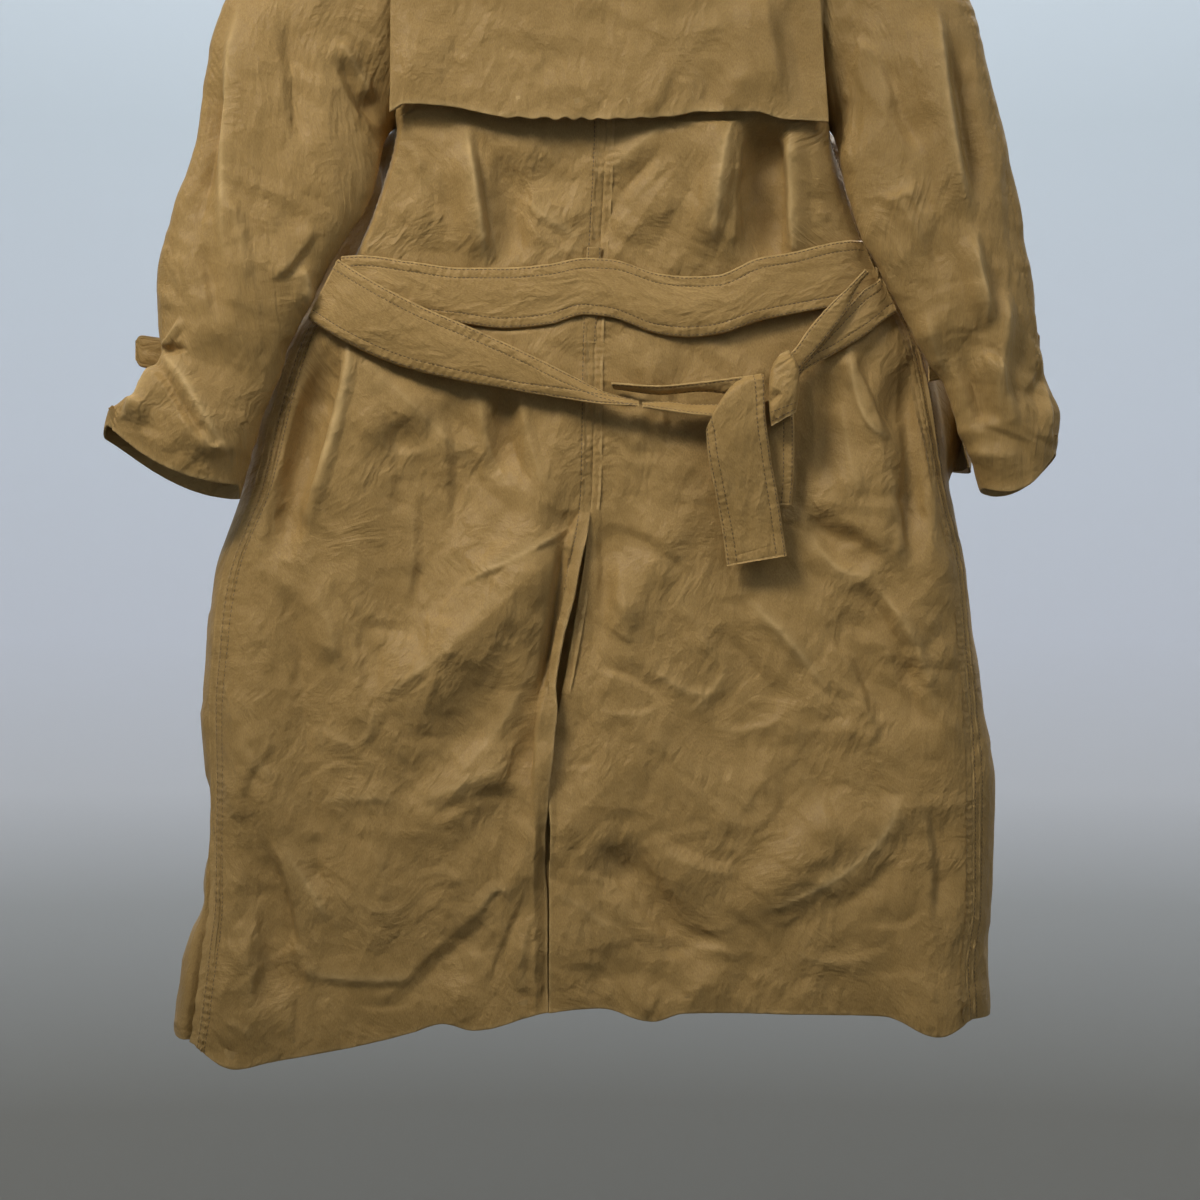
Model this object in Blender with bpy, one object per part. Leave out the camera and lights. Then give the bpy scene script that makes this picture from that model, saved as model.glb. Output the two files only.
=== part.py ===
"""A trench coat that hangs flat on a plain hanger.

The coat's back faces -Y, its front faces +Y and +Z is up.  The origin is the inside top of
the hanger's hook.  Measures are in millimetres until a mesh is made: x runs across the coat,
"drop" is the distance below the hook, and "depth" is y, so the back has the lower depths.
"Left" and "right" are the wearer's, and "left" lies at -x.
"""

import math

import bmesh
import bpy
import numpy as np

MM = 0.001
LEFT, RIGHT = -1, 1
SIDE_NAMES = {LEFT: "left", RIGHT: "right"}

# Cloth
CLOTH = 1.6                 # wall of the coat's cloth with its lining of seams
BELT_CLOTH = 2.2            # two layers of cloth, stitched flat
SEAM_GAP = 0.3              # between two sewn pieces

# Body
SHOULDER_DROP = 150.0       # shoulder point
UNDERARM_DROP = 385.0       # lowest point of the armhole
HEM_DROP = 1105.0           # the hem's middle height
NECK_HALF = 75.0            # half the neck's width
NECK_DROP = 93.0            # neck point, where shoulder seam and collar meet
BACK_NECK_DROP = 104.0      # centre back of the neck seam
NECK_DEPTH = 34.0           # the neck's ellipse, behind and before the hanger
ARMHOLE_DEPTH = 44.0        # half the armhole's depth
SHOULDER_RIDGE = CLOTH + SEAM_GAP / 2   # half the seam's thickness along the shoulder
SHOULDER_ROUND = 35.0       # how far below the shoulder seam the body fills out
SHOULDER_HALF = 195.0       # half the width between the shoulder points
ARMHOLE_X = {               # shoulder point, middle and underarm
    LEFT: (-SHOULDER_HALF, -165.0, -162.0),
    RIGHT: (SHOULDER_HALF, 183.0, 188.0),
}

# Front
OVERLAP = 80.0              # how far each front runs past the centre
BREAK_DROP = 400.0          # where the lapels start to turn back
FRONT_LAYER = 3.4           # the right front lies this far over the left one
LAYER_END = 120.0           # x where the right front has come down to its own side
LAYER_BLEND = 35.0
ROLL_BEND = 0.94            # 1 is a straight roll line

# Rounding of the body
ARMHOLE_SHARE = 0.55        # how much of the turned side the armhole takes away
BACK_TO_FRONT = 1.75        # turn where the hem's height starts to go over to the front's
BACK_TO_FRONT_BLEND = 0.5

# Mesh steps
ARM_STEPS = 9
BODY_STEPS = 24
FOLD_STEPS = 5
FLAT_STEPS = 7
FRONT_ROUND_STEPS = 6
FRONT_FLAT_STEPS = 5
SLEEVE_STEPS = 15


def smooth(keys, values, key):
    """Read a smooth curve through (keys, values) that doesn't overshoot them."""
    key = np.clip(key, keys[0], keys[-1])
    steps = np.diff(keys)
    slopes = np.diff(values) / steps
    product = slopes[:-1] * slopes[1:]
    total = slopes[:-1] + slopes[1:]
    safe_total = np.where(product > 0, total, 1.0)
    inner = np.where(product > 0, 2 * product / safe_total, 0.0)
    tangents = np.concatenate(([slopes[0]], inner, [slopes[-1]]))
    place = np.clip(np.searchsorted(keys, key, side="right") - 1, 0, len(steps) - 1)
    t = (key - keys[place]) / steps[place]
    start, end = values[place], values[place + 1]
    rise, fall = tangents[place] * steps[place], tangents[place + 1] * steps[place]
    return (
        start * (1 + 2 * t) * (1 - t) ** 2
        + rise * t * (1 - t) ** 2
        + end * t * t * (3 - 2 * t)
        - fall * t * t * (1 - t)
    )


def ease(value):
    """Go smoothly from 0 to 1 as value does."""
    value = np.clip(value, 0.0, 1.0)
    return value * value * (3 - 2 * value)


class Table:
    """Measures under named columns, read smoothly between rows along the first column."""

    def __init__(self, names, *rows):
        self.names = names.split()
        self.rows = np.array(rows, dtype=float)

    def column(self, name):
        return self.rows[:, self.names.index(name)]

    def at(self, name, key):
        return smooth(self.rows[:, 0], self.column(name), np.asarray(key, dtype=float))

    def as_dicts(self):
        return [dict(zip(self.names, row)) for row in self.rows]


# The body at each drop: its widest points, its side seams and the soft folds where the flat
# back turns to the side, with the depths of back, sides and front.
BODY = Table(
    "drop left_side left_seam left_fold centre right_fold right_seam right_side "
    "back left_depth right_depth front",
    (150, -195, -195, -150, 8, 152, 195, 195, -46, 0, 0, 46),
    (270, -165, -165, -150, 8, 160, 183, 183, -46, 0, 0, 46),
    (385, -162, -162, -154, 8, 168, 188, 188, -46, 0, 0, 46),
    (440, -175, -174, -166, 6, 175, 203, 208, -45, 6, 4, 46),
    (492, -196, -194, -184, 3, 182, 222, 236, -44, 6, 2, 46),
    (564, -252, -238, -200, -1, 203, 253, 268, -46, -4, -4, 46),
    (623, -273, -256, -210, -2, 218, 265, 281, -48, -6, -6, 46),
    (679, -288, -269, -227, -3, 228, 275, 289, -49, -6, -6, 46),
    (752, -312, -296, -250, -12, 236, 292, 303, -50, -6, -6, 46),
    (804, -320, -303, -258, -21, 240, 296, 309, -51, -6, -6, 46),
    (852, -321, -307, -261, -29, 243, 300, 314, -52, -6, -6, 46),
    (932, -316, -306, -265, -38, 247, 303, 324, -54, -6, -6, 47),
    (1012, -321, -305, -267, -38, 247, 303, 322, -56, -4, -6, 48),
    (1068, -337, -311, -268, -38, 247, 297, 318, -58, -2, -6, 49),
    (1100, -345, -320, -268, -38, 247, 299, 320, -60, 0, -6, 50),
    (1150, -346, -327, -268, -38, 247, 303, 318, -60, 0, -6, 50),
)

# How far the fronts belly out sideways behind the sleeves
BELLY = Table(
    "drop left right",
    (390, 0, 0), (430, 26, 16), (500, 34, 18), (570, 22, 26), (620, 10, 36), (655, 0, 26), (700, 0, 0),
)

# The back's hem, across
HEM = Table(
    "x drop",
    (-327, 1126), (-290, 1147), (-261, 1142), (-200, 1131), (-147, 1118), (-122, 1111),
    (-99, 1116), (-38, 1102), (3, 1098), (45, 1109), (70, 1102), (198, 1104),
    (230, 1105), (274, 1121), (303, 1108),
)
FRONT_HEM_DROP = 1106.0

# Folds of the back: soft ridges (positive height) and troughs (negative height)
FOLDS = Table(
    "x_top drop_top x_bottom drop_bottom half_width height",
    (-214, 575, -256, 745, 20, -13),
    (-199, 560, -236, 715, 16, 6),
    (198, 570, 236, 640, 15, 6),
    (245, 575, 250, 740, 22, -12),
    (-101, 410, -86, 500, 26, 8),
    (-70, 412, -62, 500, 18, -6),
    (110, 395, 95, 495, 30, 8),
    (138, 380, 140, 505, 22, -11),
    (-17, 720, -172, 884, 55, 11),
    (-110, 600, -190, 640, 26, 6),
    (-70, 590, -76, 680, 18, -7),
    (-18, 715, -40, 860, 14, -9),
    (-40, 880, -62, 1020, 22, 7),
    (-284, 932, -248, 1110, 26, -9),
    (212, 935, 118, 1025, 34, 9),
    (0, 968, 95, 1066, 30, -7),
    (205, 765, 262, 890, 34, -7),
    (165, 708, 225, 745, 20, -6),
    (60, 700, 20, 800, 30, 6),
    (-60, 900, -150, 960, 34, 7),
)


def fold_height(x, drop):
    """How far the folds push the back out towards -Y."""
    total = np.zeros(np.broadcast(x, drop).shape)
    for fold in FOLDS.as_dicts():
        along_x = fold["x_bottom"] - fold["x_top"]
        along_drop = fold["drop_bottom"] - fold["drop_top"]
        length = math.hypot(along_x, along_drop)
        from_x, from_drop = x - fold["x_top"], drop - fold["drop_top"]
        along = (from_x * along_x + from_drop * along_drop) / length
        across = np.abs(from_x * along_drop - from_drop * along_x) / length
        taper = ease(along / (0.3 * length) + 0.2) * ease((length - along) / (0.3 * length) + 0.2)
        bell = 0.5 + 0.5 * np.cos(np.pi * np.clip(across / fold["half_width"], 0, 1))
        total = total + fold["height"] * taper * bell
    return total


def shoulder_line(x):
    """Drop of the shoulder seam, and of the neck seam behind the neck."""
    away = np.abs(x)
    slope = (SHOULDER_DROP - NECK_DROP) / (SHOULDER_HALF - NECK_HALF)
    seam = NECK_DROP + np.clip(away - NECK_HALF, 0, None) * slope
    dip = (BACK_NECK_DROP - NECK_DROP) * np.clip(1 - (away / NECK_HALF) ** 2, 0, None)
    return seam + dip


def neck_depth(x):
    """Distance of the top edge of the cloth from the hanger's plane."""
    ellipse = np.sqrt(np.clip(1 - (np.abs(x) / NECK_HALF) ** 2, 0, None))
    return SHOULDER_RIDGE + NECK_DEPTH * ellipse


def filled(x, drop, full):
    """Depth of the flat back (full < 0) or front (full > 0), rounded off at the shoulder."""
    below = np.clip(drop - shoulder_line(x), 0, None)
    share = 1 - np.exp(-below / SHOULDER_ROUND)
    top = np.sign(full) * neck_depth(x)
    return top + (full - top) * share


def armhole(side, angle):
    """The armhole's curve: its x, its drop and its half depth, from the shoulder point (angle 0)
    to the underarm (angle 180 degrees)."""
    tip, middle, under = ARMHOLE_X[side]
    height = np.cos(angle)
    x = middle + (tip - under) / 2 * height + ((tip + under) / 2 - middle) * height ** 2
    drop = (UNDERARM_DROP + SHOULDER_DROP) / 2 - (UNDERARM_DROP - SHOULDER_DROP) / 2 * height
    depth = ARMHOLE_DEPTH * np.sin(angle) + SHOULDER_RIDGE * (0.5 + 0.5 * height)
    return x, drop, depth


def armhole_angle(level):
    return np.pi * (2 - np.clip(level, 1, 2))


def level_drop(level):
    """Drop of a row before the hem's wave and the shoulder's slope: 0 hem, 1 underarm, 2 shoulder."""
    low = HEM_DROP + (UNDERARM_DROP - HEM_DROP) * np.clip(level, 0, 1)
    _, high, _ = armhole(RIGHT, armhole_angle(level))
    return np.where(level <= 1, low, high)


def seam_turn(side, level):
    """Where the side seam or the armhole cuts a row, in turns past the back fold (0 to 1)."""
    name = SIDE_NAMES[side]
    drop = level_drop(level)
    fold, wide = BODY.at(name + "_fold", drop), BODY.at(name + "_side", drop)
    share = np.clip((BODY.at(name + "_seam", drop) - fold) / (wide - fold), 0, 1)
    low = np.arcsin(share) / (np.pi / 2)
    high = 1 - ARMHOLE_SHARE * ease((level - 1) / 0.5)
    return np.where(level < 1, low, high)


def front_edge(side, drop):
    """x of a front's free edge: straight below the break, along the lapel's roll line above it."""
    rise = np.clip((BREAK_DROP - drop) / (BREAK_DROP - NECK_DROP), 0, 1)
    return side * (-OVERLAP + (OVERLAP + NECK_HALF) * rise ** ROLL_BEND)


def front_layer(x):
    """How far the right front stands out, so that it clears the left front under it."""
    return FRONT_LAYER * ease((LAYER_END - x) / LAYER_BLEND)


def body(side, turn, level):
    """A point of the body's cloth.

    turn 0 is the centre back, 1 the back's fold, 2 the side, 3 the front's fold and 4 the
    front edge.  level 0 is the hem, 1 the underarm and 2 the shoulder and neck seam.
    """
    turn, level = np.broadcast_arrays(np.asarray(turn, float), np.asarray(level, float))
    name = SIDE_NAMES[side]
    nominal = level_drop(level)
    low_share, high_share = (1 - np.clip(level, 0, 1)) ** 3, np.clip(level - 1, 0, 1) ** 2
    angle = np.pi / 2 * np.clip(turn - 1, 0, 2)
    seam_angle = np.pi / 2 * seam_turn(side, level)
    hole_x, _, hole_depth = armhole(side, armhole_angle(level))
    above = level > 1
    drop = nominal
    for _ in range(4):
        fold = BODY.at(name + "_fold", drop)
        wide = np.where(above, fold + (hole_x - fold) / np.sin(seam_angle), BODY.at(name + "_side", drop))
        centre = BODY.at("centre", drop)
        belly = side * BELLY.at(name, drop) * np.sin(np.pi * np.clip(turn - 2, 0, 1)) ** 2
        round_x = fold + (wide - fold) * np.sin(angle) + belly
        x = np.where(turn < 1, centre + (fold - centre) * turn, round_x)
        x = np.where(turn > 3, fold + (front_edge(side, drop) - fold) * (turn - 3), x)
        hem = HEM.at("drop", x)
        at_front = ease((turn - BACK_TO_FRONT) / BACK_TO_FRONT_BLEND)
        hem = hem + (FRONT_HEM_DROP - hem) * at_front
        drop = nominal + (hem - HEM_DROP) * low_share
        front_x = np.where(turn > 2, np.sign(x) * np.maximum(np.abs(x), NECK_HALF), x)
        drop = drop - (SHOULDER_DROP - shoulder_line(front_x)) * high_share
    back = filled(x, drop, BODY.at("back", drop))
    front = filled(front_x, drop, BODY.at("front", drop))
    side_depth = BODY.at(name + "_depth", drop)
    round_share = 1 - np.cos(seam_angle)
    back_side = np.where(above, back + (-hole_depth - back) / round_share, side_depth)
    front_side = np.where(above, front + (hole_depth - front) / round_share, side_depth)
    depth = np.where(turn < 1, back, back + (back_side - back) * (1 - np.cos(angle)))
    depth = np.where(turn > 2, front - (front - front_side) * (1 + np.cos(angle)), depth)
    depth = np.where(turn > 3, front, depth)
    if side == RIGHT:
        depth = depth + np.where(turn > 2.9, front_layer(x), 0)
    folds = fold_height(x, drop) * ease((2.0 - turn) / 0.4)
    return np.stack([x, depth - folds, -drop], axis=-1)


def body_normals(side, turn, level):
    """Outward normals of the body's cloth."""
    step = 0.004
    ahead, behind = np.clip(turn + step, 0, 4), np.clip(turn - step, 0, 4)
    above, below = np.clip(level + step, 0, 2), np.clip(level - step, 0, 2)
    across = body(side, ahead, level) - body(side, behind, level)
    upward = body(side, turn, above) - body(side, turn, below)
    normal = np.cross(across, upward) * side
    return normal / np.linalg.norm(normal, axis=-1, keepdims=True)


def grid_normals(points, ring=False):
    """Normals of a grid of points, from each point's neighbours."""
    if ring:
        along = np.roll(points, -1, axis=1) - np.roll(points, 1, axis=1)
    else:
        along = np.gradient(points, axis=1)
    normal = np.cross(along, np.gradient(points, axis=0))
    return normal / np.linalg.norm(normal, axis=-1, keepdims=True)


def draw_in(outer, inner, axis, end, amount=SEAM_GAP / 2):
    """Move one edge of a wall into its own cloth, to leave a seam's gap."""
    outer, inner = np.swapaxes(outer, 0, axis), np.swapaxes(inner, 0, axis)
    edge, neighbour = (0, 1) if end == "first" else (-1, -2)
    shift = outer[neighbour] - outer[edge]
    shift = shift / np.linalg.norm(shift, axis=-1, keepdims=True) * amount
    outer[edge] += shift
    inner[edge] += shift


def material(name, colour, roughness, metallic=0.0):
    made = bpy.data.materials.new(name)
    made.use_nodes = True
    shader = made.node_tree.nodes["Principled BSDF"]
    shader.inputs["Base Color"].default_value = (*colour, 1.0)
    shader.inputs["Roughness"].default_value = roughness
    shader.inputs["Metallic"].default_value = metallic
    return made


def add_mesh(name, points, faces, finish, smooth_shaded=True):
    """Make an object of a closed mesh given in millimetres, with its faces turned out."""
    mesh = bpy.data.meshes.new(name)
    mesh.from_pydata([tuple(point * MM) for point in points], [], faces)
    shape = bmesh.new()
    shape.from_mesh(mesh)
    bmesh.ops.recalc_face_normals(shape, faces=shape.faces)
    shape.to_mesh(mesh)
    shape.free()
    mesh.materials.append(finish)
    if smooth_shaded:
        mesh.shade_smooth()
        mesh.set_sharp_from_angle(angle=math.radians(50))
    made = bpy.data.objects.new(name, mesh)
    bpy.context.collection.objects.link(made)
    return made


def wall(name, outer, inner, finish, ring=False):
    """Close two grids of points, rows by columns, into a wall; a ring joins its ends."""
    rows, columns = outer.shape[:2]
    points = np.concatenate([outer.reshape(-1, 3), inner.reshape(-1, 3)])
    spans = columns if ring else columns - 1
    faces = []

    def index(row, column, layer):
        return (layer * rows + row) * columns + column % columns

    for row in range(rows - 1):
        for column in range(spans):
            for layer in (0, 1):
                near = (index(row, column, layer), index(row, column + 1, layer))
                far = (index(row + 1, column + 1, layer), index(row + 1, column, layer))
                faces.append(near + far)
    for row in (0, rows - 1):
        for column in range(spans):
            outer_edge = (index(row, column, 0), index(row, column + 1, 0))
            faces.append(outer_edge + (index(row, column + 1, 1), index(row, column, 1)))
    if not ring:
        for column in (0, columns - 1):
            for row in range(rows - 1):
                outer_edge = (index(row, column, 0), index(row + 1, column, 0))
                faces.append(outer_edge + (index(row + 1, column, 1), index(row, column, 1)))
    return add_mesh(name, points, faces, finish)


# ---------------------------------------------------------------- body panels

def body_levels():
    low = np.linspace(0, 1, BODY_STEPS + 1)
    high = 1 + np.linspace(0, 1, ARM_STEPS + 1)[1:]
    return np.concatenate([low, high])


def body_wall(name, side, turns, levels, finish, centre_edge):
    """A body panel; its seam edges are drawn in by half a seam's gap."""
    outer = body(side, turns, levels)
    inner = outer - body_normals(side, turns, levels) * CLOTH
    draw_in(outer, inner, 1, "first")
    if centre_edge:
        draw_in(outer, inner, 1, "last")
    return wall(name, outer, inner, finish)


def make_backs(finish):
    levels = body_levels()[:, None]
    for side in (LEFT, RIGHT):
        seam = 1 + seam_turn(side, levels)
        rounded = seam + (1 - seam) * np.linspace(0, 1, FOLD_STEPS + 1)
        flat = np.broadcast_to(np.linspace(1, 0, FLAT_STEPS + 1)[1:], (len(levels), FLAT_STEPS))
        turns = np.concatenate([rounded, flat], axis=1)
        body_wall("back_" + SIDE_NAMES[side], side, turns, levels, finish, centre_edge=True)


def make_fronts(finish):
    levels = body_levels()[:, None]
    for side in (LEFT, RIGHT):
        seam = seam_turn(side, levels)
        start = np.where(levels < 1, 1 + seam, 3 - seam)
        rounded = start + (3 - start) * np.linspace(0, 1, FRONT_ROUND_STEPS + 1)
        flat = np.broadcast_to(np.linspace(3, 4, FRONT_FLAT_STEPS + 1)[1:], (len(levels), FRONT_FLAT_STEPS))
        turns = np.concatenate([rounded, flat], axis=1)
        body_wall("front_" + SIDE_NAMES[side], side, turns, levels, finish, centre_edge=False)


def back_depth(x, drop):
    """Depth of the back's outer face at a place on it."""
    x, drop = np.broadcast_arrays(np.asarray(x, float), np.asarray(drop, float))
    flat = filled(x, drop, BODY.at("back", drop))
    depth = flat
    for side in (LEFT, RIGHT):
        name = SIDE_NAMES[side]
        fold, wide = BODY.at(name + "_fold", drop), BODY.at(name + "_side", drop)
        share = np.clip((x - fold) / (wide - fold), 0, 1)
        depth = depth + (BODY.at(name + "_depth", drop) - flat) * (1 - np.sqrt(1 - share ** 2))
    return depth - fold_height(x, drop)


UNDERLAY_TOP = 726.0
UNDERLAY_BOTTOM = 1094.0
UNDERLAY_HALF_TOP = 17.0
UNDERLAY_HALF_BOTTOM = 48.0
UNDERLAY_BEHIND = 8.0       # behind the back's outer face


def make_vent_underlay(finish):
    """A strip behind the centre back vent, wider towards the hem."""
    share = np.linspace(0, 1, 15)[:, None]
    across = np.linspace(-1, 1, 7)
    drop = UNDERLAY_TOP + (UNDERLAY_BOTTOM - UNDERLAY_TOP) * share
    half = UNDERLAY_HALF_TOP + (UNDERLAY_HALF_BOTTOM - UNDERLAY_HALF_TOP) * ease(share * 3)
    x = BODY.at("centre", drop) + across * half
    drop = np.broadcast_to(drop, x.shape)
    outer = np.stack([x, back_depth(x, drop) + UNDERLAY_BEHIND, -drop], axis=-1)
    inner = outer + np.array([0, CLOTH, 0])
    wall("vent_underlay", outer, inner, finish)


# The storm flap's free lower edge
FLAP_EDGE = Table(
    "x drop",
    (-163, 382), (-152, 376), (-117, 378), (-66, 387), (0, 388), (60, 386), (84, 382), (126, 382),
    (150, 388), (190, 390),
)
# The storm flap's ends along the armholes, from the shoulder (0) to the free edge (1)
FLAP_ENDS = Table(
    "share left right",
    (0, -176, 178), (0.5, -163.5, 178.5), (1, -163.5, 185),
)
FLAP_BELOW_SEAM = 9.0       # its upper edge lies below the shoulder seam
FLAP_OVER_BACK = 6.5        # its distance from the back at the upper edge
FLAP_STAND_OFF = 8.0        # how much more the free edge stands off
FLAP_TUCK = 4.0             # the free edge's corners turn back in
FLAP_TUCK_WIDTH = 0.08      # share of the flap's width


def flap_points(across, share):
    """Across 0 to 1 is the left to the right armhole; share 0 the shoulder, 1 the free edge."""
    left_end, right_end = FLAP_ENDS.at("left", share), FLAP_ENDS.at("right", share)
    x = left_end + (right_end - left_end) * across
    top = shoulder_line(x) + FLAP_BELOW_SEAM
    drop = top + (FLAP_EDGE.at("drop", x) - top) * share
    depth = filled(x, drop, BODY.at("back", drop)) - FLAP_OVER_BACK - FLAP_STAND_OFF * share ** 1.6
    corner = (np.abs(across - 0.5) - 0.5 + FLAP_TUCK_WIDTH) / FLAP_TUCK_WIDTH
    return np.stack([x, depth + ease(corner) * FLAP_TUCK * share, -drop], axis=-1)


def make_storm_flap(finish):
    across, share = np.meshgrid(np.linspace(0, 1, 17), np.linspace(0, 1, 8))
    outer = flap_points(across, share)
    wall("storm_flap", outer, outer + np.array([0, CLOTH, 0]), finish)


# ---------------------------------------------------------------- sleeves

# Each sleeve is a tube of rings.  A ring runs from its outer to its inner point, and its half
# depth stands out on both sides of its centre's depth.  The sag lowers its middle.
SLEEVES = {
    LEFT: Table(
        "along outer_x outer_drop inner_x inner_drop depth half_depth sag",
        (0, -195, 150, -162, 385, 0, 44, 0),
        (1, -245, 208, -166, 391, -8, 43, 0),
        (2, -289, 260, -169, 400, -18, 39, 0),
        (3, -305, 307, -173, 414, -28, 35, 0),
        (4, -314, 356, -177, 434, -35, 32, 0),
        (5, -322, 404, -187, 460, -40, 29, 0),
        (6, -334, 452, -203, 484, -44, 28, 0),
        (7, -348, 500, -224, 524, -47, 27, 0),
        (8, -351, 548, -243, 564, -49, 25, 0),
        (9, -347, 576, -256, 598, -50, 18, 0),
        (10, -365, 604, -266, 618, -50, 22, 0),
        (11, -388, 624, -276, 652, -50, 26, 5),
        (12, -391, 642, -286, 690, -48, 27, 12),
    ),
    RIGHT: Table(
        "along outer_x outer_drop inner_x inner_drop depth half_depth sag",
        (0, 195, 150, 188, 385, 0, 44, 0),
        (1, 247, 208, 190, 391, -8, 43, 0),
        (2, 289, 257, 191, 399, -20, 38, 0),
        (3, 306, 303, 194, 412, -30, 34, 0),
        (4, 315, 348, 198, 431, -36, 31, 0),
        (5, 326, 396, 204, 456, -40, 29, 0),
        (6, 337, 444, 213, 484, -44, 28, 0),
        (7, 344, 492, 228, 512, -47, 27, 0),
        (8, 350, 540, 244, 544, -49, 25, 0),
        (9, 354, 576, 265, 580, -50, 18, 0),
        (10, 363, 602, 279, 606, -50, 22, 0),
        (11, 372, 624, 294, 642, -50, 26, 5),
        (12, 371, 656, 309, 684, -48, 27, 14),
    ),
}


def sleeve(side, angle, along):
    """A point of a sleeve: angle 0 is its outer line, 90 degrees its back, 180 its inner line."""
    angle, along = np.broadcast_arrays(np.asarray(angle, float), np.asarray(along, float))
    rings = SLEEVES[side]
    toward_outer = 0.5 + 0.5 * np.cos(angle)
    x = rings.at("inner_x", along) + (rings.at("outer_x", along) - rings.at("inner_x", along)) * toward_outer
    drop = rings.at("inner_drop", along)
    drop = drop + (rings.at("outer_drop", along) - drop) * toward_outer
    drop = drop + rings.at("sag", along) * np.sin(angle) ** 2
    tip, middle, under = ARMHOLE_X[side]
    x = x + (middle - (tip + under) / 2) * np.sin(angle) ** 2 * (1 - ease(along / 2))
    depth = rings.at("depth", along) - rings.at("half_depth", along) * np.sin(angle)
    return np.stack([x, depth, -drop], axis=-1)


def sleeve_normals(side, angle, along):
    step = 0.01
    after, before = np.clip(along + step, 0, 12), np.clip(along - step, 0, 12)
    around = sleeve(side, angle + step, along) - sleeve(side, angle - step, along)
    down = sleeve(side, angle, after) - sleeve(side, angle, before)
    normal = np.cross(around, down) * side
    normal = np.where(np.asarray(along)[..., None] > 0, normal, normal * np.array([0, 1, 1]))
    return normal / np.linalg.norm(normal, axis=-1, keepdims=True)


SLEEVE_SEAM = 1             # the outer seam lies this many steps behind the outer line
SLEEVE_PIECES = {           # each sewn piece, by its first and last step round the sleeve
    "back": (SLEEVE_SEAM, ARM_STEPS),
    "front": (ARM_STEPS, 2 * ARM_STEPS + SLEEVE_SEAM),
}


def make_sleeves(finish):
    """Two pieces a sleeve, sewn together along its outer and its inner line."""
    along = np.linspace(0, 12, SLEEVE_STEPS + 1)[:, None]
    for side in (LEFT, RIGHT):
        for piece, (first, last) in SLEEVE_PIECES.items():
            angles = np.arange(first, last + 1) * np.pi / ARM_STEPS
            outer = sleeve(side, angles, along)
            inner = outer - sleeve_normals(side, angles, along) * CLOTH
            draw_in(outer, inner, 0, "first")
            draw_in(outer, inner, 1, "first")
            draw_in(outer, inner, 1, "last")
            wall("sleeve_%s_%s" % (SIDE_NAMES[side], piece), outer, inner, finish)


STRAP_WIDTH = 26.0
STRAP_CLOTH = 1.8
STRAP_OUT = {LEFT: 22.0, RIGHT: 5.0}    # how far the strap's end stands out past the sleeve
STRAP_IN = 12.0                         # how far its start lies inside the inner line
STRAP_DROP = {LEFT: 571.0, RIGHT: 567.0}
STRAP_RISE = 16.0                       # the end lies this much higher than the start
STRAP_ALONG = 8.55                      # between these rings of the sleeve
STRAP_STAND_OFF = 5.0
STRAP_END_WIDTH = 0.78                  # the rounded end, as a share of the width


def make_straps(finish):
    """Sleeve straps on the far side, from the inner seam to past the outer edge."""
    share = np.linspace(0, 1, 9)
    for side in (LEFT, RIGHT):
        ring = {key: float(SLEEVES[side].at(key, STRAP_ALONG)) for key in SLEEVES[side].names}
        outer_x = ring["outer_x"] + side * STRAP_OUT[side]
        inner_x = ring["inner_x"] + side * STRAP_IN
        x = inner_x + (outer_x - inner_x) * share
        middle = (ring["outer_x"] + ring["inner_x"]) / 2
        reach = abs(ring["outer_x"] - middle)
        bulge = np.sqrt(np.clip(1 - ((x - middle) / reach) ** 2, 0.25, 1))
        depth = ring["depth"] + (ring["half_depth"] + STRAP_STAND_OFF) * bulge + STRAP_STAND_OFF / 2
        drop = STRAP_DROP[side] + STRAP_RISE * (1 - share)
        width = np.where(share == 1, STRAP_END_WIDTH, 1.0) * STRAP_WIDTH
        rows = [np.stack([x, depth, -(drop + edge * width)], axis=-1) for edge in (-0.5, 0.0, 0.5)]
        outer = np.stack(rows)
        wall("strap_" + SIDE_NAMES[side], outer, outer - np.array([0, STRAP_CLOTH, 0]), finish)


# ---------------------------------------------------------------- collar and fronts

COLLAR_END = 122.0          # degrees from the centre back to the collar's ends
# The collar by the degrees from the centre back: how far the neck seam narrows and comes down
# in front, the stand's height, and the fall's reach out from the fold and down
COLLAR = Table(
    "degrees narrow lower stand reach fall",
    (0, 0, 0, 34, 22, 70), (45, 0, 0, 34, 39, 57), (90, 0, 0, 27, 47, 43),
    (107, 4, 16, 21, 56, 43), (122, 7, 30, 19, 54, 48),
)
FALL_STAND_OFF = 2.6        # the fall from the fold of the stand
FALL_ROLL = 1.4             # how far the fall rises as it turns over


def neck_seam(degrees):
    """The neck seam round the hanger: x, depth and drop at some degrees from the centre back."""
    angle, away = np.radians(degrees), np.abs(degrees)
    x = (NECK_HALF - COLLAR.at("narrow", away)) * np.sin(angle)
    depth = -(NECK_DEPTH + CLOTH) * np.cos(angle)
    drop = BACK_NECK_DROP - (BACK_NECK_DROP - NECK_DROP) * np.sin(angle) ** 2
    return x, depth, drop + COLLAR.at("lower", away)


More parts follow.
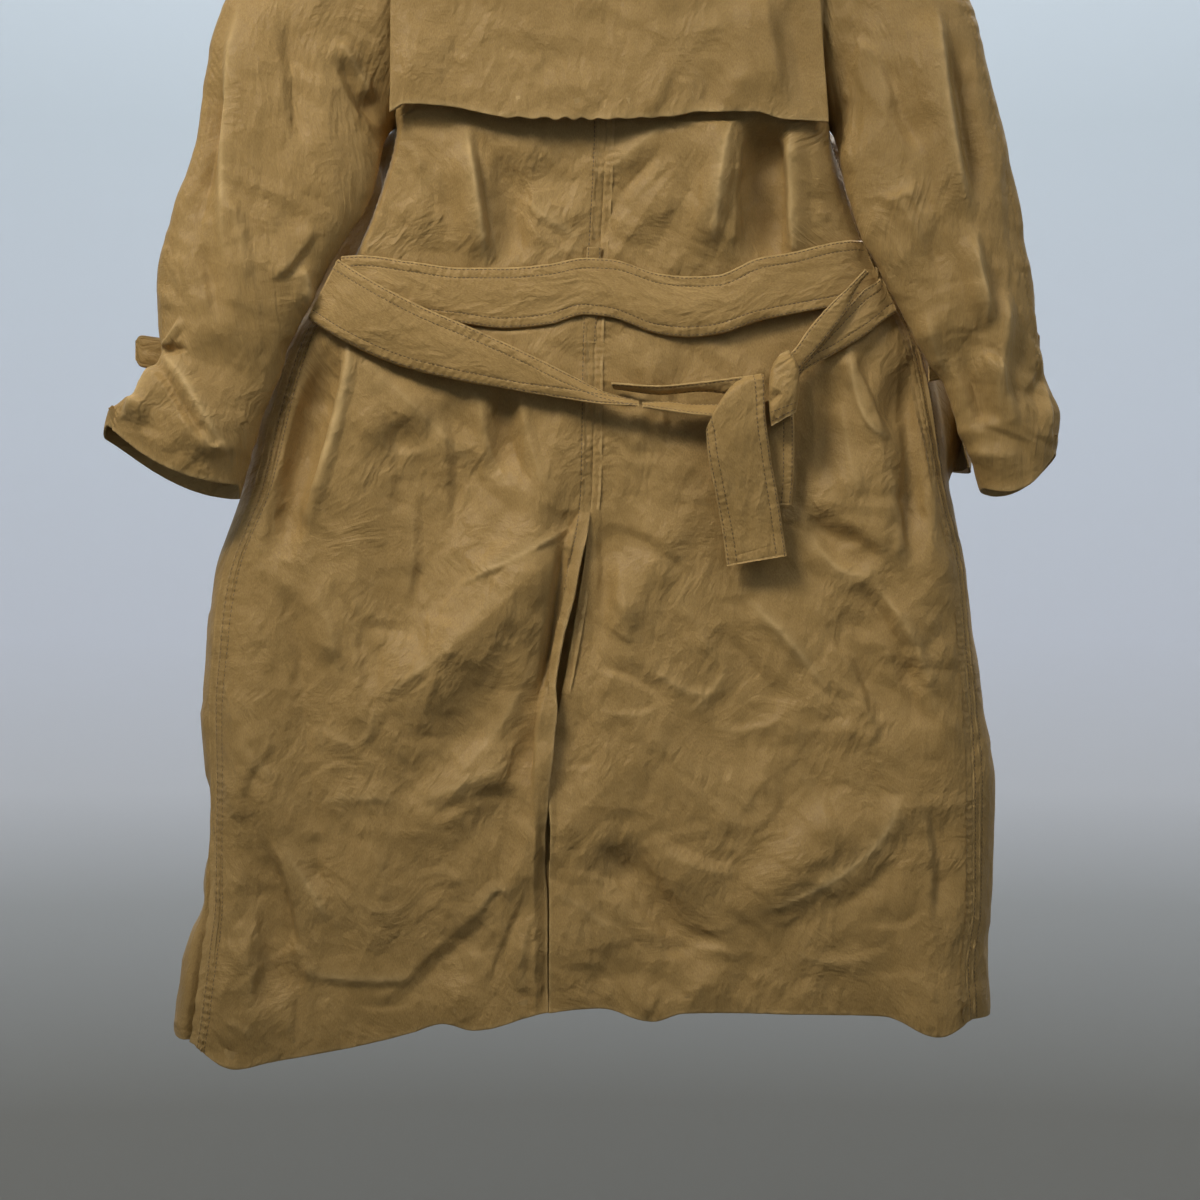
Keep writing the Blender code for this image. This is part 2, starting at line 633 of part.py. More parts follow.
def make_collar(finish):
    degrees = np.linspace(-COLLAR_END, COLLAR_END, 25)
    away = np.abs(degrees)
    outward = np.stack([np.sin(np.radians(degrees)), -np.cos(np.radians(degrees)), 0 * degrees], axis=-1)
    seam_x, seam_depth, seam_drop = neck_seam(degrees)
    seam = np.stack([seam_x, seam_depth, -seam_drop + SEAM_GAP + CLOTH / 2], axis=-1)
    fold = seam + outward * 2.0 + np.stack([0 * away, 0 * away, COLLAR.at("stand", away)], axis=-1)
    outer = np.stack([seam + (fold - seam) * share for share in (0.0, 0.5, 1.0)])
    wall("collar_stand", outer, outer - outward * CLOTH, finish)

    reach, fall = COLLAR.at("reach", away), COLLAR.at("fall", away)
    rows = []
    for share in (0.0, 0.12, 0.35, 0.65, 1.0):
        out = FALL_STAND_OFF + reach * share ** 0.85
        rise = FALL_ROLL * math.sin(math.pi * min(share / 0.35, 1)) - fall * share
        rows.append(fold + outward * out[:, None] + np.stack([0 * away, 0 * away, rise], axis=-1))
    outer = np.stack(rows)
    inner = outer - (outward + np.array([0, 0, 0.5])) * CLOTH
    wall("collar_fall", outer, inner, finish)


def front_depth(side, x, drop):
    """Depth of a front's outer face, away from its rounded side."""
    full = filled(np.sign(side) * np.maximum(np.abs(x), NECK_HALF), drop, BODY.at("front", drop))
    if side == RIGHT:
        full = full + front_layer(x)
    return full


# A lapel, from the break up to the collar: how far its edge stands off the roll line
LAPEL = Table(
    "drop width lift",
    (188, 88, 5), (215, 86, 5), (290, 66, 5), (360, 34, 6), (392, 7, 7),
)
LAPEL_TOP = 188.0
LAPEL_END = {LEFT: 286.0, RIGHT: 392.0}   # the right front covers the rest of the left lapel
LAPEL_CLOTH = 2.0
LAPEL_PEAK = 0.36           # its edge lies higher than the roll line, as a share of its width
LAPEL_OFF_ROLL = 3.0
LAPEL_OFF_FRONT = {LEFT: 3.5, RIGHT: 1.0}  # the least distance, and what is added to the lift
LAPEL_UNDER = 5.0           # the left lapel ends this far before the right front's edge


def make_lapels(finish):
    share = np.linspace(0, 1, 12)[:, None]
    across = np.linspace(0, 1, 5)
    for side in (LEFT, RIGHT):
        drop_roll = LAPEL_TOP + (LAPEL_END[side] - LAPEL_TOP) * share
        width = LAPEL.at("width", drop_roll)
        x = front_edge(side, drop_roll) + side * (LAPEL_OFF_ROLL + width * across)
        drop = drop_roll - LAPEL_PEAK * width * across
        if side == LEFT:
            uncovered = front_edge(RIGHT, drop) - LAPEL_UNDER
            x = x + np.minimum(uncovered - x[:, :1], 0) * (1 - across)
        lift = LAPEL.at("lift", drop_roll) * (0.9 + 0.5 * np.sin(np.pi * across))
        if side == LEFT:
            lift = np.maximum(lift, LAPEL_OFF_FRONT[LEFT])
        else:
            lift = lift + LAPEL_OFF_FRONT[RIGHT]
        outer = np.stack([x, front_depth(side, x, drop) + lift, -drop], axis=-1)
        wall("lapel_" + SIDE_NAMES[side], outer, outer - np.array([0, LAPEL_CLOTH, 0]), finish)


BUTTON_X = 52.0
BUTTON_DROPS = (432.0, 560.0, 688.0)
BUTTON_OFF_CLOTH = 0.4
BUTTON_SIDES = 12
# A button's section, from its back to its sunk middle
BUTTON = Table("height radius", (0, 13.2), (1.2, 14), (3.3, 14), (4.5, 12.8), (4.6, 10.5))
BUTTON_SUNK = 3.3


def ring_faces(rings, sides):
    """Faces of a closed round form made of rings of points, with its two ends."""
    faces = []
    for ring in range(rings - 1):
        for step in range(sides):
            after = (step + 1) % sides
            near = (ring * sides + step, ring * sides + after)
            faces.append(near + ((ring + 1) * sides + after, (ring + 1) * sides + step))
    faces.append(tuple(range(sides)))
    faces.append(tuple((rings - 1) * sides + step for step in range(sides)))
    return faces


def make_buttons(finish):
    """Two columns of buttons on the right front, each with a rim and a sunk middle."""
    number = 1
    angles = np.linspace(0, 2 * np.pi, BUTTON_SIDES, endpoint=False)
    radius = np.append(BUTTON.column("radius"), BUTTON.column("radius")[-1] - 1.0)[:, None]
    height = np.append(BUTTON.column("height"), BUTTON_SUNK)[:, None] + 0 * angles
    for drop in BUTTON_DROPS:
        for x in (-BUTTON_X, BUTTON_X):
            base = float(front_depth(RIGHT, np.array(x), np.array(drop))) + BUTTON_OFF_CLOTH
            points = np.stack([x + radius * np.cos(angles), base + height,
                               radius * np.sin(angles) - drop], axis=-1)
            faces = ring_faces(len(radius), BUTTON_SIDES)
            add_mesh("button_%d" % number, points.reshape(-1, 3), faces, finish)
            number += 1


# A pocket welt on each front near its side: two long edges, from the low end to the high end
WELT = Table(
    "share side_turn side_stand front_turn front_stand drop",
    (0, 2.12, 18, 2.62, 8, 664),
    (0.3, 2.22, 10, 2.68, 7, 628),
    (0.65, 2.34, 7, 2.78, 6.5, 580),
    (1, 2.45, 6.5, 2.86, 6.5, 532),
)
WELT_CLOTH = 2.0


def make_welts(finish):
    share = np.linspace(0, 1, 7)
    for side in (LEFT, RIGHT):
        drop = WELT.at("drop", share)
        level = (HEM_DROP - drop) / (HEM_DROP - UNDERARM_DROP)
        mix = np.linspace(0, 1, 5)[:, None]
        turn = WELT.at("side_turn", share) * (1 - mix) + WELT.at("front_turn", share) * mix
        stand = WELT.at("side_stand", share) * (1 - mix) + WELT.at("front_stand", share) * mix
        level = np.broadcast_to(level, turn.shape)
        normals = body_normals(side, turn, level)
        outer = body(side, turn, level) + normals * stand[..., None]
        wall("welt_" + SIDE_NAMES[side], outer, outer - normals * WELT_CLOTH, finish)


# ---------------------------------------------------------------- belt

def ribbon(name, rows, finish, steps, thickness=BELT_CLOTH, middle=0.0, cross_steps=2):
    """A stretch of belt between an upper and a lower edge, thickened towards the coat.

    rows names upper_x, upper_drop, upper_depth, lower_x, lower_drop and lower_depth along
    the belt; middle bows it towards -Y.
    """
    share = np.linspace(0, 1, steps + 1)
    across = np.linspace(0, 1, cross_steps + 1)
    edges = {}
    for edge in ("upper", "lower"):
        x, depth, drop = (rows.at(edge + key, share) for key in ("_x", "_depth", "_drop"))
        edges[edge] = np.stack([x, depth, -drop], axis=-1)
    upper, lower = edges["upper"][:, None], edges["lower"][:, None]
    outer = upper + (lower - upper) * across[:, None]
    outer[:, :, 1] -= middle * np.sin(np.pi * across)
    normals = grid_normals(outer)
    normals = normals * np.sign(-normals[:, :, 1:2])
    return wall(name, outer, outer - normals * thickness, finish)


# The belt across the back: upper and lower edge
BELT_BACK = Table(
    "x upper lower",
    (-207, 497, 540), (-188, 496, 541), (-148, 501, 546), (-107, 506, 551), (-74, 506, 555),
    (-38, 503, 552), (-9, 498, 544), (11, 499, 546), (52, 511, 560), (74, 513, 562),
    (96, 512, 560), (131, 498, 549), (155, 494, 544), (188, 486, 538), (207, 483, 534),
)
BELT_STAND_OFF = 5.2
BELT_BACK_ENDS = (-204.0, 206.0)
BELT_END_DEPTH = -40.0      # near its ends the belt stays this far behind the sides


def make_belt_back(finish):
    x = np.linspace(*BELT_BACK_ENDS, 25)
    across = np.linspace(0, 1, 4)[:, None]
    upper, lower = BELT_BACK.at("upper", x), BELT_BACK.at("lower", x)
    drop = upper + (lower - upper) * across
    x = np.broadcast_to(x, drop.shape)
    surface = np.minimum(back_depth(x, upper), back_depth(x, lower))
    surface = np.minimum(surface, back_depth(x, drop))
    surface = np.minimum(surface, np.where(np.abs(x) > 180, BELT_END_DEPTH, 0.0))
    outer = np.stack([x, surface - BELT_STAND_OFF, -drop], axis=-1)
    wall("belt_back", outer, outer + np.array([0, BELT_CLOTH, 0]), finish)


BELT_LEFT_PASS = Table(
    "share upper_x upper_drop upper_depth lower_x lower_drop lower_depth",
    (0.00, -206, 500, -57, -231, 547, -50),
    (0.10, -184, 514, -60, -203, 565, -60),
    (0.30, -141, 537, -62, -158, 585, -58),
    (0.50, -92, 558, -62, -111, 597, -60),
    (0.68, -49, 578, -62, -72, 604, -60),
    (0.82, -17, 594, -62, -20, 613, -64),
    (0.92, 8, 606, -62, 10, 617, -68),
    (1.00, 34, 613, -64, 34, 618, -70),
)

BELT_UPPER_STRIP = Table(
    "share upper_x upper_drop upper_depth lower_x lower_drop lower_depth",
    (0.0, 12, 600, -62, 14, 604, -54),
    (0.3, 50, 602, -64, 52, 609, -56),
    (0.6, 82, 599, -66, 84, 607, -60),
    (1.0, 118, 594, -64, 118, 611, -60),
)

BELT_LOWER_STRIP = Table(
    "share upper_x upper_drop upper_depth lower_x lower_drop lower_depth",
    (0.0, 37, 614, -62, 37, 618, -68),
    (0.3, 56, 613, -58, 57, 621, -68),
    (0.6, 80, 615, -56, 80, 624, -68),
    (1.0, 112, 615, -56, 112, 627, -64),
)

BELT_MAIN_END = Table(
    "share upper_x upper_drop upper_depth lower_x lower_drop lower_depth",
    (0.00, 133, 592, -71, 92, 630, -72),
    (0.05, 134, 597, -76, 87, 636, -77),
    (0.20, 134, 617, -77, 88, 652, -77),
    (0.50, 138, 652, -73, 95, 689, -71),
    (0.80, 146, 697, -67, 101, 722, -65),
    (1.00, 152, 737, -64, 104, 745, -62),
)

BELT_REAR_END = Table(
    "share upper_x upper_drop upper_depth lower_x lower_drop lower_depth",
    (0.0, 158, 637, -62, 117, 637, -60),
    (0.5, 158, 668, -60, 112, 670, -58),
    (1.0, 156, 696, -58, 110, 698, -57),
)

BELT_RIGHT_NARROW = Table(
    "share upper_x upper_drop upper_depth lower_x lower_drop lower_depth",
    (0.0, 215, 508, -56, 219, 511, -52),
    (0.2, 203, 521, -60, 211, 520, -56),
    (0.5, 184, 539, -62, 199, 543, -60),
    (0.8, 167, 559, -64, 181, 567, -62),
    (1.0, 159, 571, -66, 166, 584, -64),
)

BELT_RIGHT_WIDE = Table(
    "share upper_x upper_drop upper_depth lower_x lower_drop lower_depth",
    (0.0, 228, 512, -44, 234, 546, -44),
    (0.3, 214, 524, -50, 219, 558, -50),
    (0.7, 192, 549, -54, 190, 576, -54),
    (1.0, 168, 575, -56, 168, 588, -56),
)

# The knot is a short band round the belt: its left and right sides, and how far it bulges
KNOT = Table(
    "drop left right front back",
    (575, 143, 155, -74, -62),
    (588, 139, 161, -80, -62),
    (606, 137, 161, -82, -62),
    (622, 137, 160, -80, -63),
    (633, 138, 158, -75, -64),
)


def make_knot(finish):
    drops = KNOT.column("drop")
    drop = np.linspace(drops[0], drops[-1], 6)[:, None]
    angle = np.linspace(0, 2 * np.pi, 12, endpoint=False)
    middle = (KNOT.at("left", drop) + KNOT.at("right", drop)) / 2
    reach = (KNOT.at("right", drop) - KNOT.at("left", drop)) / 2
    centre = (KNOT.at("front", drop) + KNOT.at("back", drop)) / 2
    bulge = (KNOT.at("back", drop) - KNOT.at("front", drop)) / 2

    def band(inset):
        x = middle + (reach - inset) * np.cos(angle)
        depth = centre + (bulge - inset) * np.sin(angle)
        return np.stack([x, depth, np.broadcast_to(-drop, x.shape)], axis=-1)

    wall("belt_knot", band(0.0), band(BELT_CLOTH), finish, ring=True)


def make_belt(finish):
    make_belt_back(finish)
    ribbon("belt_left_pass", BELT_LEFT_PASS, finish, 16)
    ribbon("belt_upper_strip", BELT_UPPER_STRIP, finish, 7)
    ribbon("belt_lower_strip", BELT_LOWER_STRIP, finish, 7)
    ribbon("belt_main_end", BELT_MAIN_END, finish, 10, middle=2.0)
    ribbon("belt_rear_end", BELT_REAR_END, finish, 4)
    ribbon("belt_right_narrow", BELT_RIGHT_NARROW, finish, 7)
    ribbon("belt_right_wide", BELT_RIGHT_WIDE, finish, 7)
    make_knot(finish)


CARRIER_HALF = 6.0
CARRIER_TOP = 489.0
CARRIER_BOTTOM = 566.0
CARRIER_OFF_CENTRE = -4.5
CARRIER_CLOTH = 1.4
CARRIER_OFF_BACK = 1.9      # from the back's outer face to the carrier's own


def make_centre_carrier(finish):
    """A flat loop sewn over the centre back seam; the belt lies over it."""
    drop = np.linspace(CARRIER_TOP, CARRIER_BOTTOM, 7)[:, None]
    across = np.array([-CARRIER_HALF, 0, CARRIER_HALF])
    x = BODY.at("centre", drop) + CARRIER_OFF_CENTRE + across
    drop = np.broadcast_to(drop, x.shape)
    outer = np.stack([x, back_depth(x, drop) - CARRIER_OFF_BACK, -drop], axis=-1)
    wall("carrier_centre", outer, outer + np.array([0, CARRIER_CLOTH, 0]), finish)


# ---------------------------------------------------------------- hanger

HOOK_WIRE = 2.0             # radius
HOOK_RADIUS = 20.0          # of the wire's middle line
HOOK_START = -52.0          # degrees round the hook, from its shank
HOOK_SWEEP = 258.0
BAR_HALF_LENGTH = 184.0
BAR_HALF_THICK = 6.0
BAR_HALF_HEIGHT = 11.0
BAR_TIP_ROUND = 3.0
BAR_START = -5.3            # its slopes start this far below the neck point
BAR_CROWN = 30.0            # half the width of the rounding in its middle


def make_hanger_bar(finish):
    """A round-edged bar, parallel to the shoulder seams; returns the drop of its top."""
    x = np.linspace(-BAR_HALF_LENGTH, BAR_HALF_LENGTH, 25)[:, None]
    angle = np.linspace(0, 2 * np.pi, 10, endpoint=False)
    slope = (SHOULDER_DROP - NECK_DROP) / (SHOULDER_HALF - NECK_HALF)
    away = np.sqrt(x ** 2 + BAR_CROWN ** 2) - BAR_CROWN
    drop = np.maximum(NECK_DROP + BAR_START + away * slope, NECK_DROP)
    end = np.sqrt(np.clip(1 - (np.abs(x) / (BAR_HALF_LENGTH + BAR_TIP_ROUND)) ** 12, 0, 1))
    depth = BAR_HALF_THICK * end * np.cos(angle)
    height = BAR_HALF_HEIGHT * end * np.sin(angle)
    rows = np.stack([np.broadcast_to(x, depth.shape), depth, height - drop], axis=-1)
    add_mesh("hanger_bar", rows.reshape(-1, 3), ring_faces(len(x), len(angle)), finish)
    return float(drop[len(x) // 2, 0]) - BAR_HALF_HEIGHT


def make_hook(bar_top, finish):
    """A round wire hook; the top of its inside is the origin."""
    centre_height = HOOK_WIRE - HOOK_RADIUS
    route = [(0, SEAM_GAP - bar_top), (0, 12 - bar_top), (1.5, 24 - bar_top)]
    for angle in np.radians(HOOK_START + np.linspace(0, HOOK_SWEEP, 19)):
        route.append((HOOK_RADIUS * math.cos(angle), centre_height + HOOK_RADIUS * math.sin(angle)))
    curve = bpy.data.curves.new("hanger_hook", "CURVE")
    curve.dimensions = "3D"
    spline = curve.splines.new("POLY")
    spline.points.add(len(route) - 1)
    for point, (x, height) in zip(spline.points, route):
        point.co = (x * MM, 0, height * MM, 1)
    curve.bevel_depth = HOOK_WIRE * MM
    curve.bevel_resolution = 2
    curve.use_fill_caps = True
    curve.materials.append(finish)
    made = bpy.data.objects.new("hanger_hook", curve)
    bpy.context.collection.objects.link(made)


def main():
    for old in list(bpy.data.objects):
        bpy.data.objects.remove(old, do_unlink=True)
    cloth = material("tan_cloth", (0.230, 0.145, 0.055), 0.62)
    belt_cloth = material("tan_belt_cloth", (0.250, 0.160, 0.062), 0.60)
    horn = material("brown_buttons", (0.055, 0.030, 0.014), 0.35)
    wood = material("hanger_wood", (0.300, 0.170, 0.080), 0.45)
    steel = material("hook_steel", (0.600, 0.600, 0.620), 0.25, metallic=1.0)
    make_backs(cloth)
    make_fronts(cloth)
    make_vent_underlay(cloth)
    make_storm_flap(cloth)
    make_sleeves(cloth)
    make_straps(cloth)
    make_collar(cloth)
    make_lapels(cloth)
    make_welts(cloth)
    make_belt(belt_cloth)
    make_centre_carrier(cloth)
    make_buttons(horn)
    bar_top = make_hanger_bar(wood)
    make_hook(bar_top, steel)


main()
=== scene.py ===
"""The looks of a trench coat that hangs flat on a plain hanger.

The same shapes, tables and frame as the part's own source: the coat's back faces -Y, +Z is up,
and the origin is the inside top of the hanger's hook.  Measures are in millimetres until a mesh
is made: x runs across, "drop" is the distance below the hook and "depth" is y.
"Left" and "right" are the wearer's, and "left" lies at -x.
"""

import math

import bpy
import numpy as np
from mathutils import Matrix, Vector


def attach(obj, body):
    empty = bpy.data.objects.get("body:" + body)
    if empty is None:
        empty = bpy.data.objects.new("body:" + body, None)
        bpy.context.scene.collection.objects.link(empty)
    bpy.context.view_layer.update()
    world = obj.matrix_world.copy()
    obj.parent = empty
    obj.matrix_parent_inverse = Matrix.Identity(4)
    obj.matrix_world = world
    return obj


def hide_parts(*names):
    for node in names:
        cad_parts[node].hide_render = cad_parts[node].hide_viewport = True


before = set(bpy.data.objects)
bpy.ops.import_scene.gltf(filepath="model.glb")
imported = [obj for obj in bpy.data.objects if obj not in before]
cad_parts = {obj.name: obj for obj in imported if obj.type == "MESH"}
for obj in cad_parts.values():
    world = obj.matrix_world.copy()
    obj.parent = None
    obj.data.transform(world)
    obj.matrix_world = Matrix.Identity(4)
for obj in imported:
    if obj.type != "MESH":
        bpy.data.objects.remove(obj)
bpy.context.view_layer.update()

MM = 0.001
LEFT, RIGHT = -1, 1
SIDE_NAMES = {LEFT: "left", RIGHT: "right"}

# Cloth
CLOTH = 1.6                 # wall of the coat's cloth with its lining of seams
BELT_CLOTH = 2.2            # two layers of cloth, stitched flat
SEAM_GAP = 0.3              # between two sewn pieces

# Body
SHOULDER_DROP = 150.0       # shoulder point
UNDERARM_DROP = 385.0       # lowest point of the armhole
HEM_DROP = 1105.0           # the hem's middle height
NECK_HALF = 75.0            # half the neck's width
NECK_DROP = 93.0            # neck point, where shoulder seam and collar meet
BACK_NECK_DROP = 104.0      # centre back of the neck seam
NECK_DEPTH = 34.0           # the neck's ellipse, behind and before the hanger
ARMHOLE_DEPTH = 44.0        # half the armhole's depth
SHOULDER_RIDGE = CLOTH + SEAM_GAP / 2   # half the seam's thickness along the shoulder
SHOULDER_ROUND = 35.0       # how far below the shoulder seam the body fills out
SHOULDER_HALF = 195.0       # half the width between the shoulder points
ARMHOLE_X = {               # shoulder point, middle and underarm
    LEFT: (-SHOULDER_HALF, -165.0, -162.0),
    RIGHT: (SHOULDER_HALF, 183.0, 188.0),
}

# Front
OVERLAP = 80.0              # how far each front runs past the centre
BREAK_DROP = 400.0          # where the lapels start to turn back
FRONT_LAYER = 3.4           # the right front lies this far over the left one
LAYER_END = 120.0           # x where the right front has come down to its own side
LAYER_BLEND = 35.0
ROLL_BEND = 0.94            # 1 is a straight roll line

# Rounding of the body
ARMHOLE_SHARE = 0.55        # how much of the turned side the armhole takes away
BACK_TO_FRONT = 1.75        # turn where the hem's height starts to go over to the front's
BACK_TO_FRONT_BLEND = 0.5
ARMHOLE_FADE = 0.5          # share of the armhole's height over which it takes that away
FOLDS_END_TURN = 2.0        # the back's folds end here
FOLDS_END_BLEND = 0.4
LAYER_TURN = 2.9            # from here on the right front lies over the left one
HEM_PASSES = 4              # how often a row's drop is worked out again for the hem's wave

# A fold of the back fades in and out over a share of its length, and starts part of the way up
FOLD_TAPER = 0.3
FOLD_START = 0.2


def smooth(keys, values, key):
    """Read a smooth curve through (keys, values) that doesn't overshoot them."""
    key = np.clip(key, keys[0], keys[-1])
    steps = np.diff(keys)
    slopes = np.diff(values) / steps
    product = slopes[:-1] * slopes[1:]
    total = slopes[:-1] + slopes[1:]
    safe_total = np.where(product > 0, total, 1.0)
    inner = np.where(product > 0, 2 * product / safe_total, 0.0)
    tangents = np.concatenate(([slopes[0]], inner, [slopes[-1]]))
    place = np.clip(np.searchsorted(keys, key, side="right") - 1, 0, len(steps) - 1)
    t = (key - keys[place]) / steps[place]
    start, end = values[place], values[place + 1]
    rise, fall = tangents[place] * steps[place], tangents[place + 1] * steps[place]
    return (
        start * (1 + 2 * t) * (1 - t) ** 2
        + rise * t * (1 - t) ** 2
        + end * t * t * (3 - 2 * t)
        - fall * t * t * (1 - t)
    )


def ease(value):
    """Go smoothly from 0 to 1 as value does."""
    value = np.clip(value, 0.0, 1.0)
    return value * value * (3 - 2 * value)


class Table:
    """Measures under named columns, read smoothly between rows along the first column."""

    def __init__(self, names, *rows):
        self.names = names.split()
        self.rows = np.array(rows, dtype=float)

    def column(self, name):
        return self.rows[:, self.names.index(name)]

    def at(self, name, key):
        return smooth(self.rows[:, 0], self.column(name), np.asarray(key, dtype=float))

    def as_dicts(self):
        return [dict(zip(self.names, row)) for row in self.rows]


# The body at each drop: its widest points, its side seams and the soft folds where the flat
# back turns to the side, with the depths of back, sides and front.
BODY = Table(
    "drop left_side left_seam left_fold centre right_fold right_seam right_side "
    "back left_depth right_depth front",
    (150, -195, -195, -150, 8, 152, 195, 195, -46, 0, 0, 46),
    (270, -165, -165, -150, 8, 160, 183, 183, -46, 0, 0, 46),
    (385, -162, -162, -154, 8, 168, 188, 188, -46, 0, 0, 46),
    (440, -175, -174, -166, 6, 175, 203, 208, -45, 6, 4, 46),
    (492, -196, -194, -184, 3, 182, 222, 236, -44, 6, 2, 46),
    (564, -252, -238, -200, -1, 203, 253, 268, -46, -4, -4, 46),
    (623, -273, -256, -210, -2, 218, 265, 281, -48, -6, -6, 46),
    (679, -288, -269, -227, -3, 228, 275, 289, -49, -6, -6, 46),
    (752, -312, -296, -250, -12, 236, 292, 303, -50, -6, -6, 46),
    (804, -320, -303, -258, -21, 240, 296, 309, -51, -6, -6, 46),
    (852, -321, -307, -261, -29, 243, 300, 314, -52, -6, -6, 46),
    (932, -316, -306, -265, -38, 247, 303, 324, -54, -6, -6, 47),
    (1012, -321, -305, -267, -38, 247, 303, 322, -56, -4, -6, 48),
    (1068, -337, -311, -268, -38, 247, 297, 318, -58, -2, -6, 49),
    (1100, -345, -320, -268, -38, 247, 299, 320, -60, 0, -6, 50),
    (1150, -346, -327, -268, -38, 247, 303, 318, -60, 0, -6, 50),
)

# How far the fronts belly out sideways behind the sleeves
BELLY = Table(
    "drop left right",
    (390, 0, 0), (430, 26, 16), (500, 34, 18), (570, 22, 26), (620, 10, 36), (655, 0, 26), (700, 0, 0),
)

# The back's hem, across
HEM = Table(
    "x drop",
    (-327, 1126), (-290, 1147), (-261, 1142), (-200, 1131), (-147, 1118), (-122, 1111),
    (-99, 1116), (-38, 1102), (3, 1098), (45, 1109), (70, 1102), (198, 1104),
    (230, 1105), (274, 1121), (303, 1108),
)
FRONT_HEM_DROP = 1106.0

# Folds of the back: soft ridges (positive height) and troughs (negative height)
FOLDS = Table(
    "x_top drop_top x_bottom drop_bottom half_width height",
    (-214, 575, -256, 745, 20, -13),
    (-199, 560, -236, 715, 16, 6),
    (198, 570, 236, 640, 15, 6),
    (245, 575, 250, 740, 22, -12),
    (-101, 410, -86, 500, 26, 8),
    (-70, 412, -62, 500, 18, -6),
    (110, 395, 95, 495, 30, 8),
    (138, 380, 140, 505, 22, -11),
    (-17, 720, -172, 884, 55, 11),
    (-110, 600, -190, 640, 26, 6),
    (-70, 590, -76, 680, 18, -7),
    (-18, 715, -40, 860, 14, -9),
    (-40, 880, -62, 1020, 22, 7),
    (-284, 932, -248, 1110, 26, -9),
    (212, 935, 118, 1025, 34, 9),
    (0, 968, 95, 1066, 30, -7),
    (205, 765, 262, 890, 34, -7),
    (165, 708, 225, 745, 20, -6),
    (60, 700, 20, 800, 30, 6),
    (-60, 900, -150, 960, 34, 7),
)


def fold_height(x, drop):
    """How far the folds push the back out towards -Y."""
    total = np.zeros(np.broadcast(x, drop).shape)
    for fold in FOLDS.as_dicts():
        along_x = fold["x_bottom"] - fold["x_top"]
        along_drop = fold["drop_bottom"] - fold["drop_top"]
        length = math.hypot(along_x, along_drop)
        from_x, from_drop = x - fold["x_top"], drop - fold["drop_top"]
        along = (from_x * along_x + from_drop * along_drop) / length
        across = np.abs(from_x * along_drop - from_drop * along_x) / length
        fade = FOLD_TAPER * length
        taper = ease(along / fade + FOLD_START) * ease((length - along) / fade + FOLD_START)
        bell = 0.5 + 0.5 * np.cos(np.pi * np.clip(across / fold["half_width"], 0, 1))
        total = total + fold["height"] * taper * bell
    return total


def shoulder_line(x):
    """Drop of the shoulder seam, and of the neck seam behind the neck."""
    away = np.abs(x)
    slope = (SHOULDER_DROP - NECK_DROP) / (SHOULDER_HALF - NECK_HALF)
    seam = NECK_DROP + np.clip(away - NECK_HALF, 0, None) * slope
    dip = (BACK_NECK_DROP - NECK_DROP) * np.clip(1 - (away / NECK_HALF) ** 2, 0, None)
    return seam + dip


def neck_depth(x):
    """Distance of the top edge of the cloth from the hanger's plane."""
    ellipse = np.sqrt(np.clip(1 - (np.abs(x) / NECK_HALF) ** 2, 0, None))
    return SHOULDER_RIDGE + NECK_DEPTH * ellipse


def filled(x, drop, full):
    """Depth of the flat back (full < 0) or front (full > 0), rounded off at the shoulder."""
    below = np.clip(drop - shoulder_line(x), 0, None)
    share = 1 - np.exp(-below / SHOULDER_ROUND)
    top = np.sign(full) * neck_depth(x)
    return top + (full - top) * share


def armhole(side, angle):
    """The armhole's curve: its x, its drop and its half depth, from the shoulder point (angle 0)
    to the underarm (angle 180 degrees)."""
    tip, middle, under = ARMHOLE_X[side]
    height = np.cos(angle)
    x = middle + (tip - under) / 2 * height + ((tip + under) / 2 - middle) * height ** 2
    drop = (UNDERARM_DROP + SHOULDER_DROP) / 2 - (UNDERARM_DROP - SHOULDER_DROP) / 2 * height
    depth = ARMHOLE_DEPTH * np.sin(angle) + SHOULDER_RIDGE * (0.5 + 0.5 * height)
    return x, drop, depth


def armhole_angle(level):
    return np.pi * (2 - np.clip(level, 1, 2))


def level_drop(level):
    """Drop of a row before the hem's wave and the shoulder's slope: 0 hem, 1 underarm, 2 shoulder."""
    low = HEM_DROP + (UNDERARM_DROP - HEM_DROP) * np.clip(level, 0, 1)
    _, high, _ = armhole(RIGHT, armhole_angle(level))
    return np.where(level <= 1, low, high)


def seam_turn(side, level):
    """Where the side seam or the armhole cuts a row, in turns past the back fold (0 to 1)."""
    name = SIDE_NAMES[side]
    drop = level_drop(level)
    fold, wide = BODY.at(name + "_fold", drop), BODY.at(name + "_side", drop)
    share = np.clip((BODY.at(name + "_seam", drop) - fold) / (wide - fold), 0, 1)
    low = np.arcsin(share) / (np.pi / 2)
    high = 1 - ARMHOLE_SHARE * ease((level - 1) / ARMHOLE_FADE)
    return np.where(level < 1, low, high)


def front_edge(side, drop):
    """x of a front's free edge: straight below the break, along the lapel's roll line above it."""
    rise = np.clip((BREAK_DROP - drop) / (BREAK_DROP - NECK_DROP), 0, 1)
    return side * (-OVERLAP + (OVERLAP + NECK_HALF) * rise ** ROLL_BEND)


def front_layer(x):
    """How far the right front stands out, so that it clears the left front under it."""
    return FRONT_LAYER * ease((LAYER_END - x) / LAYER_BLEND)


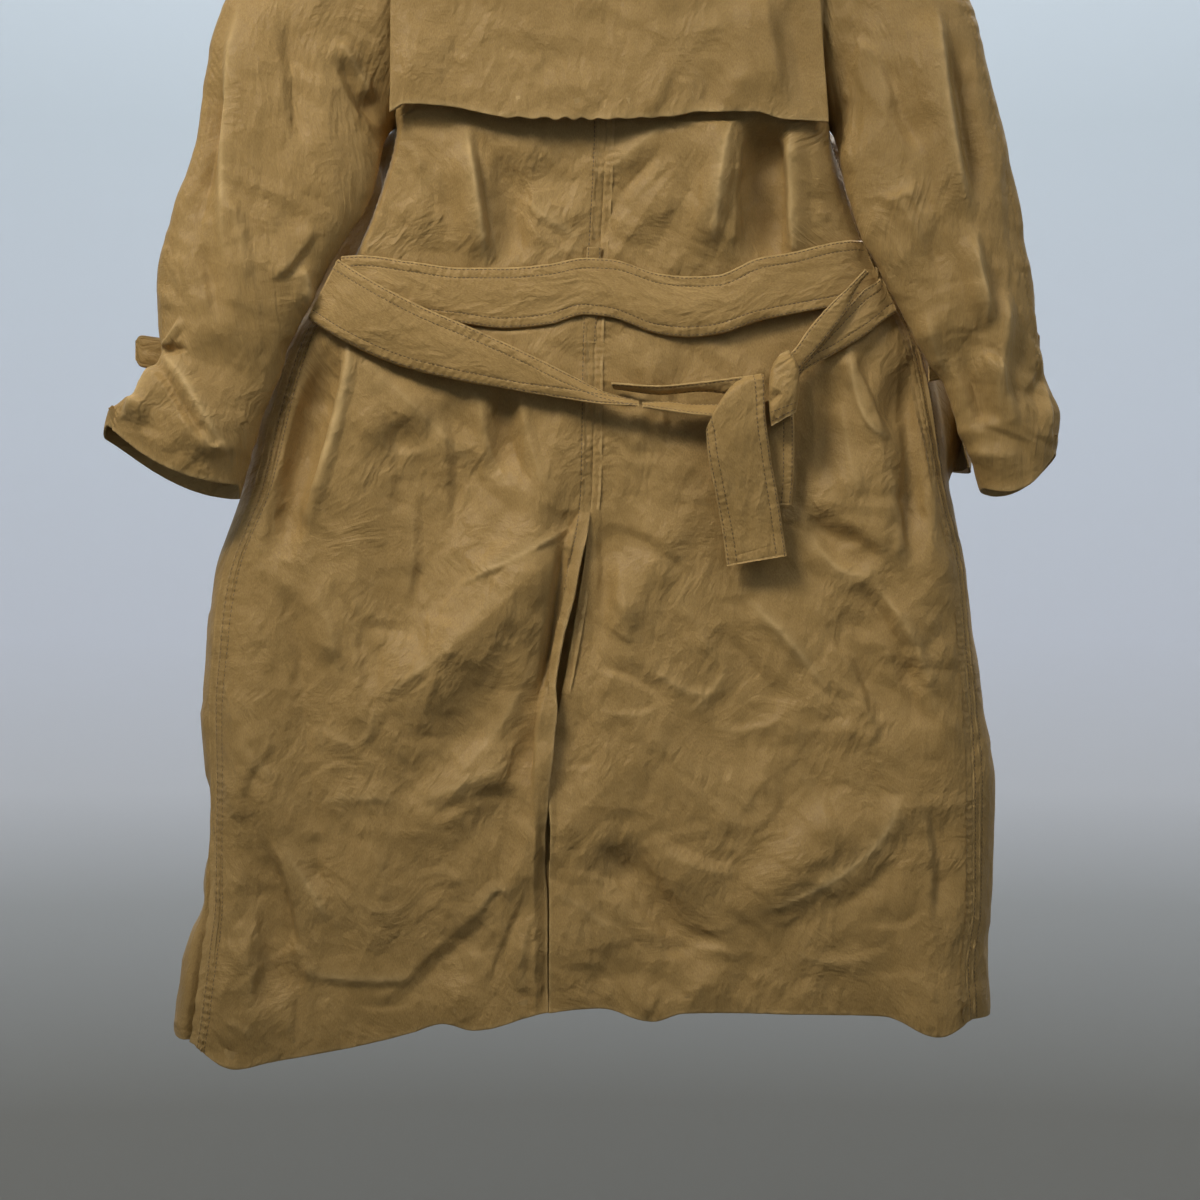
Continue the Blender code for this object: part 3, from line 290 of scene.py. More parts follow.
def body(side, turn, level):
    """A point of the body's cloth.

    turn 0 is the centre back, 1 the back's fold, 2 the side, 3 the front's fold and 4 the
    front edge.  level 0 is the hem, 1 the underarm and 2 the shoulder and neck seam.
    """
    turn, level = np.broadcast_arrays(np.asarray(turn, float), np.asarray(level, float))
    name = SIDE_NAMES[side]
    nominal = level_drop(level)
    low_share, high_share = (1 - np.clip(level, 0, 1)) ** 3, np.clip(level - 1, 0, 1) ** 2
    angle = np.pi / 2 * np.clip(turn - 1, 0, 2)
    seam_angle = np.pi / 2 * seam_turn(side, level)
    hole_x, _, hole_depth = armhole(side, armhole_angle(level))
    above = level > 1
    drop = nominal
    for _ in range(HEM_PASSES):
        fold = BODY.at(name + "_fold", drop)
        to_hole = fold + (hole_x - fold) / np.sin(seam_angle)
        wide = np.where(above, to_hole, BODY.at(name + "_side", drop))
        centre = BODY.at("centre", drop)
        belly = side * BELLY.at(name, drop) * np.sin(np.pi * np.clip(turn - 2, 0, 1)) ** 2
        round_x = fold + (wide - fold) * np.sin(angle) + belly
        x = np.where(turn < 1, centre + (fold - centre) * turn, round_x)
        x = np.where(turn > 3, fold + (front_edge(side, drop) - fold) * (turn - 3), x)
        hem = HEM.at("drop", x)
        at_front = ease((turn - BACK_TO_FRONT) / BACK_TO_FRONT_BLEND)
        hem = hem + (FRONT_HEM_DROP - hem) * at_front
        drop = nominal + (hem - HEM_DROP) * low_share
        front_x = np.where(turn > 2, np.sign(x) * np.maximum(np.abs(x), NECK_HALF), x)
        drop = drop - (SHOULDER_DROP - shoulder_line(front_x)) * high_share
    back = filled(x, drop, BODY.at("back", drop))
    front = filled(front_x, drop, BODY.at("front", drop))
    side_depth = BODY.at(name + "_depth", drop)
    round_share = 1 - np.cos(seam_angle)
    back_side = np.where(above, back + (-hole_depth - back) / round_share, side_depth)
    front_side = np.where(above, front + (hole_depth - front) / round_share, side_depth)
    depth = np.where(turn < 1, back, back + (back_side - back) * (1 - np.cos(angle)))
    depth = np.where(turn > 2, front - (front - front_side) * (1 + np.cos(angle)), depth)
    depth = np.where(turn > 3, front, depth)
    if side == RIGHT:
        depth = depth + np.where(turn > LAYER_TURN, front_layer(x), 0)
    folds = fold_height(x, drop) * ease((FOLDS_END_TURN - turn) / FOLDS_END_BLEND)
    return np.stack([x, depth - folds, -drop], axis=-1)


def back_depth(x, drop):
    """Depth of the back's outer face at a place on it."""
    x, drop = np.broadcast_arrays(np.asarray(x, float), np.asarray(drop, float))
    flat = filled(x, drop, BODY.at("back", drop))
    depth = flat
    for side in (LEFT, RIGHT):
        name = SIDE_NAMES[side]
        fold, wide = BODY.at(name + "_fold", drop), BODY.at(name + "_side", drop)
        share = np.clip((x - fold) / (wide - fold), 0, 1)
        depth = depth + (BODY.at(name + "_depth", drop) - flat) * (1 - np.sqrt(1 - share ** 2))
    return depth - fold_height(x, drop)


UNDERLAY_TOP = 726.0
UNDERLAY_BOTTOM = 1094.0
UNDERLAY_HALF_TOP = 17.0
UNDERLAY_HALF_BOTTOM = 48.0
UNDERLAY_BEHIND = 8.0       # behind the back's outer face

# The storm flap's free lower edge
FLAP_EDGE = Table(
    "x drop",
    (-163, 382), (-152, 376), (-117, 378), (-66, 387), (0, 388), (60, 386), (84, 382), (126, 382),
    (150, 388), (190, 390),
)
# The storm flap's ends along the armholes, from the shoulder (0) to the free edge (1)
FLAP_ENDS = Table(
    "share left right",
    (0, -176, 178), (0.5, -163.5, 178.5), (1, -163.5, 185),
)
FLAP_BELOW_SEAM = 9.0       # its upper edge lies below the shoulder seam
FLAP_OVER_BACK = 6.5        # its distance from the back at the upper edge
FLAP_STAND_OFF = 8.0        # how much more the free edge stands off
FLAP_TUCK = 4.0             # the free edge's corners turn back in
FLAP_TUCK_WIDTH = 0.08      # share of the flap's width
FLAP_STAND_OFF_BEND = 1.6


def flap_points(across, share):
    """Across 0 to 1 is the left to the right armhole; share 0 the shoulder, 1 the free edge."""
    left_end, right_end = FLAP_ENDS.at("left", share), FLAP_ENDS.at("right", share)
    x = left_end + (right_end - left_end) * across
    top = shoulder_line(x) + FLAP_BELOW_SEAM
    drop = top + (FLAP_EDGE.at("drop", x) - top) * share
    depth = filled(x, drop, BODY.at("back", drop)) - FLAP_OVER_BACK
    depth = depth - FLAP_STAND_OFF * share ** FLAP_STAND_OFF_BEND
    corner = (np.abs(across - 0.5) - 0.5 + FLAP_TUCK_WIDTH) / FLAP_TUCK_WIDTH
    return np.stack([x, depth + ease(corner) * FLAP_TUCK * share, -drop], axis=-1)


# Each sleeve is a tube of rings.  A ring runs from its outer to its inner point, and its half
# depth stands out on both sides of its centre's depth.  The sag lowers its middle.
SLEEVES = {
    LEFT: Table(
        "along outer_x outer_drop inner_x inner_drop depth half_depth sag",
        (0, -195, 150, -162, 385, 0, 44, 0),
        (1, -245, 208, -166, 391, -8, 43, 0),
        (2, -289, 260, -169, 400, -18, 39, 0),
        (3, -305, 307, -173, 414, -28, 35, 0),
        (4, -314, 356, -177, 434, -35, 32, 0),
        (5, -322, 404, -187, 460, -40, 29, 0),
        (6, -334, 452, -203, 484, -44, 28, 0),
        (7, -348, 500, -224, 524, -47, 27, 0),
        (8, -351, 548, -243, 564, -49, 25, 0),
        (9, -347, 576, -256, 598, -50, 18, 0),
        (10, -365, 604, -266, 618, -50, 22, 0),
        (11, -388, 624, -276, 652, -50, 26, 5),
        (12, -391, 642, -286, 690, -48, 27, 12),
    ),
    RIGHT: Table(
        "along outer_x outer_drop inner_x inner_drop depth half_depth sag",
        (0, 195, 150, 188, 385, 0, 44, 0),
        (1, 247, 208, 190, 391, -8, 43, 0),
        (2, 289, 257, 191, 399, -20, 38, 0),
        (3, 306, 303, 194, 412, -30, 34, 0),
        (4, 315, 348, 198, 431, -36, 31, 0),
        (5, 326, 396, 204, 456, -40, 29, 0),
        (6, 337, 444, 213, 484, -44, 28, 0),
        (7, 344, 492, 228, 512, -47, 27, 0),
        (8, 350, 540, 244, 544, -49, 25, 0),
        (9, 354, 576, 265, 580, -50, 18, 0),
        (10, 363, 602, 279, 606, -50, 22, 0),
        (11, 372, 624, 294, 642, -50, 26, 5),
        (12, 371, 656, 309, 684, -48, 27, 14),
    ),
}


def sleeve(side, angle, along):
    """A point of a sleeve: angle 0 is its outer line, 90 degrees its back, 180 its inner line."""
    angle, along = np.broadcast_arrays(np.asarray(angle, float), np.asarray(along, float))
    rings = SLEEVES[side]
    toward_outer = 0.5 + 0.5 * np.cos(angle)
    x = rings.at("inner_x", along)
    x = x + (rings.at("outer_x", along) - x) * toward_outer
    drop = rings.at("inner_drop", along)
    drop = drop + (rings.at("outer_drop", along) - drop) * toward_outer
    drop = drop + rings.at("sag", along) * np.sin(angle) ** 2
    tip, middle, under = ARMHOLE_X[side]
    x = x + (middle - (tip + under) / 2) * np.sin(angle) ** 2 * (1 - ease(along / 2))
    depth = rings.at("depth", along) - rings.at("half_depth", along) * np.sin(angle)
    return np.stack([x, depth, -drop], axis=-1)


STRAP_WIDTH = 26.0
STRAP_CLOTH = 1.8
STRAP_OUT = {LEFT: 22.0, RIGHT: 5.0}    # how far the strap's end stands out past the sleeve
STRAP_IN = 12.0                         # how far its start lies inside the inner line
STRAP_DROP = {LEFT: 571.0, RIGHT: 567.0}
STRAP_RISE = 16.0                       # the end lies this much higher than the start
STRAP_ALONG = 8.55                      # between these rings of the sleeve
STRAP_STAND_OFF = 5.0

COLLAR_END = 122.0          # degrees from the centre back to the collar's ends
# The collar by the degrees from the centre back: how far the neck seam narrows and comes down
# in front, the stand's height, and the fall's reach out from the fold and down
COLLAR = Table(
    "degrees narrow lower stand reach fall",
    (0, 0, 0, 34, 22, 70), (45, 0, 0, 34, 39, 57), (90, 0, 0, 27, 47, 43),
    (107, 4, 16, 21, 56, 43), (122, 7, 30, 19, 54, 48),
)
FALL_STAND_OFF = 2.6        # the fall from the fold of the stand
FALL_ROLL = 1.4             # how far the fall rises as it turns over


def neck_seam(degrees):
    """The neck seam round the hanger: x, depth and drop at some degrees from the centre back."""
    angle, away = np.radians(degrees), np.abs(degrees)
    x = (NECK_HALF - COLLAR.at("narrow", away)) * np.sin(angle)
    depth = -(NECK_DEPTH + CLOTH) * np.cos(angle)
    drop = BACK_NECK_DROP - (BACK_NECK_DROP - NECK_DROP) * np.sin(angle) ** 2
    return x, depth, drop + COLLAR.at("lower", away)


def front_depth(side, x, drop):
    """Depth of a front's outer face, away from its rounded side."""
    full = filled(np.sign(side) * np.maximum(np.abs(x), NECK_HALF), drop, BODY.at("front", drop))
    if side == RIGHT:
        full = full + front_layer(x)
    return full


# A lapel, from the break up to the collar: how far its edge stands off the roll line
LAPEL = Table(
    "drop width lift",
    (188, 88, 5), (215, 86, 5), (290, 66, 5), (360, 34, 6), (392, 7, 7),
)
LAPEL_TOP = 188.0
LAPEL_END = {LEFT: 286.0, RIGHT: 392.0}   # the right front covers the rest of the left lapel
LAPEL_CLOTH = 2.0
LAPEL_PEAK = 0.36           # its edge lies higher than the roll line, as a share of its width
LAPEL_OFF_ROLL = 3.0
LAPEL_OFF_FRONT = {LEFT: 3.5, RIGHT: 1.0}  # the least distance, and what is added to the lift
LAPEL_UNDER = 5.0           # the left lapel ends this far before the right front's edge

BUTTON_X = 52.0
BUTTON_DROPS = (432.0, 560.0, 688.0)
BUTTON_OFF_CLOTH = 0.4
# A pocket welt on each front near its side: two long edges, from the low end to the high end
WELT = Table(
    "share side_turn side_stand front_turn front_stand drop",
    (0, 2.12, 18, 2.62, 8, 664),
    (0.3, 2.22, 10, 2.68, 7, 628),
    (0.65, 2.34, 7, 2.78, 6.5, 580),
    (1, 2.45, 6.5, 2.86, 6.5, 532),
)
WELT_CLOTH = 2.0

# The belt across the back: upper and lower edge
BELT_BACK = Table(
    "x upper lower",
    (-207, 497, 540), (-188, 496, 541), (-148, 501, 546), (-107, 506, 551), (-74, 506, 555),
    (-38, 503, 552), (-9, 498, 544), (11, 499, 546), (52, 511, 560), (74, 513, 562),
    (96, 512, 560), (131, 498, 549), (155, 494, 544), (188, 486, 538), (207, 483, 534),
)
BELT_STAND_OFF = 5.2
BELT_BACK_ENDS = (-204.0, 206.0)
BELT_END_DEPTH = -40.0      # near its ends the belt stays this far behind the sides

# A stretch of the belt: the upper and the lower edge of its outer face
BELT_EDGES = "share upper_x upper_drop upper_depth lower_x lower_drop lower_depth"
BELT_LEFT_PASS = Table(
    BELT_EDGES,
    (0.00, -206, 500, -57, -231, 547, -50),
    (0.10, -184, 514, -60, -203, 565, -60),
    (0.30, -141, 537, -62, -158, 585, -58),
    (0.50, -92, 558, -62, -111, 597, -60),
    (0.68, -49, 578, -62, -72, 604, -60),
    (0.82, -17, 594, -62, -20, 613, -64),
    (0.92, 8, 606, -62, 10, 617, -68),
    (1.00, 34, 613, -64, 34, 618, -70),
)
BELT_UPPER_STRIP = Table(
    BELT_EDGES,
    (0.0, 12, 600, -62, 14, 604, -54),
    (0.3, 50, 602, -64, 52, 609, -56),
    (0.6, 82, 599, -66, 84, 607, -60),
    (1.0, 118, 594, -64, 118, 611, -60),
)
BELT_LOWER_STRIP = Table(
    BELT_EDGES,
    (0.0, 37, 614, -62, 37, 618, -68),
    (0.3, 56, 613, -58, 57, 621, -68),
    (0.6, 80, 615, -56, 80, 624, -68),
    (1.0, 112, 615, -56, 112, 627, -64),
)
BELT_MAIN_END = Table(
    BELT_EDGES,
    (0.00, 133, 592, -71, 92, 630, -72),
    (0.05, 134, 597, -76, 87, 636, -77),
    (0.20, 134, 617, -77, 88, 652, -77),
    (0.50, 138, 652, -73, 95, 689, -71),
    (0.80, 146, 697, -67, 101, 722, -65),
    (1.00, 152, 737, -64, 104, 745, -62),
)
BELT_REAR_END = Table(
    BELT_EDGES,
    (0.0, 158, 637, -62, 117, 637, -60),
    (0.5, 158, 668, -60, 112, 670, -58),
    (1.0, 156, 696, -58, 110, 698, -57),
)
BELT_RIGHT_NARROW = Table(
    BELT_EDGES,
    (0.0, 215, 508, -56, 219, 511, -52),
    (0.2, 203, 521, -60, 211, 520, -56),
    (0.5, 184, 539, -62, 199, 543, -60),
    (0.8, 167, 559, -64, 181, 567, -62),
    (1.0, 159, 571, -66, 166, 584, -64),
)
BELT_RIGHT_WIDE = Table(
    BELT_EDGES,
    (0.0, 228, 512, -44, 234, 546, -44),
    (0.3, 214, 524, -50, 219, 558, -50),
    (0.7, 192, 549, -54, 190, 576, -54),
    (1.0, 168, 575, -56, 168, 588, -56),
)

# The knot is a short band round the belt: its left and right sides, and how far it bulges
KNOT = Table(
    "drop left right front back",
    (575, 143, 155, -74, -62),
    (588, 139, 161, -80, -62),
    (606, 137, 161, -82, -62),
    (622, 137, 160, -80, -63),
    (633, 138, 158, -75, -64),
)

CARRIER_HALF = 6.0
CARRIER_TOP = 489.0
CARRIER_BOTTOM = 566.0
CARRIER_OFF_CENTRE = -4.5
CARRIER_CLOTH = 1.4
CARRIER_OFF_BACK = 1.9      # from the back's outer face to the carrier's own


# ---------------------------------------------------------------- creases

# A crease runs smoothly through three places.  Positive heights are ridges, negative ones
# troughs.  left and right are its widths on either side as one goes down it (for one that runs
# across from left to right, left is its lower side).  sharp 0 is a soft bell, 1 a keen edge.
CREASE = "x1 drop1 x2 drop2 x3 drop3 left right height sharp"
CREASE_STEPS = np.linspace(0, 1, 9)[:, None]
CREASE_REACH = 3.0          # widths
CREASE_TAPER = 0.33         # share of its length over which it fades in and out
FLANK = 1.7                 # a fold's flat flanks reach this many widths from its crest
FOOT_ROUND = 0.07           # how gently they run out into the cloth around
TIP_ROUND = 0.36            # how round the crest of a soft fold is, in its widths
KEEN_TIP = 0.04             # and that of a keen one
KEEN_LINE = 1.6             # half the width of the pale line along a keen fold's crest, its wear and painted highlight
WORN_AND_LIT_BAND = 6.0             # and of the paler band around it, painted highlight with wear
WORN_AND_LIT_BAND_SHARE = 0.35
WORN_AND_LIT_HEIGHT = 4.0           # a crest this high is fully pale


def beside(path, x, drop):
    """Signed distance of places from a path, and how far along it (0 to 1) they are."""
    best = np.full(x.shape, np.inf)
    across, along = np.zeros(x.shape), np.zeros(x.shape)
    count = len(path) - 1
    for number in range(count):
        start, step = path[number], path[number + 1] - path[number]
        length = max(float(np.hypot(*step)), 1e-6)
        from_x, from_drop = x - start[0], drop - start[1]
        share = np.clip((from_x * step[0] + from_drop * step[1]) / length ** 2, 0, 1)
        off_x, off_drop = from_x - share * step[0], from_drop - share * step[1]
        distance = np.hypot(off_x, off_drop)
        side = np.sign(from_x * step[1] - from_drop * step[0])
        closer = distance < best
        best = np.where(closer, distance, best)
        across = np.where(closer, side * distance, across)
        along = np.where(closer, (number + share) / count, along)
    return across, along


def fold_profile(away, sharp):
    """A fold of two flat flanks; away is the distance from its crest in widths."""
    tip = TIP_ROUND * (1 - sharp) + KEEN_TIP
    away = np.sqrt(away ** 2 + tip ** 2) - tip
    flank = 1 - away / FLANK
    return (flank + np.sqrt(flank ** 2 + FOOT_ROUND ** 2)) / 2


def crease_heights(table, x, drop, lines=None):
    """The height of all the creases of a table at places on a sheet.

    Their keen crests are marked in lines, for their wear and a painted highlight on them.
    """
    total = np.zeros(x.shape)
    for crease in table.as_dicts():
        start, middle, end = (np.array([crease["x" + n], crease["drop" + n]]) for n in "123")
        control = 2 * middle - (start + end) / 2
        t = CREASE_STEPS
        path = (1 - t) ** 2 * start + 2 * t * (1 - t) * control + t ** 2 * end
        reach = CREASE_REACH * max(crease["left"], crease["right"])
        low, high = path.min(axis=0) - reach, path.max(axis=0) + reach
        near = np.nonzero((x > low[0]) & (x < high[0]) & (drop > low[1]) & (drop < high[1]))
        if not near[0].size:
            continue
        across, along = beside(path, x[near], drop[near])
        width = np.where(across < 0, crease["left"], crease["right"])
        profile = fold_profile(np.abs(across) / width, crease["sharp"])
        taper = ease(along / CREASE_TAPER) * ease((1 - along) / CREASE_TAPER)
        total[near] += crease["height"] * profile * taper
        # the crests' marks make the cloth paler: their wear, and painted highlight where the crests
        # would catch the light
        if lines is not None and crease["height"] > 0:
            worn_and_lit = crease["sharp"] ** 3 * min(crease["height"] / WORN_AND_LIT_HEIGHT, 1.0)
            line, wide = np.exp(-(across / KEEN_LINE) ** 2), np.exp(-(across / WORN_AND_LIT_BAND) ** 2)
            crest = worn_and_lit * taper * ((1 - WORN_AND_LIT_BAND_SHARE) * line + WORN_AND_LIT_BAND_SHARE * wide)
            lines[near] = np.maximum(lines[near], crest)
    return total


# Patches of small crumples: where they lie, how many, how short and long they are, their keen
# (thin) and their soft (wide) side, and their lean in degrees from upright, with a spread
CRUMPLE = "x1 drop1 x2 drop2 count short long thin wide height lean spread"
CRUMPLE_BOW = 0.35          # how far its middle is off a straight line, as a share of its half
THIN_RANGE = (0.7, 1.4)     # what its widths are multiplied by
WIDE_RANGE = (0.6, 1.5)
HEIGHT_RANGE = (0.3, 1.0)
HEIGHT_BEND = 1.5           # more than 1 makes low crumples more frequent
TROUGH_SHARE = -0.8         # half of them are troughs, a little less deep
SHARP_RANGE = (0.6, 1)


def crumples(seed, table):
    """Small random creases, the same ones on every run."""
    random = np.random.default_rng(seed)
    rows = []
    for patch in table.as_dicts():
        for _ in range(int(patch["count"])):
            x = random.uniform(patch["x1"], patch["x2"])
            drop = random.uniform(patch["drop1"], patch["drop2"])
            angle = math.radians(random.normal(patch["lean"], patch["spread"]))
            half = random.uniform(patch["short"], patch["long"]) / 2
            step = np.array([math.sin(angle), math.cos(angle)]) * half
            bow = np.array([step[1], -step[0]]) * random.uniform(-CRUMPLE_BOW, CRUMPLE_BOW)
            thin = random.uniform(*THIN_RANGE) * patch["thin"]
            widths = [thin, random.uniform(*WIDE_RANGE) * patch["wide"]]
            left, right = widths if random.random() < 0.5 else widths[::-1]
            height = patch["height"] * random.choice([TROUGH_SHARE, 1.0])
            height = height * random.uniform(*HEIGHT_RANGE) ** HEIGHT_BEND
            rows.append((x - step[0], drop - step[1], x + bow[0], drop + bow[1], x + step[0],
                         drop + step[1], left, right, height, random.uniform(*SHARP_RANGE)))
    return Table(CREASE, *rows)


FACET_COUNT = 64            # the facets' pattern repeats after so many
SKEW = (math.sqrt(3) - 1) / 2
FACET_WAVES = 5             # slow waves that bend the facets' lines
WAVE_PITCHES = (0.5, 2.2)
WAVE_PUSH = 0.45


def facets(seed, x, drop, size, lean, stretch):
    """Flat facets that meet in keen lines, from -1 to 1, as in cloth that was crumpled.

    They are about size wide, and stretch times as long in the direction of lean.
    """
    random = np.random.default_rng(seed)
    corner = random.uniform(-1, 1, (FACET_COUNT, FACET_COUNT))
    angle = math.radians(lean)
    across = (x * math.cos(angle) - drop * math.sin(angle)) / size
    along = (x * math.sin(angle) + drop * math.cos(angle)) / (size * stretch)
    for _ in range(FACET_WAVES):
        turn, phase = random.uniform(0, 2 * np.pi, 2).tolist()
        pitch = random.uniform(*WAVE_PITCHES)
        wave = np.sin(pitch * (across * math.cos(turn) + along * math.sin(turn)) + phase) / pitch
        push = random.uniform(-WAVE_PUSH, WAVE_PUSH, 2)
        across, along = across + push[0] * wave, along + push[1] * wave
    skew = SKEW * (across + along)
    column, row = np.floor(across + skew), np.floor(along + skew)
    part_x, part_y = across + skew - column, along + skew - row
    column, row = column.astype(int) % FACET_COUNT, row.astype(int) % FACET_COUNT
    next_column, next_row = (column + 1) % FACET_COUNT, (row + 1) % FACET_COUNT
    near, far = corner[row, column], corner[next_row, next_column]
    side_x, side_y = corner[row, next_column], corner[next_row, column]
    flat = near + part_x * (side_x - near) + part_y * (far - side_x)
    steep = near + part_y * (side_y - near) + part_x * (far - side_y)
    return np.where(part_x > part_y, flat, steep)


# The facets' layers: their size, lean, stretch and height
FACET = "size lean stretch height"
WIDE_FACETS = Table(FACET, (80, 20, 1.9, 7.0), (34, -35, 2.2, 3.6), (15, 60, 2.2, 1.6),
                    (7, 15, 2.0, 0.5))
# They are stronger in some patches than in others: the mean, the swing and the patches' sizes
PATCH_MEAN = 0.62
PATCH_SWING = 0.38
PATCH_ACROSS = 61.0
PATCH_DOWN = 83.0
PATCH_STEP = 2.1


def crumpled(seed, x, drop, table=WIDE_FACETS):
    """Facets of all sizes, in patches between smoother places."""
    total = np.zeros(np.broadcast(x, drop).shape)
    for number, layer in enumerate(table.as_dicts()):
        key = seed + 10 * number
        swing = PATCH_SWING * np.sin(x / PATCH_ACROSS + key)
        patch = PATCH_MEAN + swing * np.sin(drop / PATCH_DOWN + PATCH_STEP * key)
        flat = facets(key, x, drop, layer["size"], layer["lean"], layer["stretch"])
        total = total + patch * layer["height"] * flat
    return total


# ---------------------------------------------------------------- meshes

def place_object(name, data):
    """Put a new object with its data into the scene."""
    made = bpy.data.objects.new(name, data)
    bpy.context.collection.objects.link(made)
    return made


def unit(vectors):
    return vectors / np.maximum(np.linalg.norm(vectors, axis=-1, keepdims=True), 1e-9)


def grid_normals(points, ring=False):
    """Normals of a grid of points, from each point's neighbours."""
    if ring:
        along = np.roll(points, -1, axis=1) - np.roll(points, 1, axis=1)
    else:
        along = np.gradient(points, axis=1)
    return unit(np.cross(along, np.gradient(points, axis=0)))


def arc_lengths(points, axis):
    """How far along the cloth each point is, in one direction of the grid."""
    steps = np.linalg.norm(np.diff(points, axis=axis), axis=-1)
    return np.insert(np.cumsum(steps, axis=axis), 0, 0, axis=axis)


def facing_in(points, outward, ring):
    """Whether a grid's faces look away from outward, or into a tube where outward is None."""
    normals = grid_normals(points, ring)
    if outward is None:
        return np.sum(normals * (points - points.mean(axis=1, keepdims=True)), axis=-1).mean() < 0
    return np.dot(normals.mean(axis=(0, 1)), outward) < 0


def sheet_mesh(name, points, finish, outward, ring=False, marks=None):
    """Make an object of a grid of points in millimetres, with its faces turned towards outward.

    Its UV map measures the cloth in metres.  marks are named values for the finish, one a point.
    """
    rows, columns = points.shape[:2]
    spans = columns if ring else columns - 1
    row, column = np.meshgrid(np.arange(rows - 1), np.arange(spans), indexing="ij")
    after = (column + 1) % columns
    corners = [row * columns + column, row * columns + after,
               (row + 1) * columns + after, (row + 1) * columns + column]
    faces = np.stack([corner.ravel() for corner in corners], axis=-1)
    if facing_in(points, outward, ring):
        faces = faces[:, ::-1]
    mesh = bpy.data.meshes.new(name)
    mesh.from_pydata((points.reshape(-1, 3) * MM).tolist(), [], faces.tolist())
    across = arc_lengths(points, 1) * MM
    down = arc_lengths(points, 0) * MM
    flat = np.stack([across, np.broadcast_to(down, across.shape)], axis=-1).reshape(-1, 2)
    layer = mesh.uv_layers.new(name="cloth")
    loops = np.empty(len(mesh.loops), dtype=np.int32)
    mesh.loops.foreach_get("vertex_index", loops)
    layer.data.foreach_set("uv", flat[loops].astype(np.float32).ravel())
    for key, values in (marks or {}).items():
        mark = mesh.attributes.new(key, "FLOAT", "POINT")
        whole = np.broadcast_to(values, (rows, columns))
        mark.data.foreach_set("value", whole.astype(np.float32).ravel())
    mesh.materials.append(finish)
    mesh.shade_smooth()
    return place_object(name, mesh)


ROLL_ANGLES = np.radians((50.0, 95.0, 140.0, 180.0))
ROLL_RADIUS = 0.8


def roll_edge(points, normals, axis, end, back, radius=ROLL_RADIUS):
    """Roll one edge of a sheet over its own back, as a turned and pressed edge."""
    points, normals = np.swapaxes(points, 0, axis), np.swapaxes(normals, 0, axis)
    edge, neighbour = (0, 1) if end == "first" else (-1, -2)
    outward = unit(points[edge] - points[neighbour])
    normal = normals[edge]
    rows = [points[edge] + outward * radius * math.sin(a) - normal * radius * (1 - math.cos(a))
            for a in ROLL_ANGLES]
    rows.append(rows[-1] - outward * back)
    added = np.stack(rows)
    whole = np.concatenate([added[::-1], points] if end == "first" else [points, added])
    return np.swapaxes(whole, 0, axis)


def extend(values, axis, end):
    """Repeat a grid's edge values, to go with a rolled edge."""
    values = np.swapaxes(values, 0, axis)
    edge = values[:1] if end == "first" else values[-1:]
    added = np.repeat(edge, len(ROLL_ANGLES) + 1, axis=0)
    whole = np.concatenate([added, values] if end == "first" else [values, added])
    return np.swapaxes(whole, 0, axis)


# ---------------------------------------------------------------- stitches

STITCH_LENGTH = 2.5
STITCH_PITCH = 3.5
STITCH_HALF_WIDTH = 0.36
STITCH_RISE = 0.15          # how far the thread stands out of the cloth
STITCH_START = 0.5          # where a row's first stitch starts
STITCH_THICK = 0.3          # its thickness, as a share of its width
# A stitch along its length: places, height and width; and across: aside and up
STITCH_PLACES = np.array([0.0, 0.25, 0.75, 1.0])
STITCH_HIGH = np.array([-0.15, 1.0, 1.0, -0.15])[:, None]
STITCH_WIDE = np.array([0.35, 1.0, 1.0, 0.35])[:, None]
STITCH_SECTION = ((-1.0, -0.6), (0.0, 1.0), (1.0, -0.6))


class Thread:
    """Collects rows of stitches and makes one mesh of them."""

    def __init__(self):
        self.points = []
        self.faces = []

    def row(self, path, normals):
        """Sew along a path of points on the cloth."""
        keep = np.insert(np.linalg.norm(np.diff(path, axis=0), axis=1) > 1e-4, 0, True)
        path, normals = path[keep], normals[keep]
        steps = np.insert(np.cumsum(np.linalg.norm(np.diff(path, axis=0), axis=1)), 0, 0)
        count = len(STITCH_PLACES)
        high, wide = STITCH_HIGH * STITCH_RISE, STITCH_WIDE * STITCH_HALF_WIDTH
        for start in np.arange(STITCH_START, steps[-1] - STITCH_LENGTH, STITCH_PITCH):
            places = start + STITCH_PLACES * STITCH_LENGTH
            spine = np.stack([np.interp(places, steps, path[:, k]) for k in range(3)], axis=-1)
            up = unit(np.stack([np.interp(places, steps, normals[:, k]) for k in range(3)], axis=-1))
            along = unit(spine[-1:] - spine[:1])
            aside = unit(np.cross(along, up))
            base = len(self.points) * count
            for offset, lift in STITCH_SECTION:
                raised = up * (high + lift * STITCH_THICK * wide)
                self.points.append(spine + aside * wide * offset + raised)
            for side in (0, 1):
                for step in range(count - 1):
                    first = base + side * count + step
                    self.faces.append((first, first + 1, first + count + 1, first + count))

    def make(self, name, finish):
        points = np.concatenate(self.points) * MM
        mesh = bpy.data.meshes.new(name)
        mesh.from_pydata(points.tolist(), [], self.faces)
        mesh.materials.append(finish)
        mesh.shade_smooth()
        return place_object(name, mesh)


# ---------------------------------------------------------------- creases of the back

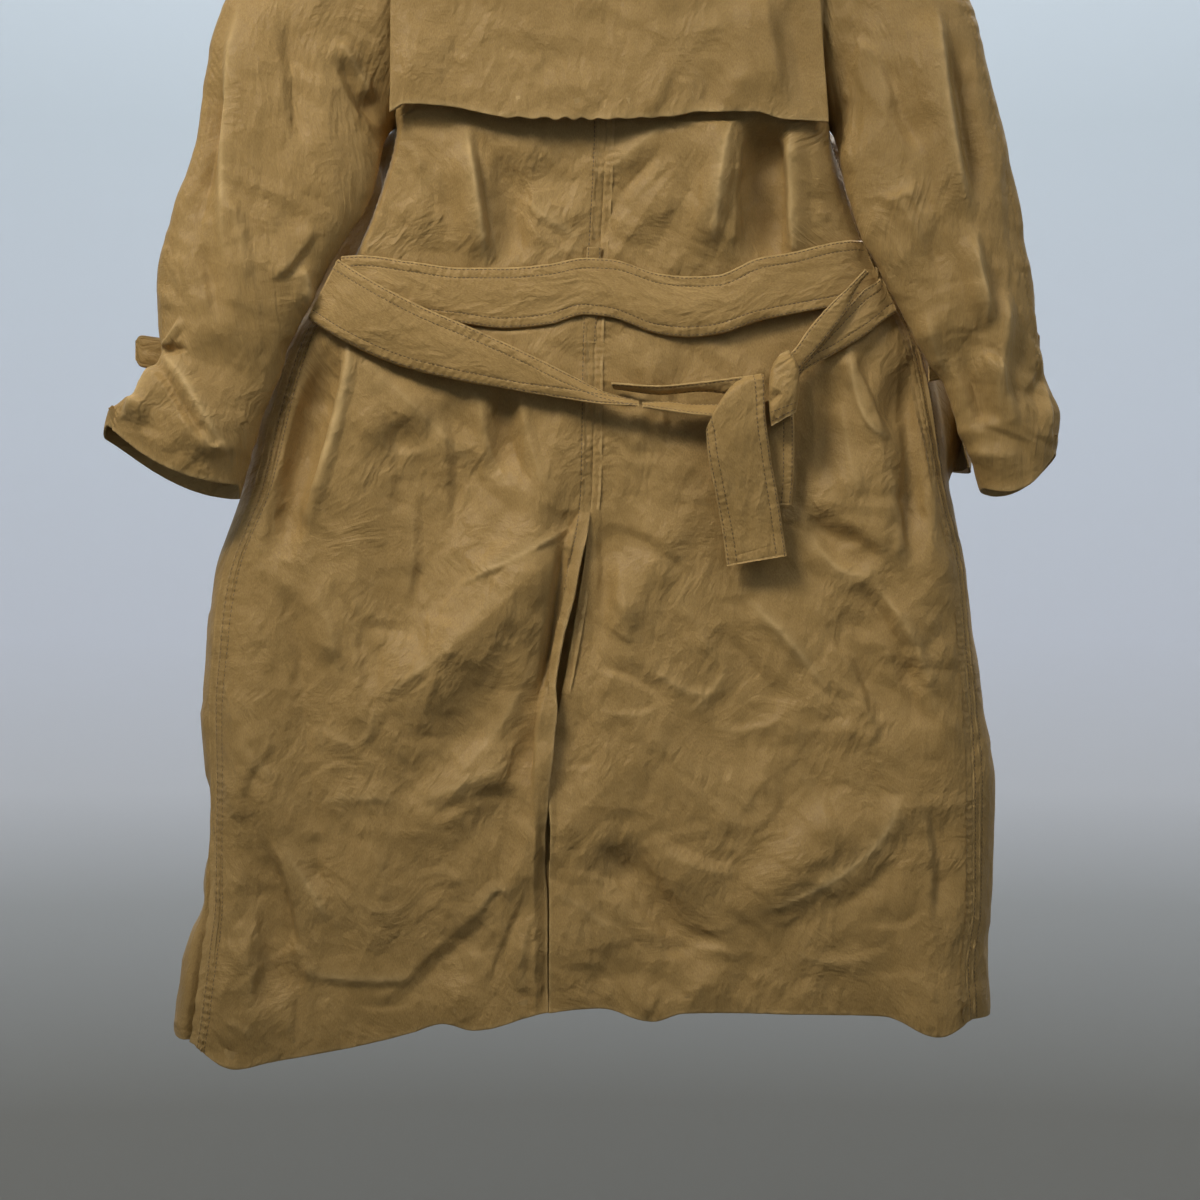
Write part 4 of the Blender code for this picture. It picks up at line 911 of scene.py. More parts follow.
BACK_CREASES = Table(
    CREASE,
    # between the storm flap and the belt
    (-106, 386, -96, 440, -87, 514, 30, 3.5, 5.5, 1.0),
    (-96, 395, -86, 450, -77, 514, 4, 14, -4.5, 1.0),
    (-68, 425, -37, 437, 2, 427, 16, 26, -3.7, 1.0),
    (-63, 444, -37, 467, -6, 484, 4, 15, 2.2, 1.0),
    (-44, 502, -27, 491, -8, 492, 5, 9, 1.6, 0.9),
    (6, 434, 32, 408, 62, 388, 12, 7, 3.1, 0.8),
    (12, 452, 36, 428, 60, 400, 3.5, 6.8, -1.9, 1.0),
    (14, 486, 30, 452, 70, 410, 18.9, 5, 3.4, 0.6),
    (110, 380, 101, 430, 92, 500, 30, 5, 6.0, 1.0),
    (122, 380, 124, 440, 118, 510, 6, 18.9, -7.0, 0.6),
    (156, 385, 157, 440, 158, 512, 3, 9, 5.0, 1.0),
    (144, 380, 146, 440, 146, 512, 16, 4, -6.0, 0.8),
    (-150, 392, -140, 440, -146, 500, 13.5, 5, 2.5, 0.5),
    (-128, 430, -120, 460, -124, 500, 3, 9.5, -1.6, 0.7),
    (-160, 450, -140, 462, -118, 458, 6, 6, 1.2, 0.4),
    # below the belt, wearer's left
    (-199, 556, -207, 620, -240, 722, 3, 22, 6.0, 1.0),
    (-206, 556, -216, 625, -246, 730, 22, 4, -8.0, 0.7),
    (-196, 572, -134, 628, -92, 672, 16.2, 9, 5.0, 0.7),
    (-180, 600, -160, 650, -160, 720, 4, 13.5, -3.0, 0.7),
    (-176, 640, -150, 655, -120, 640, 6.5, 3.2, 1.1, 0.8),
    (-152, 690, -146, 730, -158, 800, 10.8, 4, 3.0, 0.6),
    (-120, 610, -112, 670, -118, 730, 4, 13.5, -3.5, 0.6),
    (-96, 590, -88, 640, -66, 690, 9.5, 4.5, 3.0, 0.7),
    (-78, 588, -72, 640, -50, 690, 3.5, 9.5, -3.4, 0.7),
    (-62, 590, -52, 650, -34, 690, 8.1, 4, 2.5, 0.7),
    (-190, 735, -160, 745, -120, 730, 4.8, 8, 1.0, 0.6),
    (-236, 745, -214, 790, -206, 850, 10.8, 4, 2.5, 0.7),
    (-215, 750, -190, 800, -180, 850, 3.5, 9.5, -2.1, 0.8),
    (-260, 760, -240, 800, -236, 860, 4.5, 9.5, -3.0, 0.7),
    # the wide slope from the vent's top down to the left
    (-14, 708, -60, 738, -120, 764, 12, 2.2, 3.2, 1.0),
    (-20, 712, -90, 780, -184, 880, 45.9, 26, 3.0, 0.6),
    (-90, 786, -140, 830, -176, 848, 9.5, 4.5, 2.1, 0.9),
    (-60, 780, -90, 840, -150, 880, 7, 18.9, -1.2, 0.7),
    (-45, 800, -75, 870, -130, 930, 10.8, 6, 2.3, 0.8),
    (-52, 850, -66, 910, -110, 950, 4.5, 10.8, -1.6, 0.8),
    # lower left
    (-225, 872, -206, 884, -188, 890, 7.6, 2.4, 1.3, 0.9),
    (-190, 890, -180, 874, -172, 846, 6.5, 2.4, 1.3, 0.9),
    (-250, 884, -278, 930, -262, 968, 3, 8.1, -2.5, 0.9),
    (-286, 880, -268, 905, -250, 915, 5.4, 2.4, 1.1, 0.9),
    (-270, 962, -255, 1000, -245, 1058, 14, 5, -5.1, 0.9),
    (-258, 958, -228, 1004, -214, 1030, 10, 6, 3.0, 0.9),
    (-247, 1050, -241, 1095, -242, 1138, 2.5, 6.8, -2.1, 0.9),
    (-247, 1067, -190, 1075, -132, 1072, 4, 12, 2.6, 1.0),
    (-226, 935, -190, 930, -150, 934, 3.2, 9.6, 1.4, 1.0),
    (-150, 934, -105, 920, -62, 898, 9, 18, 3.4, 0.8),
    (-140, 952, -110, 935, -70, 920, 4, 8.6, -2.1, 0.7),
    (-66, 1018, -80, 1004, -99, 1034, 5.4, 2, 2.0, 1.0),
    (-74, 1022, -116, 1054, -164, 1104, 6, 16.2, -5.0, 0.6),
    (-56, 1008, -72, 1046, -88, 1086, 2.5, 6.8, -2.5, 1.0),
    (-46, 1016, -58, 1050, -56, 1092, 6.5, 2.4, 1.5, 0.7),
    (-190, 960, -170, 990, -176, 1030, 9.8, 3.6, 1.3, 0.7),
    (-205, 1000, -176, 1020, -140, 1012, 7.6, 3.6, 1.1, 0.8),
    (-150, 1000, -120, 990, -100, 1010, 6.5, 3.2, 1.1, 0.8),
    (-300, 1110, -286, 1112, -276, 1124, 4.3, 2, 1.1, 0.9),
    (-308, 1116, -300, 1130, -286, 1146, 2.4, 5.4, -1.1, 0.9),
    (-276, 1020, -270, 1060, -284, 1100, 12.2, 4.5, 2.5, 0.6),
    (-200, 1092, -170, 1098, -140, 1090, 2, 6.5, -1.1, 0.8),
    # right of the centre, below the belt
    (4, 716, 40, 726, 82, 762, 7, 4, -1.9, 1.0),
    (2, 712, 6, 745, 4, 805, 3, 7, -3.0, 1.0),
    (14, 730, 22, 770, 26, 830, 13.5, 6, 3.4, 0.5),
    (50, 565, 40, 610, 24, 660, 16.2, 7, 3.0, 0.5),
    (70, 560, 66, 610, 50, 660, 4.5, 12.2, -2.5, 0.6),
    (20, 640, 50, 650, 84, 636, 4.8, 7.2, 0.8, 0.5),
    (58, 680, 76, 690, 100, 684, 4, 4.8, 1.0, 0.6),
    (203, 560, 212, 616, 238, 644, 14, 4, 4.2, 1.0),
    (212, 556, 226, 610, 240, 640, 4, 14, -4.2, 0.7),
    (178, 580, 184, 640, 176, 700, 4.5, 16.2, -5.0, 0.6),
    (196, 600, 202, 650, 214, 700, 10.8, 4, 3.0, 0.7),
    (165, 700, 196, 748, 232, 742, 9.6, 5.6, 2.9, 0.9),
    (236, 744, 240, 720, 232, 690, 7.6, 2.8, 1.8, 0.8),
    (160, 690, 190, 722, 222, 722, 2.8, 8.6, -1.8, 0.7),
    (150, 600, 160, 660, 152, 720, 4.5, 12.2, -4.0, 0.6),
    (252, 560, 252, 640, 246, 745, 5, 18.9, -6.0, 0.6),
    (268, 600, 272, 680, 270, 745, 6.8, 4, 3.0, 0.8),
    (232, 650, 238, 700, 252, 760, 10.8, 4, 3.0, 0.7),
    # lower right
    (118, 770, 150, 800, 190, 850, 5, 9, 3.4, 1.0),
    (96, 790, 130, 830, 168, 868, 10, 5, -2.5, 0.9),
    (60, 770, 80, 790, 96, 826, 7.6, 2.8, 1.3, 0.8),
    (40, 820, 76, 846, 110, 838, 5.4, 3.2, 1.5, 1.0),
    (-6, 826, 30, 834, 66, 862, 2.5, 8.1, -2.5, 1.0),
    (70, 862, 92, 846, 106, 820, 5.4, 2, 1.3, 1.0),
    (-4, 858, 30, 864, 60, 852, 5.4, 2.4, 1.1, 0.9),
    (84, 872, 120, 876, 150, 866, 5.4, 2.8, 1.0, 0.9),
    (30, 880, 44, 910, 30, 940, 2.8, 7.6, -1.1, 0.8),
    (203, 760, 240, 806, 260, 888, 4.5, 12.2, -5.0, 0.7),
    (214, 752, 252, 800, 274, 870, 9.5, 4, 4.0, 0.7),
    (180, 790, 214, 830, 232, 900, 4, 12.2, -4.0, 0.7),
    (238, 915, 216, 976, 112, 1028, 18, 12, 4.4, 1.0),
    (246, 930, 226, 994, 130, 1044, 18, 9, -2.4, 0.6),
    (0, 966, 40, 1010, 96, 1084, 6, 18.9, -6.0, 0.5),
    (-38, 1006, -10, 1018, 24, 1048, 3.2, 5.6, 1.3, 1.0),
    (-30, 985, 0, 990, 34, 1002, 2.4, 7.6, -1.1, 0.8),
    (40, 960, 80, 985, 120, 990, 12.2, 5, 3.4, 0.6),
    (150, 900, 176, 930, 190, 970, 12.2, 5, 3.0, 0.6),
    (96, 930, 120, 950, 150, 940, 8.6, 3.6, 1.1, 0.7),
    (150, 1046, 190, 1062, 240, 1050, 9.5, 4.5, 2.5, 0.7),
    (60, 1060, 90, 1050, 120, 1064, 6.5, 2.4, 1.0, 0.8),
    (200, 1020, 240, 1030, 270, 1010, 2.8, 7.6, -1.3, 0.7),
    (262, 930, 276, 980, 270, 1040, 4, 10.8, -4.0, 0.7),
    (240, 1070, 262, 1080, 284, 1112, 7.6, 2.8, 1.3, 0.7),
    (-30, 1066, -10, 1060, 10, 1068, 4, 4, 1.0, 0.5),
    (-34, 902, -16, 904, -2, 900, 2.4, 4, -1.1, 1.0),
)

BACK_CRUMPLES = crumples(11, Table(
    CRUMPLE,
    (-300, 880, -50, 1125, 54, 18, 90, 1.5, 21, 1.1, 60, 60),
    (-290, 720, -60, 890, 27, 26, 105, 1.5, 25, 0.8, 35, 60),
    (-240, 560, -10, 720, 22, 26, 105, 1.7, 25, 0.7, 20, 50),
    (-30, 780, 230, 1090, 54, 18, 90, 1.5, 21, 1.0, 90, 70),
    (0, 570, 220, 780, 22, 23, 90, 1.7, 25, 0.8, 60, 60),
    (200, 600, 300, 1090, 27, 26, 105, 1.5, 21, 1.0, 10, 50),
    (-160, 390, 180, 510, 18, 18, 75, 1.7, 21, 0.7, 50, 60),
    (-80, 975, 240, 1100, 31, 10, 45, 1.2, 10, 0.8, 80, 60),
    (-240, 1030, -50, 1120, 27, 10, 45, 1.2, 10, 0.8, 60, 60),
))


BACK_FOLDS = 1.2            # how much deeper than noted the back's folds are
BACK_SEED = 3


def back_heights(x, drop):
    """How far the back's creases and crumples stand out, in millimetres."""
    folds = BACK_FOLDS * crease_heights(BACK_CREASES, x, drop)
    return folds + crease_heights(BACK_CRUMPLES, x, drop) + crumpled(BACK_SEED, x, drop)


# ---------------------------------------------------------------- finishes

class Nodes:
    """Builds a material's node tree in few words."""

    def __init__(self, name, roughness, metallic=0.0):
        self.material = bpy.data.materials.new(name)
        self.material.use_nodes = True
        self.tree = self.material.node_tree
        self.shader = self.tree.nodes["Principled BSDF"]
        self.set("Roughness", roughness)
        self.set("Metallic", metallic)

    def set(self, key, value):
        self.shader.inputs[key].default_value = value

    def add(self, kind, **settings):
        node = self.tree.nodes.new(kind)
        for key, value in settings.items():
            if key in node.inputs:
                node.inputs[key].default_value = value
            else:
                setattr(node, key, value)
        return node

    def link(self, start, end):
        self.tree.links.new(start, end)

    def math(self, operation, first, second, clamp=False):
        node = self.add("ShaderNodeMath", operation=operation, use_clamp=clamp)
        for socket, value in zip(node.inputs, (first, second)):
            if isinstance(value, (int, float)):
                socket.default_value = value
            else:
                self.link(value, socket)
        return node.outputs[0]

    def noise(self, vector, scale, detail=3.0, roughness=0.55, distortion=0.0):
        node = self.add("ShaderNodeTexNoise")
        node.inputs["Scale"].default_value = scale
        node.inputs["Detail"].default_value = detail
        node.inputs["Roughness"].default_value = roughness
        node.inputs["Distortion"].default_value = distortion
        self.link(vector, node.inputs["Vector"])
        return node.outputs["Fac"]

    def mapped(self, vector, scale, lean=0.0):
        """A vector stretched by scale and turned by lean degrees."""
        node = self.add("ShaderNodeMapping")
        node.inputs["Rotation"].default_value = (0.0, 0.0, math.radians(lean))
        node.inputs["Scale"].default_value = scale
        self.link(vector, node.inputs["Vector"])
        return node.outputs["Vector"]

    def ramp(self, value, *stops):
        """A colour ramp; each stop is its place and its colour."""
        node = self.add("ShaderNodeValToRGB")
        ramp = node.color_ramp
        while len(ramp.elements) < len(stops):
            ramp.elements.new(0.5)
        for element, (place, colour) in zip(ramp.elements, stops):
            element.position = place
            element.color = (*colour, 1.0)
        self.link(value, node.inputs["Fac"])
        return node.outputs["Color"]

    def mix(self, share, first, second, blend="MIX"):
        node = self.add("ShaderNodeMix", data_type="RGBA", blend_type=blend)
        for key, value in (("Factor", share), ("A", first), ("B", second)):
            sockets = [s for s in node.inputs if s.name == key and s.enabled]
            socket = sockets[0]
            if isinstance(value, tuple):
                socket.default_value = (*value, 1.0)
            elif isinstance(value, (int, float)):
                socket.default_value = value
            else:
                self.link(value, socket)
        return [s for s in node.outputs if s.enabled][0]

    def bump(self, height, distance, strength=1.0):
        node = self.add("ShaderNodeBump", Distance=distance, Strength=strength)
        self.link(height, node.inputs["Height"])
        return node.outputs["Normal"]

    def colour(self, value):
        self.link(value, self.shader.inputs["Base Color"])


TAN_DARK = (0.285, 0.172, 0.055)
TAN = (0.336, 0.206, 0.070)
TAN_PALE = (0.388, 0.243, 0.088)
# the paler colour of worn places, and of the painted highlight on the crests of keen folds
TAN_WORN_AND_LIT = (0.505, 0.335, 0.138)


# The cloth's noises: scale, detail, roughness and distortion
PATCH_NOISE = (16.0, 5.0, 0.6, 0.6)
MOTTLE_NOISE = (90.0, 5.0, 0.7, 0.3)
THREAD_NOISE = (1100.0, 2.0, 0.6)
SLUB_NOISE = (420.0, 3.0, 0.6)
THREAD_STRETCH = (1.0, 0.4, 1.0)
THREAD_LEAN = 28.0          # degrees; the slant of the twill
SLUB_STRETCH = (1.0, 0.2, 1.0)
SPECKLE_SHARE = 0.8
SLUB_SHARE = 0.3
PALE_ANYWAY = 0.35        # how much of a place marked with wear and painted highlight is pale whatever the mottle does

# Relief that is too fine for the mesh: CLOTH_RELIEF is in metres, the heights are multiples of it
CLOTH_RELIEF = 0.0007
THREAD_HEIGHT = 0.24
# Fine crinkles: their size in millimetres, their lean in degrees and their height
CRINKLES = ((30.0, 35.0, 2.8), (13.0, -25.0, 2.0), (6.0, 60.0, 1.1))
CRINKLE_STRETCH = (1.0, 0.45, 1.0)
CRINKLE_BEND = 0.022        # metres; how far their edges wander
CRINKLE_WANDER = 28.0       # scale of that wander
CRINKLE_START = 0.3         # they show where the patches' noise is over this
CRINKLE_RISE = 3.0
SEAM_SHADE_WIDTH = 1.3      # a row of stitches darkens and dents the cloth this far beside it
SEAM_SHADE = 0.45
SEAM_DENT = 0.5


def add_crinkles(made, cloth, shown, heights):
    """Heights with the crinkles added: cells with keen edges, bent out of their straight lines."""
    wander = made.add("ShaderNodeTexNoise", Scale=CRINKLE_WANDER, Detail=2.0)
    made.link(cloth, wander.inputs["Vector"])
    bend = made.add("ShaderNodeVectorMath", operation="MULTIPLY")
    bend.inputs[1].default_value = (CRINKLE_BEND, CRINKLE_BEND, 0.0)
    made.link(wander.outputs["Color"], bend.inputs[0])
    bent = made.add("ShaderNodeVectorMath", operation="ADD")
    made.link(cloth, bent.inputs[0])
    made.link(bend.outputs["Vector"], bent.inputs[1])
    for size, lean, height in CRINKLES:
        turned = made.mapped(bent.outputs["Vector"], CRINKLE_STRETCH, lean)
        cells = made.add("ShaderNodeTexVoronoi", voronoi_dimensions="2D", distance="CHEBYCHEV")
        cells.inputs["Scale"].default_value = 1.0 / (size * MM)
        made.link(turned, cells.inputs["Vector"])
        crinkle = made.math("MULTIPLY", cells.outputs["Distance"], height)
        heights = made.math("ADD", heights, made.math("MULTIPLY", crinkle, shown))
    return heights


def cloth_finish(name, tone=1.0):
    """Closely woven tan twill with a slight sheen; tone makes it paler or darker. Worn places and the
    crests of keen folds get a paler colour, the crests' part a painted highlight.
    """
    made = Nodes(name, 0.58)
    made.set("Specular IOR Level", 0.15)
    made.set("Sheen Weight", 0.02)
    made.set("Sheen Roughness", 0.45)
    made.set("Sheen Tint", (1.0, 0.93, 0.78, 1.0))
    place = made.add("ShaderNodeTexCoord").outputs["Object"]
    cloth = made.add("ShaderNodeUVMap", uv_map="cloth").outputs["UV"]
    slanted = made.mapped(cloth, THREAD_STRETCH, THREAD_LEAN)
    patches = made.noise(place, *PATCH_NOISE)
    mottle = made.noise(place, *MOTTLE_NOISE)
    threads = made.noise(slanted, *THREAD_NOISE)
    slubs = made.noise(made.mapped(cloth, SLUB_STRETCH), *SLUB_NOISE)
    dark, middle, pale, worn_and_lit = (
        tuple(tone * value for value in colour) for colour in (TAN_DARK, TAN, TAN_PALE, TAN_WORN_AND_LIT))
    blend = made.math("ADD", made.math("MULTIPLY", patches, 0.5), made.math("MULTIPLY", mottle, 0.5))
    colour = made.ramp(blend, (0.30, dark), (0.5, middle), (0.72, pale))
    speckle = made.ramp(threads, (0.3, (0.80, 0.80, 0.82)), (0.7, (1.16, 1.16, 1.14)))
    colour = made.mix(SPECKLE_SHARE, colour, speckle, "MULTIPLY")
    streaks = made.ramp(slubs, (0.32, (0.94, 0.94, 0.945)), (0.68, (1.06, 1.06, 1.05)))
    colour = made.mix(SLUB_SHARE, colour, streaks, "MULTIPLY")
    heights = made.math("MULTIPLY", threads, THREAD_HEIGHT)
    shown = made.math("SUBTRACT", patches, CRINKLE_START)
    shown = made.math("MULTIPLY", shown, CRINKLE_RISE, clamp=True)
    heights = add_crinkles(made, cloth, shown, heights)
    # the paler marks: wear along seams and edges, and painted highlight on the crests of keen folds
    wear_and_highlight = made.add("ShaderNodeAttribute", attribute_name="wear_and_highlight").outputs["Fac"]
    worn_and_lit_share = made.math("MULTIPLY", wear_and_highlight, made.math("ADD", mottle, PALE_ANYWAY), clamp=True)
    colour = made.mix(worn_and_lit_share, colour, worn_and_lit)
    seam = made.add("ShaderNodeAttribute", attribute_name="stitch").outputs["Fac"]
    near = made.math("SUBTRACT", 1.0, made.math("DIVIDE", seam, SEAM_SHADE_WIDTH), clamp=True)
    soft = made.math("MULTIPLY", near, near)
    colour = made.mix(made.math("MULTIPLY", soft, SEAM_SHADE), colour, dark)
    heights = made.math("SUBTRACT", heights, made.math("MULTIPLY", soft, SEAM_DENT))
    made.link(made.bump(heights, CLOTH_RELIEF), made.shader.inputs["Normal"])
    rough = made.ramp(mottle, (0.3, (0.46, 0.46, 0.46)), (0.7, (0.56, 0.56, 0.56)))
    made.link(rough, made.shader.inputs["Roughness"])
    made.colour(colour)
    return made.material


def thread_finish():
    made = Nodes("stitching", 0.6)
    twist = made.noise(made.add("ShaderNodeTexCoord").outputs["Object"], 900.0)
    made.colour(made.ramp(twist, (0.3, (0.085, 0.049, 0.015)), (0.7, (0.155, 0.093, 0.030))))
    return made.material


def horn_finish():
    made = Nodes("brown_horn", 0.3)
    made.set("Coat Weight", 0.3)
    made.set("Coat Roughness", 0.15)
    cloud = made.noise(made.add("ShaderNodeTexCoord").outputs["Object"], 120.0, 4.0, 0.6, 1.5)
    made.colour(made.ramp(cloud, (0.3, (0.022, 0.011, 0.005)), (0.55, (0.060, 0.030, 0.013)),
                          (0.8, (0.150, 0.082, 0.036))))
    return made.material


def wood_finish():
    made = Nodes("varnished_wood", 0.35)
    made.set("Coat Weight", 0.25)
    place = made.add("ShaderNodeTexCoord").outputs["Object"]
    grain = made.noise(made.mapped(place, (6.0, 90.0, 90.0)), 4.0, 5.0, 0.6, 1.2)
    made.colour(made.ramp(grain, (0.3, (0.150, 0.070, 0.026)), (0.5, (0.330, 0.180, 0.080)),
                          (0.7, (0.430, 0.260, 0.130))))
    made.link(made.bump(grain, 0.0004, 0.4), made.shader.inputs["Normal"])
    return made.material


def steel_finish():
    made = Nodes("bright_wire", 0.22, 1.0)
    made.set("Base Color", (0.62, 0.62, 0.64, 1.0))
    scratch = made.noise(made.add("ShaderNodeTexCoord").outputs["Object"], 400.0, 2.0)
    made.link(made.ramp(scratch, (0.3, (0.18, 0.18, 0.18)), (0.7, (0.34, 0.34, 0.34))),
              made.shader.inputs["Roughness"])
    return made.material


# ---------------------------------------------------------------- laying out a piece

OFF_EDGE = 0.15             # half the gap of a seam
SEAM_PLACES = np.array([0.15, 0.6, 1.2, 2.4, 4.0, 5.6, 7.0, 7.6, 8.3, 9.0, 9.7, 10.6, 12.4,
                        14.2, 16.0, 17.2, 18.4, 20.5])
TOPSTITCH = 9.0             # from the edge
SIDE_STITCHES = (2.4, 9.7)  # the two rows along a side seam
NO_STITCH = 20.0            # the mark of cloth that is far from every row of stitches
SIDE_BAND = 10.5            # the side seam's puckers reach this far where it is stitched
PLAIN_BAND = 3.0            # and where it isn't
PUCKER = 6.5                # length of a seam's puckers
WIDTH_STEPS = 90            # steps in which a row's width is measured
FACING_DEPTH = 3.0          # depth counts this much more than x in which way a panel faces


# Puckers are uneven: two slow waves shift them, two more swell them around SWELL_MEAN
RIPPLE_PITCH = 7.5
WANDERS = (1.6, 0.9)
WANDER_SIZES = (31.0, 12.7)
SWELL_MEAN = 0.62
SWELL = 0.38
SWELL_SIZES = (43.0, 17.0)
# Each row of puckers has a seed of its own, to which a side adds -1 or 1
SEEDS = {
    "back_centre": 1.0, "back_side": 4.0, "front_side": 8.0, "front_edge": 12.0, "flap_edge": 21.0,
    "scallop": 25.0, "sleeve": 30.0, "belt": 50.0, "carrier": 60.0, "knot": 71.0, "strap": 80.0,
    "collar_stand": 90.0, "collar_fall": 93.0, "lapel": 96.0, "welt": 100.0,
}
# Worn lines: how pale they are (1 is fully) and half their width
WORN = {
    "centre_seam": (0.35, 1.2), "side_seam": (0.3, 1.5), "hem": (0.5, 2.0), "vent": (0.25, 2.2),
    "front_edge": (0.4, 1.6), "flap_edge": (0.75, 1.6), "cuff": (0.5, 2.2), "strip": (0.6, 1.1),
}


def ripple(along, seed, pitch=RIPPLE_PITCH):
    """Uneven puckers along a seam, from about -1 to 1."""
    wander = WANDERS[0] * np.sin(along / WANDER_SIZES[0] + seed)
    wander = wander + WANDERS[1] * np.sin(along / WANDER_SIZES[1] + 2.3 * seed)
    swell = SWELL * np.sin(along / SWELL_SIZES[0] + 1.7 * seed) * np.sin(along / SWELL_SIZES[1] + seed)
    return np.sin(2 * np.pi * along / pitch + wander) * (SWELL_MEAN + swell)


def band(value, low, high, soft):
    """1 between low and high, going softly to 0 outside them."""
    return ease((value - low) / soft + 1) * ease((high - value) / soft + 1)


def groove(distance, half_width=1.0):
    return np.exp(-(distance / half_width) ** 2)


def worn_line(key, distance):
    pale, half_width = WORN[key]
    return pale * groove(distance, half_width)


def spread_turns(side, levels, start, end, count):
    """Turns of a panel's columns, laid out by their length along the cloth in each row.

    Returns the turns, each column's distance from the panel's start, and its whole width.
    """
    turns = start + (end - start) * np.linspace(0, 1, WIDTH_STEPS)
    lengths = arc_lengths(body(side, turns, levels), 1)
    total = lengths[:, -1:]
    middle = np.linspace(0, 1, count)[1:-1]
    margin = SEAM_PLACES[-1]
    places = np.concatenate([SEAM_PLACES + 0 * total, margin + (total - margin - margin) * middle,
                             total - SEAM_PLACES[::-1]], axis=1)
    found = [np.interp(place, row, turn) for place, row, turn in zip(places, lengths, turns)]
    return np.stack(found), places, total


def outward_normals(points):
    """Normals that face away from the inside of the body."""
    normals = grid_normals(points)
    x, depth = points[..., 0], points[..., 1]
    away = np.stack([x, depth * FACING_DEPTH, 0 * x], axis=-1)
    turned = np.sum(normals * away, axis=-1).mean() < 0
    return -normals if turned else normals


def column_at(places, distance):
    """The column that lies at a distance from a panel's first edge."""
    return int(np.argmin(np.abs(places[len(places) // 2] - distance)))


cloth = cloth_finish("coat_twill")
belt_twill = cloth_finish("belt_twill", tone=1.06)
thread = Thread()
belt_thread = Thread()


def turned_sheet(name, points, normals, outward, marks, edges):
    """A sheet of the coat's cloth with turned edges, each with its axis, its end and its depth."""
    for axis, ending, back in edges:
        points = roll_edge(points, normals, axis, ending, back)
        normals = extend(normals, axis, ending)
        marks = {key: extend(values, axis, ending) for key, values in marks.items()}
    return sheet_mesh(name, points, cloth, np.array(outward), marks=marks)


def declare(piece, nodes):
    """Give a sheet of cloth its body and its place in the part, and hide the part's own pieces in its
    place.
    """
    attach(piece, "root")
    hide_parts(*nodes)


# ---------------------------------------------------------------- the backs

BACK_ROWS = 400             # hem to underarm
HIDDEN_ROWS = 12            # underarm to shoulder, under the storm flap
BACK_COLUMNS = 152
BACK_OUTWARD = (0, -1.0, 0)
SEAM_FADE = 30.0            # creases fade out this far from the side seam
FADE_LEFT = 0.1             # and leave this much of themselves at the seam
CREST_WEAR_AND_HIGHLIGHT = 1.1            # how pale the crests of keen folds are: wear and painted highlight

# How far creases may stand out: where nothing lies on the cloth, and under what lies on it
FREE = 22.0
UNDER_BELT = 1.6
UNDER_KNOT = 7.0
UNDER_FLAP = 3.0
BELT_REACH_X = 212.0        # the belt lies on the back this far to either side
BELT_FREE_AT = 14.0         # creases are free this far from the belt
KNOT_DROP = 650.0           # middle of the knot and its ends
KNOT_REACH = 95.0
KNOT_FREE_AT = 20.0
FLAP_DROP = 386.0
FLAP_FREE_AT = 12.0
ROOM_BEND = 1.5             # how sharply a crease is held back

CENTRE_BAND = 9.5           # reach of the centre seam's puckers
CENTRE_PUCKER = 0.42
SIDE_PUCKER = 0.5
PUCKER_SOFT = 4.0
PUCKER_SLANT = 0.1
CENTRE_GROOVE = 0.9
SIDE_GROOVE = 0.4

VENT_TOP = 700.0
VENT_TOP_SOFT = 6.0
WORN_VENT_TOP = 760.0       # its left edge is worn from here down
WORN_VENT_FADE = 40.0
VENT_PULL = 40.0            # its gap is drawn from this much of the cloth beside it
VENT_STITCH_END = 790.0     # the topstitching beside it ends here
STITCHES_SHOW = 372.0       # above this the storm flap hides them
# The vent, by the drop: how far its left edge's strip stands out, how wide that strip is,
# how deep the slit beside it and the right panel's dip are, and half the gap between them
VENT = Table(
    "drop raise strip slit dip gap",
    (700, 0.0, 8, 0.0, 0.0, 0.15), (715, 2.5, 12, -5.0, -2.0, 0.3), (740, 4.5, 16, -7.0, -5.0, 0.4),
    (800, 5.0, 16, -6.0, -6.0, 0.4), (880, 5.0, 15, -6.0, -6.0, 0.5), (930, 1.5, 13, -3.0, -1.0, 0.9),
    (960, 0.0, 12, -2.0, 1.5, 1.4), (1060, 0.0, 12, -1.0, 1.5, 1.2), (1125, 0.0, 12, 0.0, 0.5, 0.6),
)
STRIP_EDGE = 1.6            # how sharply the strip ends
SLIT_REACH = 44.0           # the slit and the dip run out this far from the centre edge
SLIT_FADE = 28.0
DIP_REACH = 46.0
DIP_FADE = 30.0
VENT_TURN = 5.0             # lower down its left edge turns in, under the right panel's
VENT_TURN_WIDTH = 12.0
VENT_TURN_FADE = 11.0
VENT_TURN_START = 930.0
VENT_TURN_END = 1130.0

HEM_LEAN = 15.0             # how far the back's hem leans in
HEM_LEAN_START = 950.0
HEM_LEAN_END = 1150.0
HEM_LEAN_BEND = 1.6
HEM_LEAN_SIDE = 80.0        # it runs out this far from the side seam

BACK_TURNED = ((0, "first", 14.0), (1, "first", 7.0), (1, "last", 7.0))


def hem_lean(drop):
    share = np.clip((drop - HEM_LEAN_START) / (HEM_LEAN_END - HEM_LEAN_START), 0, 1)
    return HEM_LEAN * share ** HEM_LEAN_BEND


